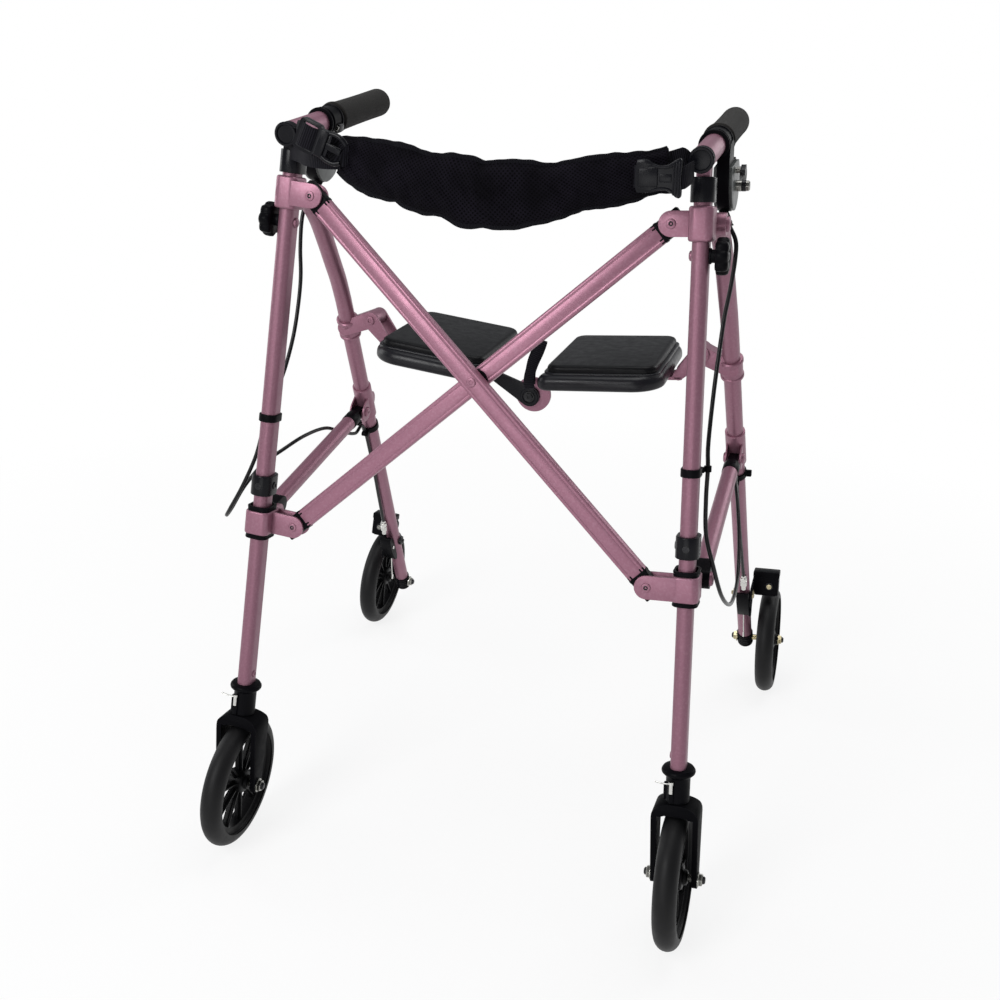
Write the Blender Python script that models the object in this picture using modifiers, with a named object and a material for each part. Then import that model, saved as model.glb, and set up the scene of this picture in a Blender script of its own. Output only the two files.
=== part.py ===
"""Folding four-wheel rollator.

Two front legs stand either side of a cross of two bars. Each front leg slides a collar that carries the
bar's lower end and a link to the rear leg, so that pulling the legs together folds the whole frame flat.
Metres, +Z up, the front of the frame faces -Y, and the user's left is +X.
"""
import math

import bmesh
import bpy
from mathutils import Matrix, Vector

# Clearances
WELD = 0.000005
TOUCH_GAP = 0.0003
CUT_REACH = 0.010
CUT_FAR = 0.100
PIN_SINK = 0.001
PIN_GAP = 0.0005
COLLAR_SIDE_GAP = 0.0024
COLLAR_DEPTH_GAP = 0.0008

# Cross of bars
BAR_TOP_ARM = 0.245
BAR_LOW_ARM = 0.266
BAR_ANGLE = math.radians(43.0)
BAR_WIDTH = 0.0207
BAR_THICK = 0.0125
BAR_CORNER = 0.0045
BAR_PLUG_REACH = 0.0125
BAR_PLUG_STEP = 0.002
BAR_PLUG_CORNER = 0.0012
BAR_PLUG_EASE = 0.0004
BAR_SPACER = 0.003
SPACER_RADIUS = 0.0125
BARS_MIDDLE_FORWARD = -0.0008
TOP_PIVOT_OFFSET = 0.0287
LOW_PIVOT_OFFSET = 0.0379
PIVOT_PIN_RADIUS = 0.0036
RIVET_HEAD_RADIUS = 0.0048
RIVET_HEAD_HEIGHT = 0.0012
RIVET_SINK = 0.0005

# Attitude of the side frames
LEG_LEAN = math.radians(8.0)
SIDE_YAW = math.radians(1.34)

# Front legs
LEG_WIDTH = 0.016
LEG_DEPTH = 0.024
LEG_CORNER = 0.005
LEG_WALL = 0.0013
LEG_GROOVE = 0.0006
LEG_TOP = 0.030
LEG_LENGTH_BELOW = 0.5415
LEG_BOTTOM = -LEG_LENGTH_BELOW

# Collars
COLLAR_WALL = 0.0032
COLLAR_HEIGHT = 0.032
SLIDE_COLLAR_HEIGHT = 0.026
BUSH_HEIGHT = 0.005
BUSH_STEP = 0.001
EAR_THICK = 0.003
EAR_ROOT = 0.003
EAR_SINK = 0.0008
EAR_RADIUS = 0.012
REAR_EAR_THICK = 0.004
REAR_EAR_RADIUS = 0.0115
REAR_EAR_ROOT = 0.010
HINGE_PIN_RADIUS = 0.004
HINGE_HEAD_RADIUS = 0.0075
HINGE_HEAD_HEIGHT = 0.003
HINGE_NUT_HEIGHT = 0.004
STOP_PLACE = -0.307
STOP_HEIGHT = 0.022
STOP_WALL = 0.0035
STOP_SCREW_RADIUS = 0.0045
STOP_SCREW_SINK = 0.002
STOP_SCREW_HEIGHT = 0.003
BUSHING_LOW = 0.019
BUSHING_HIGH = 0.0415
BUSHING_WALL = 0.003
KNOB_PLACE = -0.0290
KNOB_RADIUS = 0.0175
KNOB_LOBES = 8
KNOB_START = 0.0105
KNOB_THICK = 0.016
KNOB_WAIST = 0.86
KNOB_BACK = 0.004
KNOB_BOSS_RADIUS = 0.0062
KNOB_BOSS_SINK = 0.002

# Handles
HANDLE_TUBE_WIDTH = 0.0128
HANDLE_TUBE_DEPTH = 0.0208
HANDLE_TUBE_BOTTOM = -0.205
HANDLE_RISE = math.radians(12.5)
HANDLE_LEVEL = 0.0605
HANDLE_RADIUS = 0.0112
HANDLE_WALL = 0.0015
HANDLE_BORE_CORNER = 0.002
HANDLE_FRONT = -0.0142
GRIP_START = 0.088
GRIP_END = 0.2265
GRIP_RADIUS = 0.0152
GRIP_LIP = 0.0012
GRIP_LIP_PEAK = 0.005
GRIP_LIP_LENGTH = 0.008
GRIP_END_WALL = 0.008
GRIP_DOME = ((0.55, 0.0012), (0.88, 0.005), (1.0, 0.012))
CAP_SPIGOT_RADIUS = 0.0090
CAP_FLANGE_RADIUS = 0.0118
CAP_LENGTH = 0.0115
CAP_FLANGE_THICK = 0.003
CAP_PLUG_LENGTH = 0.012
CAP_CROWN = 0.001
CLAMP_START = 0.0625
CLAMP_END = 0.0850
CLAMP_RADIUS = 0.0150

# Hand brake
BRAKE_BODY_AXIAL = 0.078
BRAKE_BODY_FRONT = 0.0275
BRAKE_BODY_REAR = 0.034
BRAKE_BODY_DROP = 0.066
BRAKE_BODY_INNER = 0.0005
BRAKE_BODY_OUTER = 0.0185
BRAKE_GRIP_GAP = 0.0015
BRAKE_BOSS_RADIUS = 0.005
BRAKE_BOSS_HEIGHT = 0.004
BRAKE_BOSS_REAR = 0.002
LEVER_PIVOT_REAR = 0.014
LEVER_PIVOT_DROP = 0.033
LEVER_GAP = 0.0015
LEVER_SLOT_FRONT = 0.009
LEVER_SLOT_FOOT = 0.86
LEVER_ROD_RADIUS = 0.0045
LEVER_REACH = 0.118
LEVER_PIN_RADIUS = 0.0025
LEVER_PIN_SINK = 0.003
LEVER_BOSS_RADIUS = 0.0065
LEVER_BOSS_EXTRA = 0.0005
LEVER_LINE = ((0.0, 0.0), (0.020, 0.006), (0.045, 0.013), (0.075, 0.019))
LEVER_END_DROP = 0.020
LEVER_TIP_LENGTH = 0.022
LEVER_TIP_DROP = 0.0205
LEVER_TIP_RADIUS = 0.0078

# Rear legs and links
REAR_OUTSET = 0.0088
REAR_TUBE_RADIUS = 0.0098
REAR_HINGE_BACK = 0.033
REAR_BEND_POINTS = ((0.0620, -0.0085), (0.0920, -0.0260), (0.120, -0.050), (0.147, -0.0750), (0.170, -0.0965))
REAR_STRAIGHT_START = (0.192, -0.121)
REAR_AXLE_BACK = 0.5666
REAR_PLUG_RADIUS = 0.0114
REAR_PLUG_LENGTH = 0.026
REAR_BOSS_WALL = 0.001
LINK_RADIUS = 0.0092
LINK_COLLAR_BACK = 0.034
LINK_BRACKET_BACK = 0.290
LINK_BRACKET_UNDER = 0.0278
LINK_CAP_LENGTH = 0.030
LINK_CAP_RADIUS = 0.0105
LINK_TUBE_START = 0.006
LINK_TUBE_SINK = 0.010
LINK_NECK = 0.002
LINK_NECK_EASE = 0.0002
TONGUE_THICK = 0.0064
TONGUE_SIDE_GAP = 0.0023
TONGUE_RADIUS = 0.0034
BRACKET_PLATE = 0.0040
BRACKET_RADIUS = 0.0130
BRACKET_LENGTH = 0.054
BRACKET_WRAP = 0.0021
BRACKET_MIDDLE = 0.012
BRACKET_HEAD_RADIUS = 0.0065
BRACKET_HEAD_HEIGHT = 0.003

# Wheels
WHEEL_RADIUS = 0.0762
TYRE_SECTION = 0.0125
TYRE_DEPTH = 0.014
RIM_DEPTH = 0.0075
RIM_HALF_WIDTH = 0.0085
RIM_TAPER = 0.002
HUB_RADIUS = 0.0135
HUB_HALF_WIDTH = 0.0140
SPOKE_PAIRS = 5
SPOKE_WIDTH = 0.0065
SPOKE_THICK = 0.009
SPOKE_SINK = 0.002
AXLE_RADIUS = 0.004
NUT_RADIUS = 0.0068
NUT_HEIGHT = 0.006
AXLE_END = 0.002
WHEEL_OUTSET = 0.0335
CASTER_TRAIL = 0.003

# Casters
CASTER_FLANGE_RADIUS = 0.0175
CASTER_FLANGE_HEIGHT = 0.007
CASTER_SLEEVE_RADIUS = 0.0125
CASTER_SLEEVE_LENGTH = 0.037
CASTER_SLEEVE_BOTTOM = LEG_BOTTOM - CASTER_SLEEVE_LENGTH
CASTER_SPIGOT_HEIGHT = 0.026
CASTER_SPIGOT_SINK = 0.002
CASTER_EASE = 0.001
CASTER_NECK = 0.003
STEM_RADIUS = 0.0042
STEM_REACH = 0.015
STEM_END_GAP = 0.003
FORK_CROWN_THICK = 0.0115
FORK_HALF_GAP = 0.0188
FORK_ARM_THICK = 0.0056
FORK_TOP_DEPTH = 0.034
FORK_END_RADIUS = 0.0095
FORK_SHOULDER_RADIUS = 0.013
FORK_BOSS_HEIGHT = 0.004
FORK_EASE = 0.003
TYRE_ROOM = 0.0012
CROWN_TYRE_GAP = 0.0007
CASTER_DROP = TOUCH_GAP + FORK_CROWN_THICK + CROWN_TYRE_GAP + WHEEL_RADIUS - CASTER_SLEEVE_BOTTOM

# Rear brake
BRAKE_PIVOT_BACK = 0.497
SHOE_BACK = 0.5380
SHOE_HEIGHT = 0.034
SHOE_LENGTH = 0.030
SHOE_INNER = 0.026
SHOE_OUTER = 0.055
SHOE_TYRE_GAP = 0.0030
SHOE_SINK = 0.006
SHOE_BOLT_RADIUS = 0.005
SHOE_BOLT_HALF = 0.003
SHOE_BOLT_RISE = 0.4
BRAKE_ARM_THICK = 0.003
BRAKE_ARM_RADIUS = 0.009
BRAKE_ARM_END = 0.007
BRAKE_TAIL = (0.004, 0.026)
BRAKE_TAIL_RADIUS = 0.006
BRAKE_BOLT_INNER = 0.006
BRAKE_BOLT_OUTER = 0.0065
BRAKE_NUT_INNER = 0.005
BRAKE_NUT_SINK = 0.002

# Seat
SEAT_HINGE_HALF = 0.1975
SEAT_HINGE_DROP = 0.1690
SEAT_HINGE_BACK = 0.194
SEAT_DIP = math.radians(5.5)
SEAT_KNUCKLE_RADIUS = 0.0100
SEAT_KNUCKLE_LENGTH = 0.024
SEAT_PIN_RADIUS = 0.0027
SEAT_PIN_END = 0.002
SEAT_CLAMP_BACK = 0.004
SEAT_CLAMP_WALL = 0.0035
SEAT_CLAMP_HALF = 0.014
SEAT_BASE_OUTER = 0.031
SEAT_BASE_INNER = 0.1705
SEAT_BASE_DEPTH = 0.186
SEAT_BASE_TOP = -0.0075
SEAT_BASE_BOTTOM = -0.0240
SEAT_PAD_OUTER = 0.0455
SEAT_PAD_INNER = 0.1620
SEAT_PAD_DEPTH = 0.158
SEAT_PAD_TOP = 0.0015
SEAT_PAD_CORNER = 0.014
SEAT_PAD_EASE = 0.003
SEAT_BASE_EASE = 0.006
SEAT_ARM_THICK = 0.005
SEAT_ARM_START = 0.020
SEAT_ARM_SHORT = 0.030
SEAT_ARM_EASE = 0.0015
SEAT_EAR_REACH = 0.024
SEAT_EAR_END = 0.006
SEAT_EAR_THICK = 0.0035
SEAT_DISC_RADIUS = 0.0200
SEAT_DISC_DROP = 0.056
SEAT_DISC_LEFT = 0.0185
SEAT_DISC_THICK = 0.004
SEAT_DISC_BACK = 0.006
SEAT_DISC_LAP = 0.001
SEAT_DISC_STEP = 0.002
SEAT_DISC_SHIFT = 0.004
SEAT_LINK_PIVOT_IN = 0.1640
SEAT_LINK_PIVOT_RISE = 0.006
SEAT_LINK_PIN_RADIUS = 0.0025
SEAT_LINK_END_RADIUS = 0.006
SEAT_LINK_RADIUS = 0.0125
SEAT_LINK_SHIFT = (0.0035, 0.0015)
SEAT_LINK_BACK = 0.002
SEAT_LINK_FRONT = 0.003
SEAT_BOLT_RADIUS = 0.005
SEAT_BOLT_FRONT = 0.006
SEAT_NOTCH_DEPTH = 0.018
SEAT_NOTCH_WIDTH = 0.034
SEAT_NOTCH_BACK = -0.056
SEAT_CHANNEL_LENGTH = 0.090
SEAT_CHANNEL_EASE = 0.001
SEAT_WEB = 0.003

# Backrest
BACKREST_RIGHT_END = -0.138
BACKREST_LEFT_END = 0.168
BACKREST_RIGHT_RISE = 0.0435
BACKREST_LEFT_RISE = 0.0485
BACKREST_SAG = 0.0265
BACKREST_SAG_POWER = 1.35
BACKREST_BOW = 0.0220
BACKREST_HEIGHT_MIDDLE = 0.062
BACKREST_HEIGHT_ENDS = 0.038
BACKREST_THICK = 0.020
BACKREST_FORWARD = 0.0317
BACKREST_END_SHARE = 0.72
BACKREST_SWELL_POWER = 1.1
BACKREST_ROUNDNESS = 0.75
STRAP_WIDTH = 0.0079
STRAP_THICK = 0.0020
STRAP_BAND = 0.019
BUCKLE_LENGTHS = {1: 0.010, -1: 0.036}
BUCKLE_WIDTH = 0.030
BUCKLE_THICK = 0.011
BUCKLE_EASE = 0.0025
BAND_SINK = 0.001
BAND_BACK = 0.002

# Brake cables
CABLE_RADIUS = 0.0025
CABLE_BOOT_RADIUS = 0.0042
CABLE_BOOT_LENGTH = 0.018
CABLE_LEG_GAP = 0.0008
CABLE_RUN_START = 0.338
CABLE_RUN_END = 0.462
CABLE_RUN_STEPS = 3
CABLE_RUN_OUTSET = 0.004
CABLE_ADJUSTER_LENGTH = 0.016
CABLE_ADJUSTER_RADIUS = 0.0040
CLIP_PLACE = -0.233
CLIP_HEIGHT = 0.011
CLIP_WALL = 0.0016

# Each cable's free route in its side frame, as outward, rearward and up the leg
CABLE_TOP = [(0.0150, 0.0850, -0.0020), (0.0215, 0.0850, -0.0160), (0.0222, 0.0820, -0.0330),
             (0.0195, 0.0790, -0.0600), (0.0150, 0.0770, -0.0900), (0.0125, 0.0720, -0.1200),
             (0.0105, 0.0620, -0.1550), (0.0100, 0.0460, -0.1900), (0.0110, 0.0290, -0.2150),
             (0.0130, 0.0195, -0.2330)]
CABLE_BOW = {1: [(0.0125, 0.0200, -0.2640), (0.0140, 0.0215, -0.3000), (0.0225, 0.0230, -0.3330),
                 (0.0290, 0.0450, -0.3680), (0.0325, 0.0900, -0.3920), (0.0325, 0.1400, -0.3980),
                 (0.0310, 0.1850, -0.3880), (0.0265, 0.2250, -0.3560), (0.0190, 0.2600, -0.3220),
                 (0.0120, 0.2920, -0.3020), (0.0100, 0.3130, -0.2985)],
             -1: [(0.0175, 0.0210, -0.2560), (0.0260, 0.0270, -0.2880), (0.0400, 0.0300, -0.3250),
                  (0.0560, 0.0370, -0.3560), (0.0660, 0.0500, -0.3690), (0.0680, 0.0660, -0.3640),
                  (0.0620, 0.0820, -0.3400), (0.0500, 0.1000, -0.3150), (0.0380, 0.1250, -0.3000),
                  (0.0290, 0.1650, -0.2880), (0.0235, 0.2150, -0.2860), (0.0190, 0.2600, -0.2980),
                  (0.0130, 0.2920, -0.3040), (0.0100, 0.3130, -0.2985)]}

# The frame is centred front to back on its box
DEPTH_CENTRE = 0.1943

LEFT = 1
RIGHT = -1
SIDE_NAMES = {LEFT: "left", RIGHT: "right"}
ROUND = 12
LEG_STEPS = 2
PIN_FACETS = 8
WHEEL_FACETS = 20
DISC_FACETS = 16

# Geometry of the cross and the splay that follows from it
TOP_PIVOT_HALF = BAR_TOP_ARM * math.cos(BAR_ANGLE)
LOW_PIVOT_HALF = BAR_LOW_ARM * math.cos(BAR_ANGLE)
PIVOT_DROP = (BAR_TOP_ARM + BAR_LOW_ARM) * math.sin(BAR_ANGLE)
PIVOT_SPAN = math.hypot(LOW_PIVOT_HALF - TOP_PIVOT_HALF, PIVOT_DROP)
LEG_SPLAY = (math.atan((LOW_PIVOT_HALF - TOP_PIVOT_HALF) / PIVOT_DROP)
             + math.asin((LOW_PIVOT_OFFSET - TOP_PIVOT_OFFSET) / PIVOT_SPAN))
COLLAR_DROP = math.sqrt(PIVOT_SPAN ** 2 - (LOW_PIVOT_OFFSET - TOP_PIVOT_OFFSET) ** 2)
TOP_HALF = TOP_PIVOT_HALF + TOP_PIVOT_OFFSET * math.cos(LEG_SPLAY)
TOP_PIVOT_DROP = TOP_PIVOT_OFFSET * math.sin(LEG_SPLAY)

# Directions of the left side frame
FRONT_NORMAL = Vector((0.0, -math.cos(LEG_LEAN), math.sin(LEG_LEAN)))
FRONT_UP = Vector((0.0, math.sin(LEG_LEAN), math.cos(LEG_LEAN)))
EAST = Vector((1.0, 0.0, 0.0))
LEG_OUT = EAST * math.cos(LEG_SPLAY) + FRONT_UP * math.sin(LEG_SPLAY)
LEG_UP = FRONT_UP * math.cos(LEG_SPLAY) - EAST * math.sin(LEG_SPLAY)
SIDE_BACK = LEG_OUT * math.sin(SIDE_YAW) - FRONT_NORMAL * math.cos(SIDE_YAW)
SIDE_OUT = LEG_OUT * math.cos(SIDE_YAW) + FRONT_NORMAL * math.sin(SIDE_YAW)

# Heights that put all four tyres on the floor
TYRE_REACH = ((WHEEL_RADIUS - TYRE_SECTION) * math.sqrt(1.0 - SIDE_OUT.z ** 2) + TYRE_SECTION)
TOP_HEIGHT = CASTER_DROP * LEG_UP.z - CASTER_TRAIL * SIDE_BACK.z + TYRE_REACH
REAR_WHEEL_OUTSET = REAR_OUTSET + WHEEL_OUTSET
REAR_AXLE_LEVEL = (TYRE_REACH - TOP_HEIGHT - REAR_AXLE_BACK * SIDE_BACK.z
                   - REAR_WHEEL_OUTSET * SIDE_OUT.z) / LEG_UP.z
WHEEL_DOWN_TURN = math.atan2(-SIDE_BACK.z, LEG_UP.z)

BAR_FORWARD = {RIGHT: BARS_MIDDLE_FORWARD + (BAR_THICK + BAR_SPACER) / 2,
               LEFT: BARS_MIDDLE_FORWARD - (BAR_THICK + BAR_SPACER) / 2}


def clear_scene():
    for obj in list(bpy.data.objects):
        bpy.data.objects.remove(obj, do_unlink=True)


def make_collection(name):
    collection = bpy.data.collections.new(name)
    bpy.context.scene.collection.children.link(collection)
    return collection


def make_material(name, colour, roughness, metallic=0.0):
    material = bpy.data.materials.new(name)
    material.use_nodes = True
    shader = material.node_tree.nodes["Principled BSDF"]
    shader.inputs["Base Color"].default_value = (*colour, 1.0)
    shader.inputs["Roughness"].default_value = roughness
    shader.inputs["Metallic"].default_value = metallic
    return material


clear_scene()
PARTS = make_collection("rollator")
GUIDES = make_collection("rollator_guides")
PINK = make_material("pink_anodised", (0.42, 0.21, 0.28), 0.35, 0.7)
BLACK = make_material("black_plastic", (0.02, 0.02, 0.025), 0.45)
RUBBER = make_material("black_rubber", (0.025, 0.025, 0.025), 0.75)
FOAM = make_material("foam_grip", (0.035, 0.035, 0.035), 0.9)
STEEL = make_material("zinc_steel", (0.62, 0.62, 0.60), 0.3, 1.0)
GREY = make_material("grey_plastic", (0.22, 0.23, 0.23), 0.5)
CLOTH = make_material("black_mesh_cloth", (0.012, 0.012, 0.014), 0.95)


def side_frame(side):
    """Local X outward on the left and inward on the right, Y rearward, Z up the leg."""
    out = Vector((SIDE_OUT.x, side * SIDE_OUT.y, side * SIDE_OUT.z))
    back = Vector((side * SIDE_BACK.x, SIDE_BACK.y, SIDE_BACK.z))
    up = Vector((side * LEG_UP.x, LEG_UP.y, LEG_UP.z))
    origin = Vector((side * TOP_HALF, -DEPTH_CENTRE, TOP_HEIGHT))
    matrix = Matrix((out, back, up)).transposed().to_4x4()
    return Matrix.Translation(origin) @ matrix


def clevis_frame(side):
    """As the side frame, but without its yaw, square to the plane of the cross."""
    out = Vector((LEG_OUT.x, side * LEG_OUT.y, side * LEG_OUT.z))
    back = -FRONT_NORMAL
    up = Vector((side * LEG_UP.x, LEG_UP.y, LEG_UP.z))
    origin = Vector((side * TOP_HALF, -DEPTH_CENTRE, TOP_HEIGHT))
    matrix = Matrix((out, back, up)).transposed().to_4x4()
    return Matrix.Translation(origin) @ matrix


def front_frame():
    """The plane of the cross: X to the left side, Y rearward, Z up the plane."""
    matrix = Matrix((EAST, -FRONT_NORMAL, FRONT_UP)).transposed().to_4x4()
    return Matrix.Translation(Vector((0.0, -DEPTH_CENTRE, TOP_HEIGHT))) @ matrix


def weld(mesh):
    """Join points that coincide, drop slivers and face outward."""
    work = bmesh.new()
    work.from_mesh(mesh)
    bmesh.ops.remove_doubles(work, verts=work.verts, dist=WELD)
    bmesh.ops.dissolve_degenerate(work, edges=work.edges, dist=WELD)
    stray = [edge for edge in work.edges if not edge.link_faces]
    bmesh.ops.delete(work, geom=stray, context="EDGES")
    bmesh.ops.recalc_face_normals(work, faces=work.faces)
    work.to_mesh(mesh)
    work.free()
    return mesh


def finish_mesh(mesh, matrix):
    """Place a mesh and weld it."""
    mesh.transform(matrix)
    return weld(mesh)


def solid_object(mesh):
    obj = bpy.data.objects.new("solid", mesh)
    GUIDES.objects.link(obj)
    return obj


def evaluated_mesh(obj):
    graph = bpy.context.evaluated_depsgraph_get()
    graph.update()
    return bpy.data.meshes.new_from_object(obj.evaluated_get(graph), depsgraph=graph)


def take_mesh(obj, matrix):
    """Turn an object with modifiers, or a curve, into a plain solid."""
    mesh = evaluated_mesh(obj)
    bpy.data.objects.remove(obj, do_unlink=True)
    return solid_object(finish_mesh(mesh, matrix))


def circle(radius, x=0.0, y=0.0, count=ROUND, turn=0.5):
    steps = [2 * math.pi * (index + turn) / count for index in range(count)]
    return [(x + radius * math.cos(step), y + radius * math.sin(step)) for step in steps]


def rounded(width, depth, corner, x=0.0, y=0.0, steps=2):
    """Outline of a rounded rectangle."""
    points = []
    for quarter in range(4):
        sign_x = (1, -1, -1, 1)[quarter]
        sign_y = (1, 1, -1, -1)[quarter]
        centre = (x + sign_x * (width / 2 - corner), y + sign_y * (depth / 2 - corner))
        for index in range(steps + 1):
            angle = math.pi / 2 * (quarter + index / steps)
            points.append((centre[0] + corner * math.cos(angle), centre[1] + corner * math.sin(angle)))
    return points


def slot_outline(first, second, radius, steps=5):
    """Outline of a plate with two round ends."""
    start, stop = Vector(first), Vector(second)
    heading = math.atan2(stop.y - start.y, stop.x - start.x)
    points = []
    for centre, base in ((stop, heading - math.pi / 2), (start, heading + math.pi / 2)):
        for index in range(steps + 1):
            angle = base + math.pi * index / steps
            points.append((centre.x + radius * math.cos(angle), centre.y + radius * math.sin(angle)))
    return points


def taper_outline(first, first_radius, second, second_radius, steps=5):
    """Outline of a plate that tapers between two round ends."""
    start, stop = Vector(first), Vector(second)
    heading = math.atan2(stop.y - start.y, stop.x - start.x)
    span = (stop - start).length
    lean = math.asin((first_radius - second_radius) / span)
    points = []
    for centre, radius, low, high in (
            (stop, second_radius, -math.pi / 2 + lean, math.pi / 2 - lean),
            (start, first_radius, math.pi / 2 - lean, 3 * math.pi / 2 + lean)):
        for index in range(steps + 1):
            angle = heading + low + (high - low) * index / steps
            points.append((centre.x + radius * math.cos(angle), centre.y + radius * math.sin(angle)))
    return points


def plate(loops, low, high, matrix=Matrix.Identity(4)):
    """Flat outline, with holes, filled and extruded from low to high along Z."""
    curve = bpy.data.curves.new("outline", "CURVE")
    curve.dimensions = "2D"
    curve.fill_mode = "BOTH"
    curve.extrude = (high - low) / 2
    for loop in loops:
        spline = curve.splines.new("POLY")
        spline.points.add(len(loop) - 1)
        for point, place in zip(spline.points, loop):
            point.co = (place[0], place[1], 0.0, 1.0)
        spline.use_cyclic_u = True
    obj = bpy.data.objects.new("outline", curve)
    GUIDES.objects.link(obj)
    lift = Matrix.Translation((0.0, 0.0, (low + high) / 2))
    return take_mesh(obj, matrix @ lift)


def block(low, high, matrix=Matrix.Identity(4), bevel=0.0, segments=1):
    """Box between two corners, with its edges eased."""
    bpy.ops.mesh.primitive_cube_add(size=1.0)
    obj = bpy.context.object
    size = Vector(high) - Vector(low)
    centre = (Vector(high) + Vector(low)) / 2
    obj.data.transform(Matrix.Translation(centre) @ Matrix.Diagonal((*size, 1.0)))
    if bevel:
        modifier = obj.modifiers.new("edges", "BEVEL")
        modifier.width = bevel
        modifier.segments = segments
        modifier.limit_method = "NONE"
    return take_mesh(obj, matrix)


def turned(profile, matrix=Matrix.Identity(4), segments=ROUND):
    """Profile of (radius, height) points, top to bottom on its outer side, turned about Z."""
    work = bmesh.new()
    points = [work.verts.new((radius, 0.0, height)) for radius, height in profile]
    for first, second in zip(points, points[1:]):
        work.edges.new((first, second))
    mesh = bpy.data.meshes.new("profile")
    work.to_mesh(mesh)
    work.free()
    obj = solid_object(mesh)
    modifier = obj.modifiers.new("turn", "SCREW")
    modifier.steps = segments
    modifier.render_steps = segments
    modifier.use_merge_vertices = True
    modifier.merge_threshold = 0.00001
    return take_mesh(obj, matrix)


def rod(radius, low, high, matrix=Matrix.Identity(4), segments=ROUND):
    profile = [(0.0, high), (radius, high), (radius, low), (0.0, low)]
    return turned(profile, matrix, segments)


def tube_along(points, radius, matrix=Matrix.Identity(4), resolution=2):
    """Round bar or cord along points."""
    curve = bpy.data.curves.new("run", "CURVE")
    curve.dimensions = "3D"
    curve.bevel_depth = radius
    curve.bevel_resolution = resolution
    curve.use_fill_caps = True
    spline = curve.splines.new("POLY")
    spline.points.add(len(points) - 1)
    for point, place in zip(spline.points, points):
        point.co = (*place, 1.0)
    obj = bpy.data.objects.new("run", curve)
    GUIDES.objects.link(obj)
    return take_mesh(obj, matrix)


def combine(base, others, operation="UNION"):
    """Boolean of a solid with others, one by one, which it uses up."""
    for other in others:
        modifier = base.modifiers.new("join", "BOOLEAN")
        modifier.operation = operation
        modifier.object = other
        modifier.solver = "EXACT"
        mesh = evaluated_mesh(base)
        bpy.data.objects.remove(other, do_unlink=True)
        base.modifiers.clear()
        base.data = weld(mesh)
    return base


def cut(base, cutters):
    return combine(base, cutters, "DIFFERENCE")


def smooth_path(points, per_span):
    """Catmull-Rom curve through points."""
    places = [Vector(point) for point in points]
    places = [2 * places[0] - places[1]] + places + [2 * places[-1] - places[-2]]
    path = []
    for index in range(1, len(places) - 2):
        before, start, stop, after = places[index - 1:index + 3]
        for step in range(per_span):
            t = step / per_span
            path.append(0.5 * (2 * start + (stop - before) * t
                               + (2 * before - 5 * start + 4 * stop - after) * t ** 2
                               + (3 * start - before - 3 * stop + after) * t ** 3))
    path.append(places[-2])
    return path


def across(matrix, back, level):
    """Frame at a point of the side plane, whose Z runs outward along local X."""
    turn = Matrix(((0, 0, 1), (1, 0, 0), (0, 1, 0))).to_4x4()
    return matrix @ Matrix.Translation((0.0, back, level)) @ turn


def side_plate(side, matrix, loops, inner, outer, back=0.0, level=0.0):
    """Plate in the side plane, between two outward places."""
    low, high = sorted((side * inner, side * outer))
    return plate(loops, low, high, across(matrix, back, level))


def side_rod(side, matrix, radius, inner, outer, back, level, segments=ROUND):
    low, high = sorted((side * inner, side * outer))
    return rod(radius, low, high, across(matrix, back, level), segments)


def pivot_empty(name, matrix):
    empty = bpy.data.objects.new(name, None)
    empty.empty_display_size = 0.02
    empty.matrix_world = matrix
    empty.hide_render = True
    GUIDES.objects.link(empty)
    return empty


def name_part(obj, name, material, pivot):
    """Name a finished solid and move its origin to the pivot that carries it."""
    obj.name = name
    obj.data.name = name
    obj.data.transform(pivot.matrix_world.inverted() @ obj.matrix_world)
    obj.data.materials.clear()
    obj.data.materials.append(material)
    obj.data.shade_smooth()
    obj.data.set_sharp_from_angle(angle=math.radians(35.0))
    obj.parent = pivot
    obj.matrix_parent_inverse = Matrix.Identity(4)
    obj.matrix_basis = Matrix.Identity(4)
    GUIDES.objects.unlink(obj)
    PARTS.objects.link(obj)
    return obj


def turn_about_x(angle):
    return Matrix.Rotation(angle, 4, "X")


def handle_frame(matrix):
    """Frame of the horizontal handle tube: Z runs rearward along it, Y points down."""
    rise = Matrix.Translation((0.0, 0.0, HANDLE_LEVEL)) @ turn_about_x(HANDLE_RISE)
    return matrix @ rise @ turn_about_x(-math.pi / 2)


def leg_outline(width, depth, corner, groove):
    """Oval tube section, with a shallow groove each side of its flat front and back faces."""
    points = rounded(width, depth, corner, steps=LEG_STEPS)
    half = width / 2 - corner
    grooved = []
    for quarter in range(4):
        corner_points = points[quarter * (LEG_STEPS + 1):(quarter + 1) * (LEG_STEPS + 1)]
        sign_x = (1, -1, -1, 1)[quarter]
        sign_y = (1, 1, -1, -1)[quarter]
        dip = [(sign_x * (half - groove), sign_y * (depth / 2 - groove)),
               (sign_x * (half - 2 * groove), sign_y * depth / 2)]
        if quarter % 2 == 0:
            grooved += corner_points + dip
        else:
            grooved += dip[::-1] + corner_points
    return grooved


def make_front_leg(side, frame):
    outer = leg_outline(LEG_WIDTH, LEG_DEPTH, LEG_CORNER, LEG_GROOVE)
    inner = rounded(LEG_WIDTH - 2 * LEG_WALL, LEG_DEPTH - 2 * LEG_WALL, LEG_CORNER - LEG_WALL)
    return plate([outer, inner], LEG_BOTTOM, LEG_TOP, frame)


def leg_bore(side_gap, depth_gap, low, high, frame):
    outline = rounded(LEG_WIDTH + 2 * side_gap, LEG_DEPTH + 2 * depth_gap,
                      LEG_CORNER + min(side_gap, depth_gap), steps=LEG_STEPS)
    return plate([outline], low, high, frame)


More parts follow.
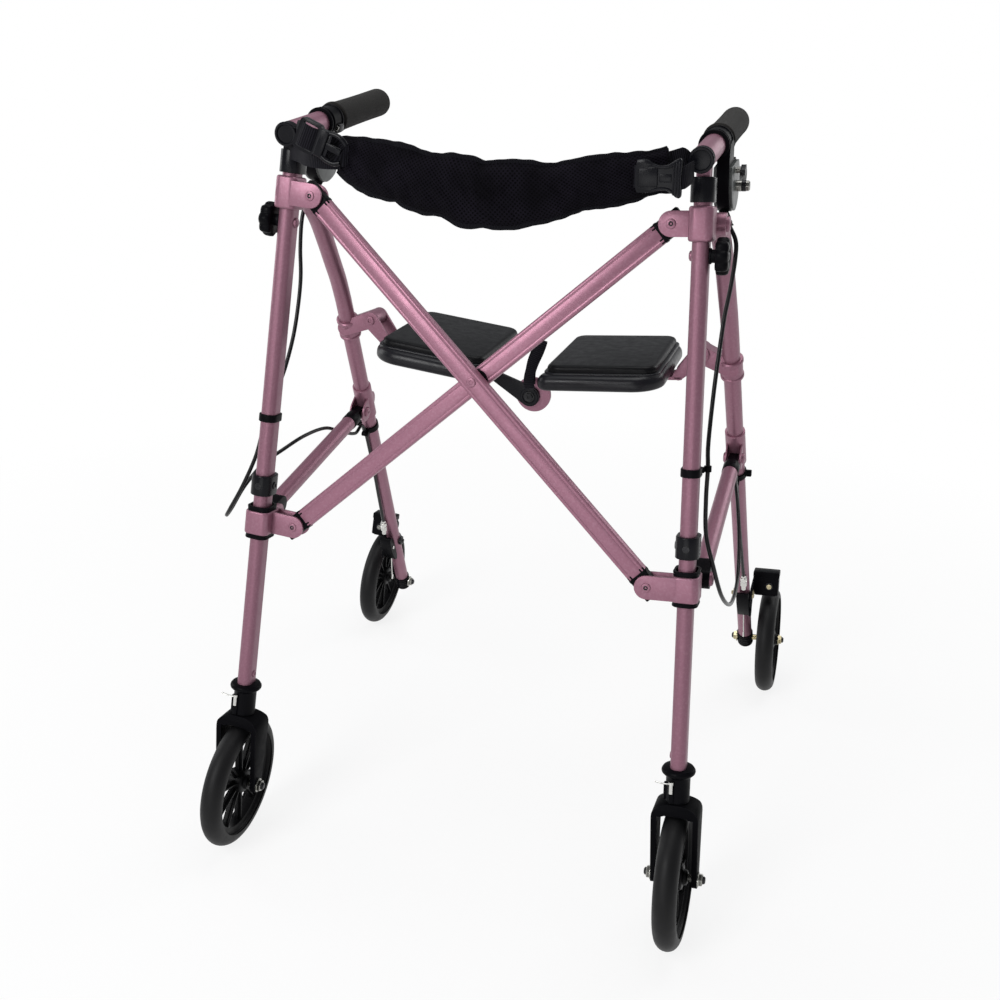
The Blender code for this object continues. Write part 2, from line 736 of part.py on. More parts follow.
def clevis(side, offset, level, bars_side):
    """Two ears in the plane of the cross, and the rivet through them."""
    frame = clevis_frame(side)
    forward = BAR_FORWARD[bars_side]
    turn = Matrix(((1, 0, 0), (0, 0, -1), (0, 1, 0))).to_4x4()
    facing = frame @ Matrix.Translation((0.0, 0.0, level)) @ turn
    inner = forward - BAR_THICK / 2 - TOUCH_GAP
    outer = forward + BAR_THICK / 2 + TOUCH_GAP
    ear = slot_outline((-side * offset, 0.0), (-side * EAR_ROOT, 0.0), EAR_RADIUS, 4)
    pieces = [plate([ear], inner - EAR_THICK, inner, facing),
              plate([ear], outer, outer + EAR_THICK, facing)]
    spot = facing @ Matrix.Translation((-side * offset, 0.0, 0.0))
    front = outer + EAR_THICK
    back = inner - EAR_THICK
    pin = [(0.0, front + RIVET_HEAD_HEIGHT), (RIVET_HEAD_RADIUS, front + RIVET_HEAD_HEIGHT),
           (RIVET_HEAD_RADIUS, front - RIVET_SINK), (PIVOT_PIN_RADIUS, front - RIVET_SINK),
           (PIVOT_PIN_RADIUS, back + RIVET_SINK), (RIVET_HEAD_RADIUS, back + RIVET_SINK),
           (RIVET_HEAD_RADIUS, back - RIVET_HEAD_HEIGHT), (0.0, back - RIVET_HEAD_HEIGHT)]
    return pieces, turned(pin, spot, PIN_FACETS)


def ear_reach(bars_side, hand):
    """How far a collar's body goes forward, or back for hand -1, to cover its ear."""
    return hand * BAR_FORWARD[bars_side] + BAR_THICK / 2 + TOUCH_GAP + EAR_THICK + EAR_SINK


def rear_ear(side, frame, back, level):
    """Ear inboard of the tube's end, with the hinge bolt through it."""
    inner = REAR_OUTSET - REAR_TUBE_RADIUS - TOUCH_GAP - REAR_EAR_THICK
    outer = inner + REAR_EAR_THICK
    tube_outer = REAR_OUTSET + REAR_TUBE_RADIUS + TOUCH_GAP
    ear = side_plate(side, frame, [slot_outline((REAR_EAR_ROOT, level), (back, level), REAR_EAR_RADIUS, 4)],
                     inner, outer)
    pin = side_rod(side, frame, HINGE_PIN_RADIUS, inner + PIN_SINK, tube_outer + PIN_SINK, back, level,
                   PIN_FACETS)
    head = side_rod(side, frame, HINGE_HEAD_RADIUS, tube_outer, tube_outer + HINGE_HEAD_HEIGHT, back, level, 12)
    nut = side_rod(side, frame, NUT_RADIUS, inner - HINGE_NUT_HEIGHT, inner + PIN_SINK, back, level, 6)
    return ear, [pin, head, nut]


def collar_body(frame, level, height, bars_side, side_gap, depth_gap):
    """Rounded block round the leg that reaches both ears."""
    width = LEG_WIDTH + 2 * (side_gap + COLLAR_WALL)
    least = LEG_DEPTH / 2 + depth_gap + COLLAR_WALL
    forward = max(ear_reach(bars_side, 1), least)
    back = max(ear_reach(bars_side, -1), least)
    outline = rounded(width, back + forward, LEG_CORNER, y=(back - forward) / 2)
    return plate([outline], level - height / 2, level + height / 2, frame)


def make_top_collar(side, frame):
    body = collar_body(frame, 0.0, COLLAR_HEIGHT, side, TOUCH_GAP, TOUCH_GAP)
    ears, rivet = clevis(side, TOP_PIVOT_OFFSET, 0.0, side)
    ear, bolt = rear_ear(side, frame, REAR_HINGE_BACK, 0.0)
    combine(body, ears + [ear])
    cut(body, [leg_bore(TOUCH_GAP, TOUCH_GAP, -COLLAR_HEIGHT, COLLAR_HEIGHT, frame)])
    return combine(body, [rivet] + bolt)


def make_slide_collar(side, frame):
    bars_side = -side
    level = -COLLAR_DROP
    body = collar_body(frame, level, SLIDE_COLLAR_HEIGHT, bars_side, COLLAR_SIDE_GAP, COLLAR_DEPTH_GAP)
    tall = SLIDE_COLLAR_HEIGHT / 2 + BUSH_HEIGHT
    bush = rounded(LEG_WIDTH + 2 * (COLLAR_SIDE_GAP + COLLAR_WALL) - BUSH_STEP,
                   LEG_DEPTH + 2 * (COLLAR_DEPTH_GAP + COLLAR_WALL) - BUSH_STEP, LEG_CORNER, steps=1)
    flange = plate([bush], level - tall, level + tall, frame)
    ears, rivet = clevis(side, LOW_PIVOT_OFFSET, level, bars_side)
    ear, bolt = rear_ear(side, frame, LINK_COLLAR_BACK, level)
    combine(body, [flange, ear] + ears)
    cut(body, [leg_bore(COLLAR_SIDE_GAP, COLLAR_DEPTH_GAP, level - 2 * tall, level + 2 * tall, frame)])
    return combine(body, [rivet] + bolt)


def make_stop_sleeve(side, frame):
    outline = rounded(LEG_WIDTH + 2 * (TOUCH_GAP + STOP_WALL), LEG_DEPTH + 2 * (TOUCH_GAP + STOP_WALL),
                      LEG_CORNER + STOP_WALL, steps=2)
    low = STOP_PLACE - STOP_HEIGHT / 2
    high = STOP_PLACE + STOP_HEIGHT / 2
    body = plate([outline], low, high, frame)
    inner = LEG_WIDTH / 2 + TOUCH_GAP + STOP_WALL
    screw = side_rod(side, frame, STOP_SCREW_RADIUS, inner - STOP_SCREW_SINK, inner + STOP_SCREW_HEIGHT, 0.0,
                     STOP_PLACE, 12)
    combine(body, [screw])
    return cut(body, [leg_bore(TOUCH_GAP, TOUCH_GAP, low - CUT_REACH, high + CUT_REACH, frame)])


def make_handle_bushing(side, frame):
    outline = rounded(LEG_WIDTH + 2 * (TOUCH_GAP + BUSHING_WALL), LEG_DEPTH + 2 * (TOUCH_GAP + BUSHING_WALL),
                      LEG_CORNER + BUSHING_WALL)
    body = plate([outline], BUSHING_LOW, BUSHING_HIGH, frame)
    upper = rounded(HANDLE_TUBE_WIDTH + 2 * TOUCH_GAP, HANDLE_TUBE_DEPTH + 2 * TOUCH_GAP, LEG_CORNER - LEG_WALL)
    return cut(body, [leg_bore(TOUCH_GAP, TOUCH_GAP, BUSHING_LOW - CUT_REACH, LEG_TOP + TOUCH_GAP, frame),
                      plate([upper], BUSHING_LOW, BUSHING_HIGH + CUT_REACH, frame)])


def make_handle_tube(side, frame):
    """Upright that slides in the leg, joined to the horizontal tube."""
    outer = rounded(HANDLE_TUBE_WIDTH, HANDLE_TUBE_DEPTH, LEG_CORNER - LEG_WALL - TOUCH_GAP)
    inner = rounded(HANDLE_TUBE_WIDTH - 2 * HANDLE_WALL, HANDLE_TUBE_DEPTH - 2 * HANDLE_WALL,
                    HANDLE_BORE_CORNER)
    upright = plate([outer], HANDLE_TUBE_BOTTOM, HANDLE_LEVEL, frame)
    along = handle_frame(frame)
    level = rod(HANDLE_RADIUS, HANDLE_FRONT, GRIP_END - GRIP_END_WALL, along)
    combine(upright, [level])
    bores = [plate([inner], HANDLE_TUBE_BOTTOM - CUT_REACH, HANDLE_LEVEL, frame),
             rod(HANDLE_RADIUS - HANDLE_WALL, HANDLE_FRONT - CUT_REACH, GRIP_END, along)]
    return cut(upright, bores)


def make_handle_cap(side, frame):
    """Spool on the front end of the handle tube that the backrest's strap goes round."""
    front = HANDLE_FRONT - TOUCH_GAP
    bore = HANDLE_RADIUS - HANDLE_WALL - TOUCH_GAP
    profile = [(0.0, front + CAP_PLUG_LENGTH), (bore, front + CAP_PLUG_LENGTH), (bore, front),
               (CAP_SPIGOT_RADIUS, front), (CAP_SPIGOT_RADIUS, front - CAP_LENGTH + CAP_FLANGE_THICK),
               (CAP_FLANGE_RADIUS, front - CAP_LENGTH + CAP_FLANGE_THICK),
               (CAP_FLANGE_RADIUS, front - CAP_LENGTH), (0.0, front - CAP_LENGTH - CAP_CROWN)]
    return turned(profile, handle_frame(frame))


def make_grip(side, frame):
    """Foam sleeve with a domed end and a rolled front lip."""
    bore = HANDLE_RADIUS + TOUCH_GAP
    end = GRIP_END
    tube_end = end - GRIP_END_WALL + TOUCH_GAP
    profile = [(0.0, end)] + [(GRIP_RADIUS * share, end - drop) for share, drop in GRIP_DOME]
    profile += [(GRIP_RADIUS, GRIP_START + GRIP_LIP_LENGTH),
                (GRIP_RADIUS + GRIP_LIP, GRIP_START + GRIP_LIP_PEAK),
                (GRIP_RADIUS, GRIP_START), (bore, GRIP_START), (bore, tube_end), (0.0, tube_end)]
    return turned(profile[::-1], handle_frame(frame))


def brake_body_outline():
    """Rounded hanging body, in rearward and upward coordinates of the handle tube."""
    shoulder = GRIP_START - BRAKE_BODY_AXIAL - BRAKE_GRIP_GAP
    under = -GRIP_RADIUS - GRIP_LIP - BRAKE_GRIP_GAP
    front, rear, drop = BRAKE_BODY_FRONT, BRAKE_BODY_REAR, BRAKE_BODY_DROP
    return [(CLAMP_START - BRAKE_BODY_AXIAL, 0.0), (-0.9 * front, 0.8 * under), (-front, -0.45 * drop),
            (-0.95 * front, -0.68 * drop), (-0.7 * front, -0.86 * drop), (-0.25 * front, -0.98 * drop),
            (0.15 * rear, -drop), (0.6 * rear, -0.93 * drop), (0.88 * rear, -0.78 * drop),
            (rear, -0.55 * drop), (0.94 * rear, -0.40 * drop), (0.7 * rear, under), (shoulder, under),
            (shoulder, 0.0)]


def brake_frame(frame):
    """Side-plane frame on the handle tube's axis at the hand brake: X rearward, Y up, Z outward."""
    along = handle_frame(frame) @ Matrix.Translation((0.0, 0.0, BRAKE_BODY_AXIAL))
    turn = Matrix(((0, 0, 1), (0, -1, 0), (1, 0, 0))).to_4x4()
    return along @ turn


def make_brake_housing(side, frame):
    along = handle_frame(frame)
    clamp = rod(CLAMP_RADIUS, CLAMP_START, CLAMP_END, along)
    facing = brake_frame(frame)
    low, high = sorted((side * BRAKE_BODY_INNER, side * BRAKE_BODY_OUTER))
    body = plate([brake_body_outline()], low, high, facing)
    boss_span = sorted((side * (BRAKE_BODY_OUTER - PIN_SINK), side * (BRAKE_BODY_OUTER + BRAKE_BOSS_HEIGHT)))
    boss = rod(BRAKE_BOSS_RADIUS, *boss_span,
               facing @ Matrix.Translation((BRAKE_BOSS_REAR, -0.55 * BRAKE_BODY_DROP, 0.0)), PIN_FACETS)
    combine(clamp, [body, boss, cable_boot(side, frame)])
    middle = side * (BRAKE_BODY_INNER + BRAKE_BODY_OUTER) / 2
    slot = LEVER_ROD_RADIUS + LEVER_GAP
    room = block((LEVER_PIVOT_REAR - LEVER_SLOT_FRONT, -BRAKE_BODY_DROP * LEVER_SLOT_FOOT, middle - slot),
                 (BRAKE_BODY_REAR + CUT_REACH, -LEVER_PIVOT_DROP + LEVER_SLOT_FRONT, middle + slot), facing)
    cut(clamp, [rod(HANDLE_RADIUS + TOUCH_GAP, CLAMP_START - CUT_FAR, CLAMP_END + CUT_FAR, along), room])
    half = LEVER_ROD_RADIUS + LEVER_PIN_SINK
    pin = rod(LEVER_PIN_RADIUS, middle - half, middle + half, lever_pivot(frame), 12)
    return combine(clamp, [pin])


def lever_pivot(frame):
    return brake_frame(frame) @ Matrix.Translation((LEVER_PIVOT_REAR, -LEVER_PIVOT_DROP, 0.0))


def cable_boot(side, frame):
    """Rubber boot that the cable leaves the housing by."""
    points = [Vector((side * out, back, level)) for out, back, level in CABLE_TOP]
    heading = (points[0] - points[1]).normalized()
    end = points[0] + heading * TOUCH_GAP
    return tube_along([end + heading * CABLE_BOOT_LENGTH, end], CABLE_BOOT_RADIUS, frame, 2)


def make_brake_lever(side, frame):
    """Lever blade that runs rearward under the grip."""
    middle = side * (BRAKE_BODY_INNER + BRAKE_BODY_OUTER) / 2
    pivot = lever_pivot(frame) @ Matrix.Translation((0.0, 0.0, middle))
    line = LEVER_LINE + ((LEVER_REACH, LEVER_END_DROP),)
    path = smooth_path([(rear, -drop, 0.0) for rear, drop in line], 2)
    blade = tube_along(path, LEVER_ROD_RADIUS, pivot, 1)
    tip_line = slot_outline((LEVER_REACH - LEVER_TIP_LENGTH, -LEVER_TIP_DROP), (LEVER_REACH, -LEVER_TIP_DROP),
                            LEVER_TIP_RADIUS)
    tip = plate([tip_line], -LEVER_ROD_RADIUS, LEVER_ROD_RADIUS, pivot)
    half = LEVER_ROD_RADIUS + LEVER_BOSS_EXTRA
    boss = rod(LEVER_BOSS_RADIUS, -half, half, pivot)
    combine(boss, [blade, tip])
    return cut(boss, [rod(LEVER_PIN_RADIUS + PIN_GAP, -CUT_REACH, CUT_REACH, pivot, 12)])


def make_height_knob(side, frame):
    """Star knob, its boss against the leg."""
    points = []
    for index in range(KNOB_LOBES * 4):
        swell = 0.5 + 0.5 * math.cos(2 * math.pi * index / 4)
        radius = KNOB_RADIUS * (KNOB_WAIST + (1 - KNOB_WAIST) * swell)
        angle = 2 * math.pi * index / (KNOB_LOBES * 4)
        points.append((radius * math.cos(angle), radius * math.sin(angle)))
    star = side_plate(side, frame, [points], KNOB_START + KNOB_BACK, KNOB_START + KNOB_THICK, 0.0,
                      KNOB_PLACE)
    start = LEG_WIDTH / 2 + TOUCH_GAP
    end = KNOB_START + KNOB_BACK + KNOB_BOSS_SINK
    boss = side_rod(side, frame, KNOB_BOSS_RADIUS, start, end, 0.0, KNOB_PLACE)
    return combine(star, [boss])


def bar_frame(bars_side):
    """Bar's own frame: origin at its top pivot, X down along the bar, Y rearward."""
    middle = -BAR_FORWARD[bars_side]
    place = Matrix.Translation((bars_side * TOP_PIVOT_HALF, middle, -TOP_PIVOT_DROP))
    heading = Matrix.Rotation(BAR_ANGLE, 4, "Y")
    if bars_side == LEFT:
        heading = Matrix.Rotation(math.pi - BAR_ANGLE, 4, "Y")
    return front_frame() @ place @ heading


def make_cross_bar(bars_side):
    """Bar with its end plugs: a rounded section with holes for the pivots."""
    frame = bar_frame(bars_side)
    length = BAR_TOP_ARM + BAR_LOW_ARM
    turn = Matrix(((0, 0, 1), (1, 0, 0), (0, 1, 0))).to_4x4()
    section = rounded(BAR_THICK, BAR_WIDTH, BAR_CORNER, steps=1)
    end = BAR_PLUG_REACH + BAR_PLUG_STEP
    pink = plate([section], end, length - end, frame @ turn)
    plug_section = rounded(BAR_THICK - BAR_PLUG_EASE, BAR_WIDTH - BAR_PLUG_EASE, BAR_PLUG_CORNER, steps=1)
    plug = plate([plug_section], -BAR_PLUG_REACH, length + BAR_PLUG_REACH, frame @ turn)
    combine(pink, [plug])
    facing = frame @ Matrix.Rotation(math.pi / 2, 4, "X")
    holes = []
    for place in (0.0, BAR_TOP_ARM, length):
        holes.append(rod(PIVOT_PIN_RADIUS + PIN_GAP, -BAR_THICK, BAR_THICK,
                         facing @ Matrix.Translation((place, 0.0, 0.0)), PIN_FACETS))
    return cut(pink, holes)


def make_cross_rivet():
    """Rivet through both bars, with the spacer between them."""
    middle = front_frame() @ Matrix.Translation(
        (0.0, 0.0, -TOP_PIVOT_DROP - BAR_TOP_ARM * math.sin(BAR_ANGLE)))
    facing = middle @ Matrix.Rotation(math.pi / 2, 4, "X")
    front = BAR_FORWARD[RIGHT] + BAR_THICK / 2 + TOUCH_GAP
    back = BAR_FORWARD[LEFT] - BAR_THICK / 2 - TOUCH_GAP
    high = BARS_MIDDLE_FORWARD + BAR_SPACER / 2 - TOUCH_GAP
    low = BARS_MIDDLE_FORWARD - BAR_SPACER / 2 + TOUCH_GAP
    profile = [(0.0, front + RIVET_HEAD_HEIGHT), (RIVET_HEAD_RADIUS, front + RIVET_HEAD_HEIGHT),
               (RIVET_HEAD_RADIUS, front), (PIVOT_PIN_RADIUS, front), (PIVOT_PIN_RADIUS, high),
               (SPACER_RADIUS, high), (SPACER_RADIUS, low), (PIVOT_PIN_RADIUS, low),
               (PIVOT_PIN_RADIUS, back), (RIVET_HEAD_RADIUS, back),
               (RIVET_HEAD_RADIUS, back - RIVET_HEAD_HEIGHT), (0.0, back - RIVET_HEAD_HEIGHT)]
    return turned(profile, facing, PIN_FACETS)


def make_caster_collar(side, frame):
    """Collar on the leg's end: spigot in the tube, flange, and the sleeve that the stem turns in."""
    top = LEG_BOTTOM - TOUCH_GAP
    low = top - CASTER_FLANGE_HEIGHT
    profile = [(0.0, top), (CASTER_FLANGE_RADIUS - CASTER_EASE, top), (CASTER_FLANGE_RADIUS, top - CASTER_EASE),
               (CASTER_FLANGE_RADIUS, low + CASTER_EASE), (CASTER_FLANGE_RADIUS - CASTER_EASE, low),
               (CASTER_SLEEVE_RADIUS, low - CASTER_NECK),
               (CASTER_SLEEVE_RADIUS, CASTER_SLEEVE_BOTTOM), (0.0, CASTER_SLEEVE_BOTTOM)]
    body = turned(profile, frame)
    spigot = rounded(LEG_WIDTH - 2 * LEG_WALL - 2 * TOUCH_GAP, LEG_DEPTH - 2 * LEG_WALL - 2 * TOUCH_GAP,
                     LEG_CORNER - LEG_WALL - TOUCH_GAP)
    combine(body, [plate([spigot], top - CASTER_SPIGOT_SINK, LEG_BOTTOM + CASTER_SPIGOT_HEIGHT, frame)])
    bore_top = LEG_BOTTOM + STEM_REACH + STEM_END_GAP
    bore = rod(STEM_RADIUS + PIN_GAP, CASTER_SLEEVE_BOTTOM - CUT_REACH, bore_top, frame)
    return cut(body, [bore])


def caster_axle_level():
    return -CASTER_DROP


def make_caster_fork(side, frame):
    top = CASTER_SLEEVE_BOTTOM - TOUCH_GAP
    outer = FORK_HALF_GAP + FORK_ARM_THICK
    level = caster_axle_level()
    crown = block((-outer, -FORK_TOP_DEPTH / 2, top - FORK_CROWN_THICK),
                  (outer, FORK_TOP_DEPTH / 2, top), frame, FORK_EASE, 2)
    boss = rod(CASTER_SLEEVE_RADIUS, top - FORK_BOSS_HEIGHT, top, frame)
    stem = rod(STEM_RADIUS, top - FORK_BOSS_HEIGHT, LEG_BOTTOM + STEM_REACH, frame, ROUND)
    arms = []
    for hand in (-1, 1):
        low, high = sorted((hand * FORK_HALF_GAP, hand * outer))
        arm = taper_outline((CASTER_TRAIL, level), FORK_END_RADIUS, (0.0, top - FORK_SHOULDER_RADIUS),
                            FORK_SHOULDER_RADIUS)
        arms.append(plate([arm], low, high, across(frame, 0.0, 0.0)))
    combine(crown, [boss, stem] + arms)
    hole = rod(AXLE_RADIUS + PIN_GAP, -CUT_FAR, CUT_FAR, across(frame, CASTER_TRAIL, level), PIN_FACETS)
    tyre_room = rod(WHEEL_RADIUS + TYRE_ROOM, -FORK_HALF_GAP, FORK_HALF_GAP,
                    across(frame, CASTER_TRAIL, level), WHEEL_FACETS)
    return cut(crown, [hole, tyre_room])


def wheel_frame(side, frame, outset, back, level):
    """Frame at a wheel's centre, Z along the axle, turned so that a facet edge meets the floor."""
    centre = across(frame, back, level) @ Matrix.Translation((0.0, 0.0, side * outset))
    return centre @ Matrix.Rotation(-math.pi / 2 + WHEEL_DOWN_TURN, 4, "Z")


def make_wheel(matrix):
    rim_outer = WHEEL_RADIUS - TYRE_DEPTH
    rim_inner = rim_outer - RIM_DEPTH
    slim = RIM_HALF_WIDTH - RIM_TAPER
    ring = turned([(rim_inner, slim), (rim_outer, RIM_HALF_WIDTH), (rim_outer, -RIM_HALF_WIDTH),
                   (rim_inner, -slim), (rim_inner, slim)], matrix, WHEEL_FACETS)
    hub = rod(HUB_RADIUS, -HUB_HALF_WIDTH, HUB_HALF_WIDTH, matrix)
    spokes = []
    reach = rim_inner + SPOKE_SINK
    for index in range(SPOKE_PAIRS):
        turn = matrix @ Matrix.Rotation(math.pi * index / SPOKE_PAIRS, 4, "Z")
        spokes.append(block((-reach, -SPOKE_WIDTH / 2, -SPOKE_THICK / 2),
                            (reach, SPOKE_WIDTH / 2, SPOKE_THICK / 2), turn))
    combine(hub, spokes + [ring])
    return cut(hub, [rod(AXLE_RADIUS + PIN_GAP, -CUT_FAR, CUT_FAR, matrix, PIN_FACETS)])


def make_tyre(matrix):
    inner = WHEEL_RADIUS - TYRE_DEPTH + TOUCH_GAP
    centre = WHEEL_RADIUS - TYRE_SECTION
    profile = [(inner, RIM_HALF_WIDTH)]
    for index in range(5):
        angle = math.radians(105.0 - 52.5 * index)
        profile.append((centre + TYRE_SECTION * math.cos(angle), TYRE_SECTION * math.sin(angle)))
    profile += [(inner, -RIM_HALF_WIDTH), (inner, RIM_HALF_WIDTH)]
    return turned(profile, matrix, WHEEL_FACETS)


def make_axle(matrix, inner, outer):
    """Bolt with a nut at each end, between two places along the axle."""
    bolt = rod(AXLE_RADIUS, inner, outer, matrix, PIN_FACETS)
    nuts = [rod(NUT_RADIUS, outer - NUT_HEIGHT - AXLE_END, outer - AXLE_END, matrix, 6),
            rod(NUT_RADIUS, inner + AXLE_END, inner + NUT_HEIGHT + AXLE_END, matrix, 6)]
    return combine(bolt, nuts)


def leg_direction():
    start = Vector(REAR_STRAIGHT_START)
    stop = Vector((REAR_AXLE_BACK, REAR_AXLE_LEVEL))
    return (stop - start).normalized()


def on_rear_leg(back):
    """Level of the rear leg's straight part at a rearward place."""
    start = Vector(REAR_STRAIGHT_START)
    heading = leg_direction()
    return start.y + (back - start.x) / heading.x * heading.y


def link_bracket_place():
    """Where the side link's end turns, under the rear leg, rearward and up the leg."""
    return LINK_BRACKET_BACK, on_rear_leg(LINK_BRACKET_BACK) - LINK_BRACKET_UNDER


def rear_frame(side, frame, back):
    """Frame on the straight part of the rear leg: Z down along it, X outward on the left."""
    heading = leg_direction()
    angle = math.atan2(heading.x, -heading.y)
    place = Matrix.Translation((side * REAR_OUTSET, back, on_rear_leg(back)))
    return frame @ place @ turn_about_x(angle) @ turn_about_x(math.pi)


def seat_hinge_frame(side):
    """Frame of the seat's hinge: X toward the middle, Y rearward or forward, Z up, dipped."""
    height = TOP_HEIGHT - SEAT_HINGE_DROP
    place = Matrix.Translation((side * SEAT_HINGE_HALF, SEAT_HINGE_BACK - DEPTH_CENTRE, height))
    return place @ Matrix.Rotation(-side * SEAT_DIP, 4, "Y")


def make_rear_leg(side, frame):
    """Bent tube with its hinge boss, seat clamp, link bracket, brake bolt and end plug."""
    outset = side * REAR_OUTSET
    path = [(REAR_HINGE_BACK, 0.0)] + list(REAR_BEND_POINTS) + [REAR_STRAIGHT_START]
    bend = smooth_path([(outset, back, level) for back, level in path], 2)
    end = Vector((REAR_AXLE_BACK, REAR_AXLE_LEVEL))
    tube = tube_along(bend + [Vector((outset, end.x, end.y))], REAR_TUBE_RADIUS, frame, 2)
    inner = REAR_OUTSET - REAR_TUBE_RADIUS
    outer = REAR_OUTSET + REAR_TUBE_RADIUS
    pieces = [side_rod(side, frame, REAR_TUBE_RADIUS + REAR_BOSS_WALL, inner, outer, REAR_HINGE_BACK, 0.0,
                       PIN_FACETS)]
    plug = rear_frame(side, frame, REAR_AXLE_BACK)
    pieces.append(rod(REAR_PLUG_RADIUS, -REAR_PLUG_LENGTH / 2, REAR_PLUG_LENGTH / 2, plug, PIN_FACETS))
    # Link bracket: a wrap round the tube and two plates beside the link's tongue
    bracket = link_bracket_place()
    bracket_back = bracket[0] + BRACKET_MIDDLE
    wrap = rear_frame(side, frame, bracket_back)
    pieces.append(rod(REAR_TUBE_RADIUS + BRACKET_WRAP, -BRACKET_LENGTH / 2, BRACKET_LENGTH / 2, wrap,
                      PIN_FACETS))
    half = TONGUE_THICK / 2 + TONGUE_SIDE_GAP
    tube_place = (bracket_back, on_rear_leg(bracket_back))
    ears = slot_outline(bracket, tube_place, BRACKET_RADIUS)
    for hand in (-1, 1):
        near = REAR_OUTSET + hand * half
        far = REAR_OUTSET + hand * (half + BRACKET_PLATE)
        pieces.append(side_plate(side, frame, [ears], near, far))
        head = far + hand * BRACKET_HEAD_HEIGHT
        pieces.append(side_rod(side, frame, BRACKET_HEAD_RADIUS, far - hand * RIVET_SINK, head, *bracket, 8))
    # Seat clamp and the knuckle that the seat half turns on
    hinge = seat_hinge_frame(side)
    local = frame.inverted() @ hinge.translation
    clamp_back = local.y + SEAT_CLAMP_BACK
    clamp = rear_frame(side, frame, clamp_back)
    pieces.append(rod(REAR_TUBE_RADIUS + SEAT_CLAMP_WALL, -SEAT_CLAMP_HALF, SEAT_CLAMP_HALF, clamp, PIN_FACETS))
    pieces.append(seat_knuckle(side, hinge, clamp.translation))
    # Brake bolt through the tube
    brake = (BRAKE_PIVOT_BACK, on_rear_leg(BRAKE_PIVOT_BACK))
    pieces.append(side_rod(side, frame, HINGE_PIN_RADIUS, inner - BRAKE_BOLT_INNER, outer + BRAKE_BOLT_OUTER,
                           *brake, PIN_FACETS))
    pieces.append(side_rod(side, frame, NUT_RADIUS, inner - BRAKE_NUT_INNER, inner + BRAKE_NUT_SINK, *brake, 6))
    combine(tube, pieces)
    cuts = [side_rod(side, frame, HINGE_PIN_RADIUS + PIN_GAP, -CUT_FAR, CUT_FAR, REAR_HINGE_BACK, 0.0,
                     PIN_FACETS),
            side_rod(side, frame, AXLE_RADIUS + PIN_GAP, -CUT_FAR, CUT_FAR, REAR_AXLE_BACK, REAR_AXLE_LEVEL,
                     PIN_FACETS),
            rod(SEAT_PIN_RADIUS + PIN_GAP, -CUT_FAR, CUT_FAR, hinge @ Matrix.Rotation(math.pi / 2, 4, "X"), 12)]
    return cut(tube, cuts)


def seat_knuckle(side, hinge, clamp_place):
    """Barrel on the seat hinge with an arm to the clamp ring."""
    level = hinge @ Matrix.Rotation(side * SEAT_DIP, 4, "Y")
    reach = level.inverted() @ clamp_place
    outline = taper_outline((0.0, 0.0), SEAT_KNUCKLE_RADIUS, (reach.x, reach.z),
                            SEAT_KNUCKLE_RADIUS - PIN_SINK)
    return plate([outline], -SEAT_KNUCKLE_LENGTH / 2, SEAT_KNUCKLE_LENGTH / 2,
                 level @ Matrix.Rotation(math.pi / 2, 4, "X"))


def make_side_link(side, frame):
    """Tube from the sliding collar to the rear leg, with moulded ends."""
    start = Vector((LINK_COLLAR_BACK, -COLLAR_DROP))
    stop = Vector(link_bracket_place())
    heading = (stop - start).normalized()
    first = start + heading * LINK_TUBE_START
    last = stop - heading * (LINK_CAP_LENGTH - LINK_TUBE_SINK)
    outset = side * REAR_OUTSET
    tube = tube_along([(outset, first.x, first.y), (outset, last.x, last.y)], LINK_RADIUS, frame, 2)
    inner = REAR_OUTSET - REAR_TUBE_RADIUS
    outer = REAR_OUTSET + REAR_TUBE_RADIUS
    cap = slot_outline(start, start + heading * LINK_CAP_LENGTH, LINK_CAP_RADIUS)
    boss = side_plate(side, frame, [cap], inner, outer)
    neck = stop - heading * (LINK_CAP_LENGTH - LINK_NECK)
    tip = taper_outline(neck, LINK_RADIUS - LINK_NECK_EASE, stop, TONGUE_RADIUS)
    tongue = side_plate(side, frame, [tip], REAR_OUTSET - TONGUE_THICK / 2, REAR_OUTSET + TONGUE_THICK / 2)
    combine(boss, [tube, tongue])
    return cut(boss, [side_rod(side, frame, HINGE_PIN_RADIUS + PIN_GAP, -CUT_FAR, CUT_FAR, *start, PIN_FACETS)])


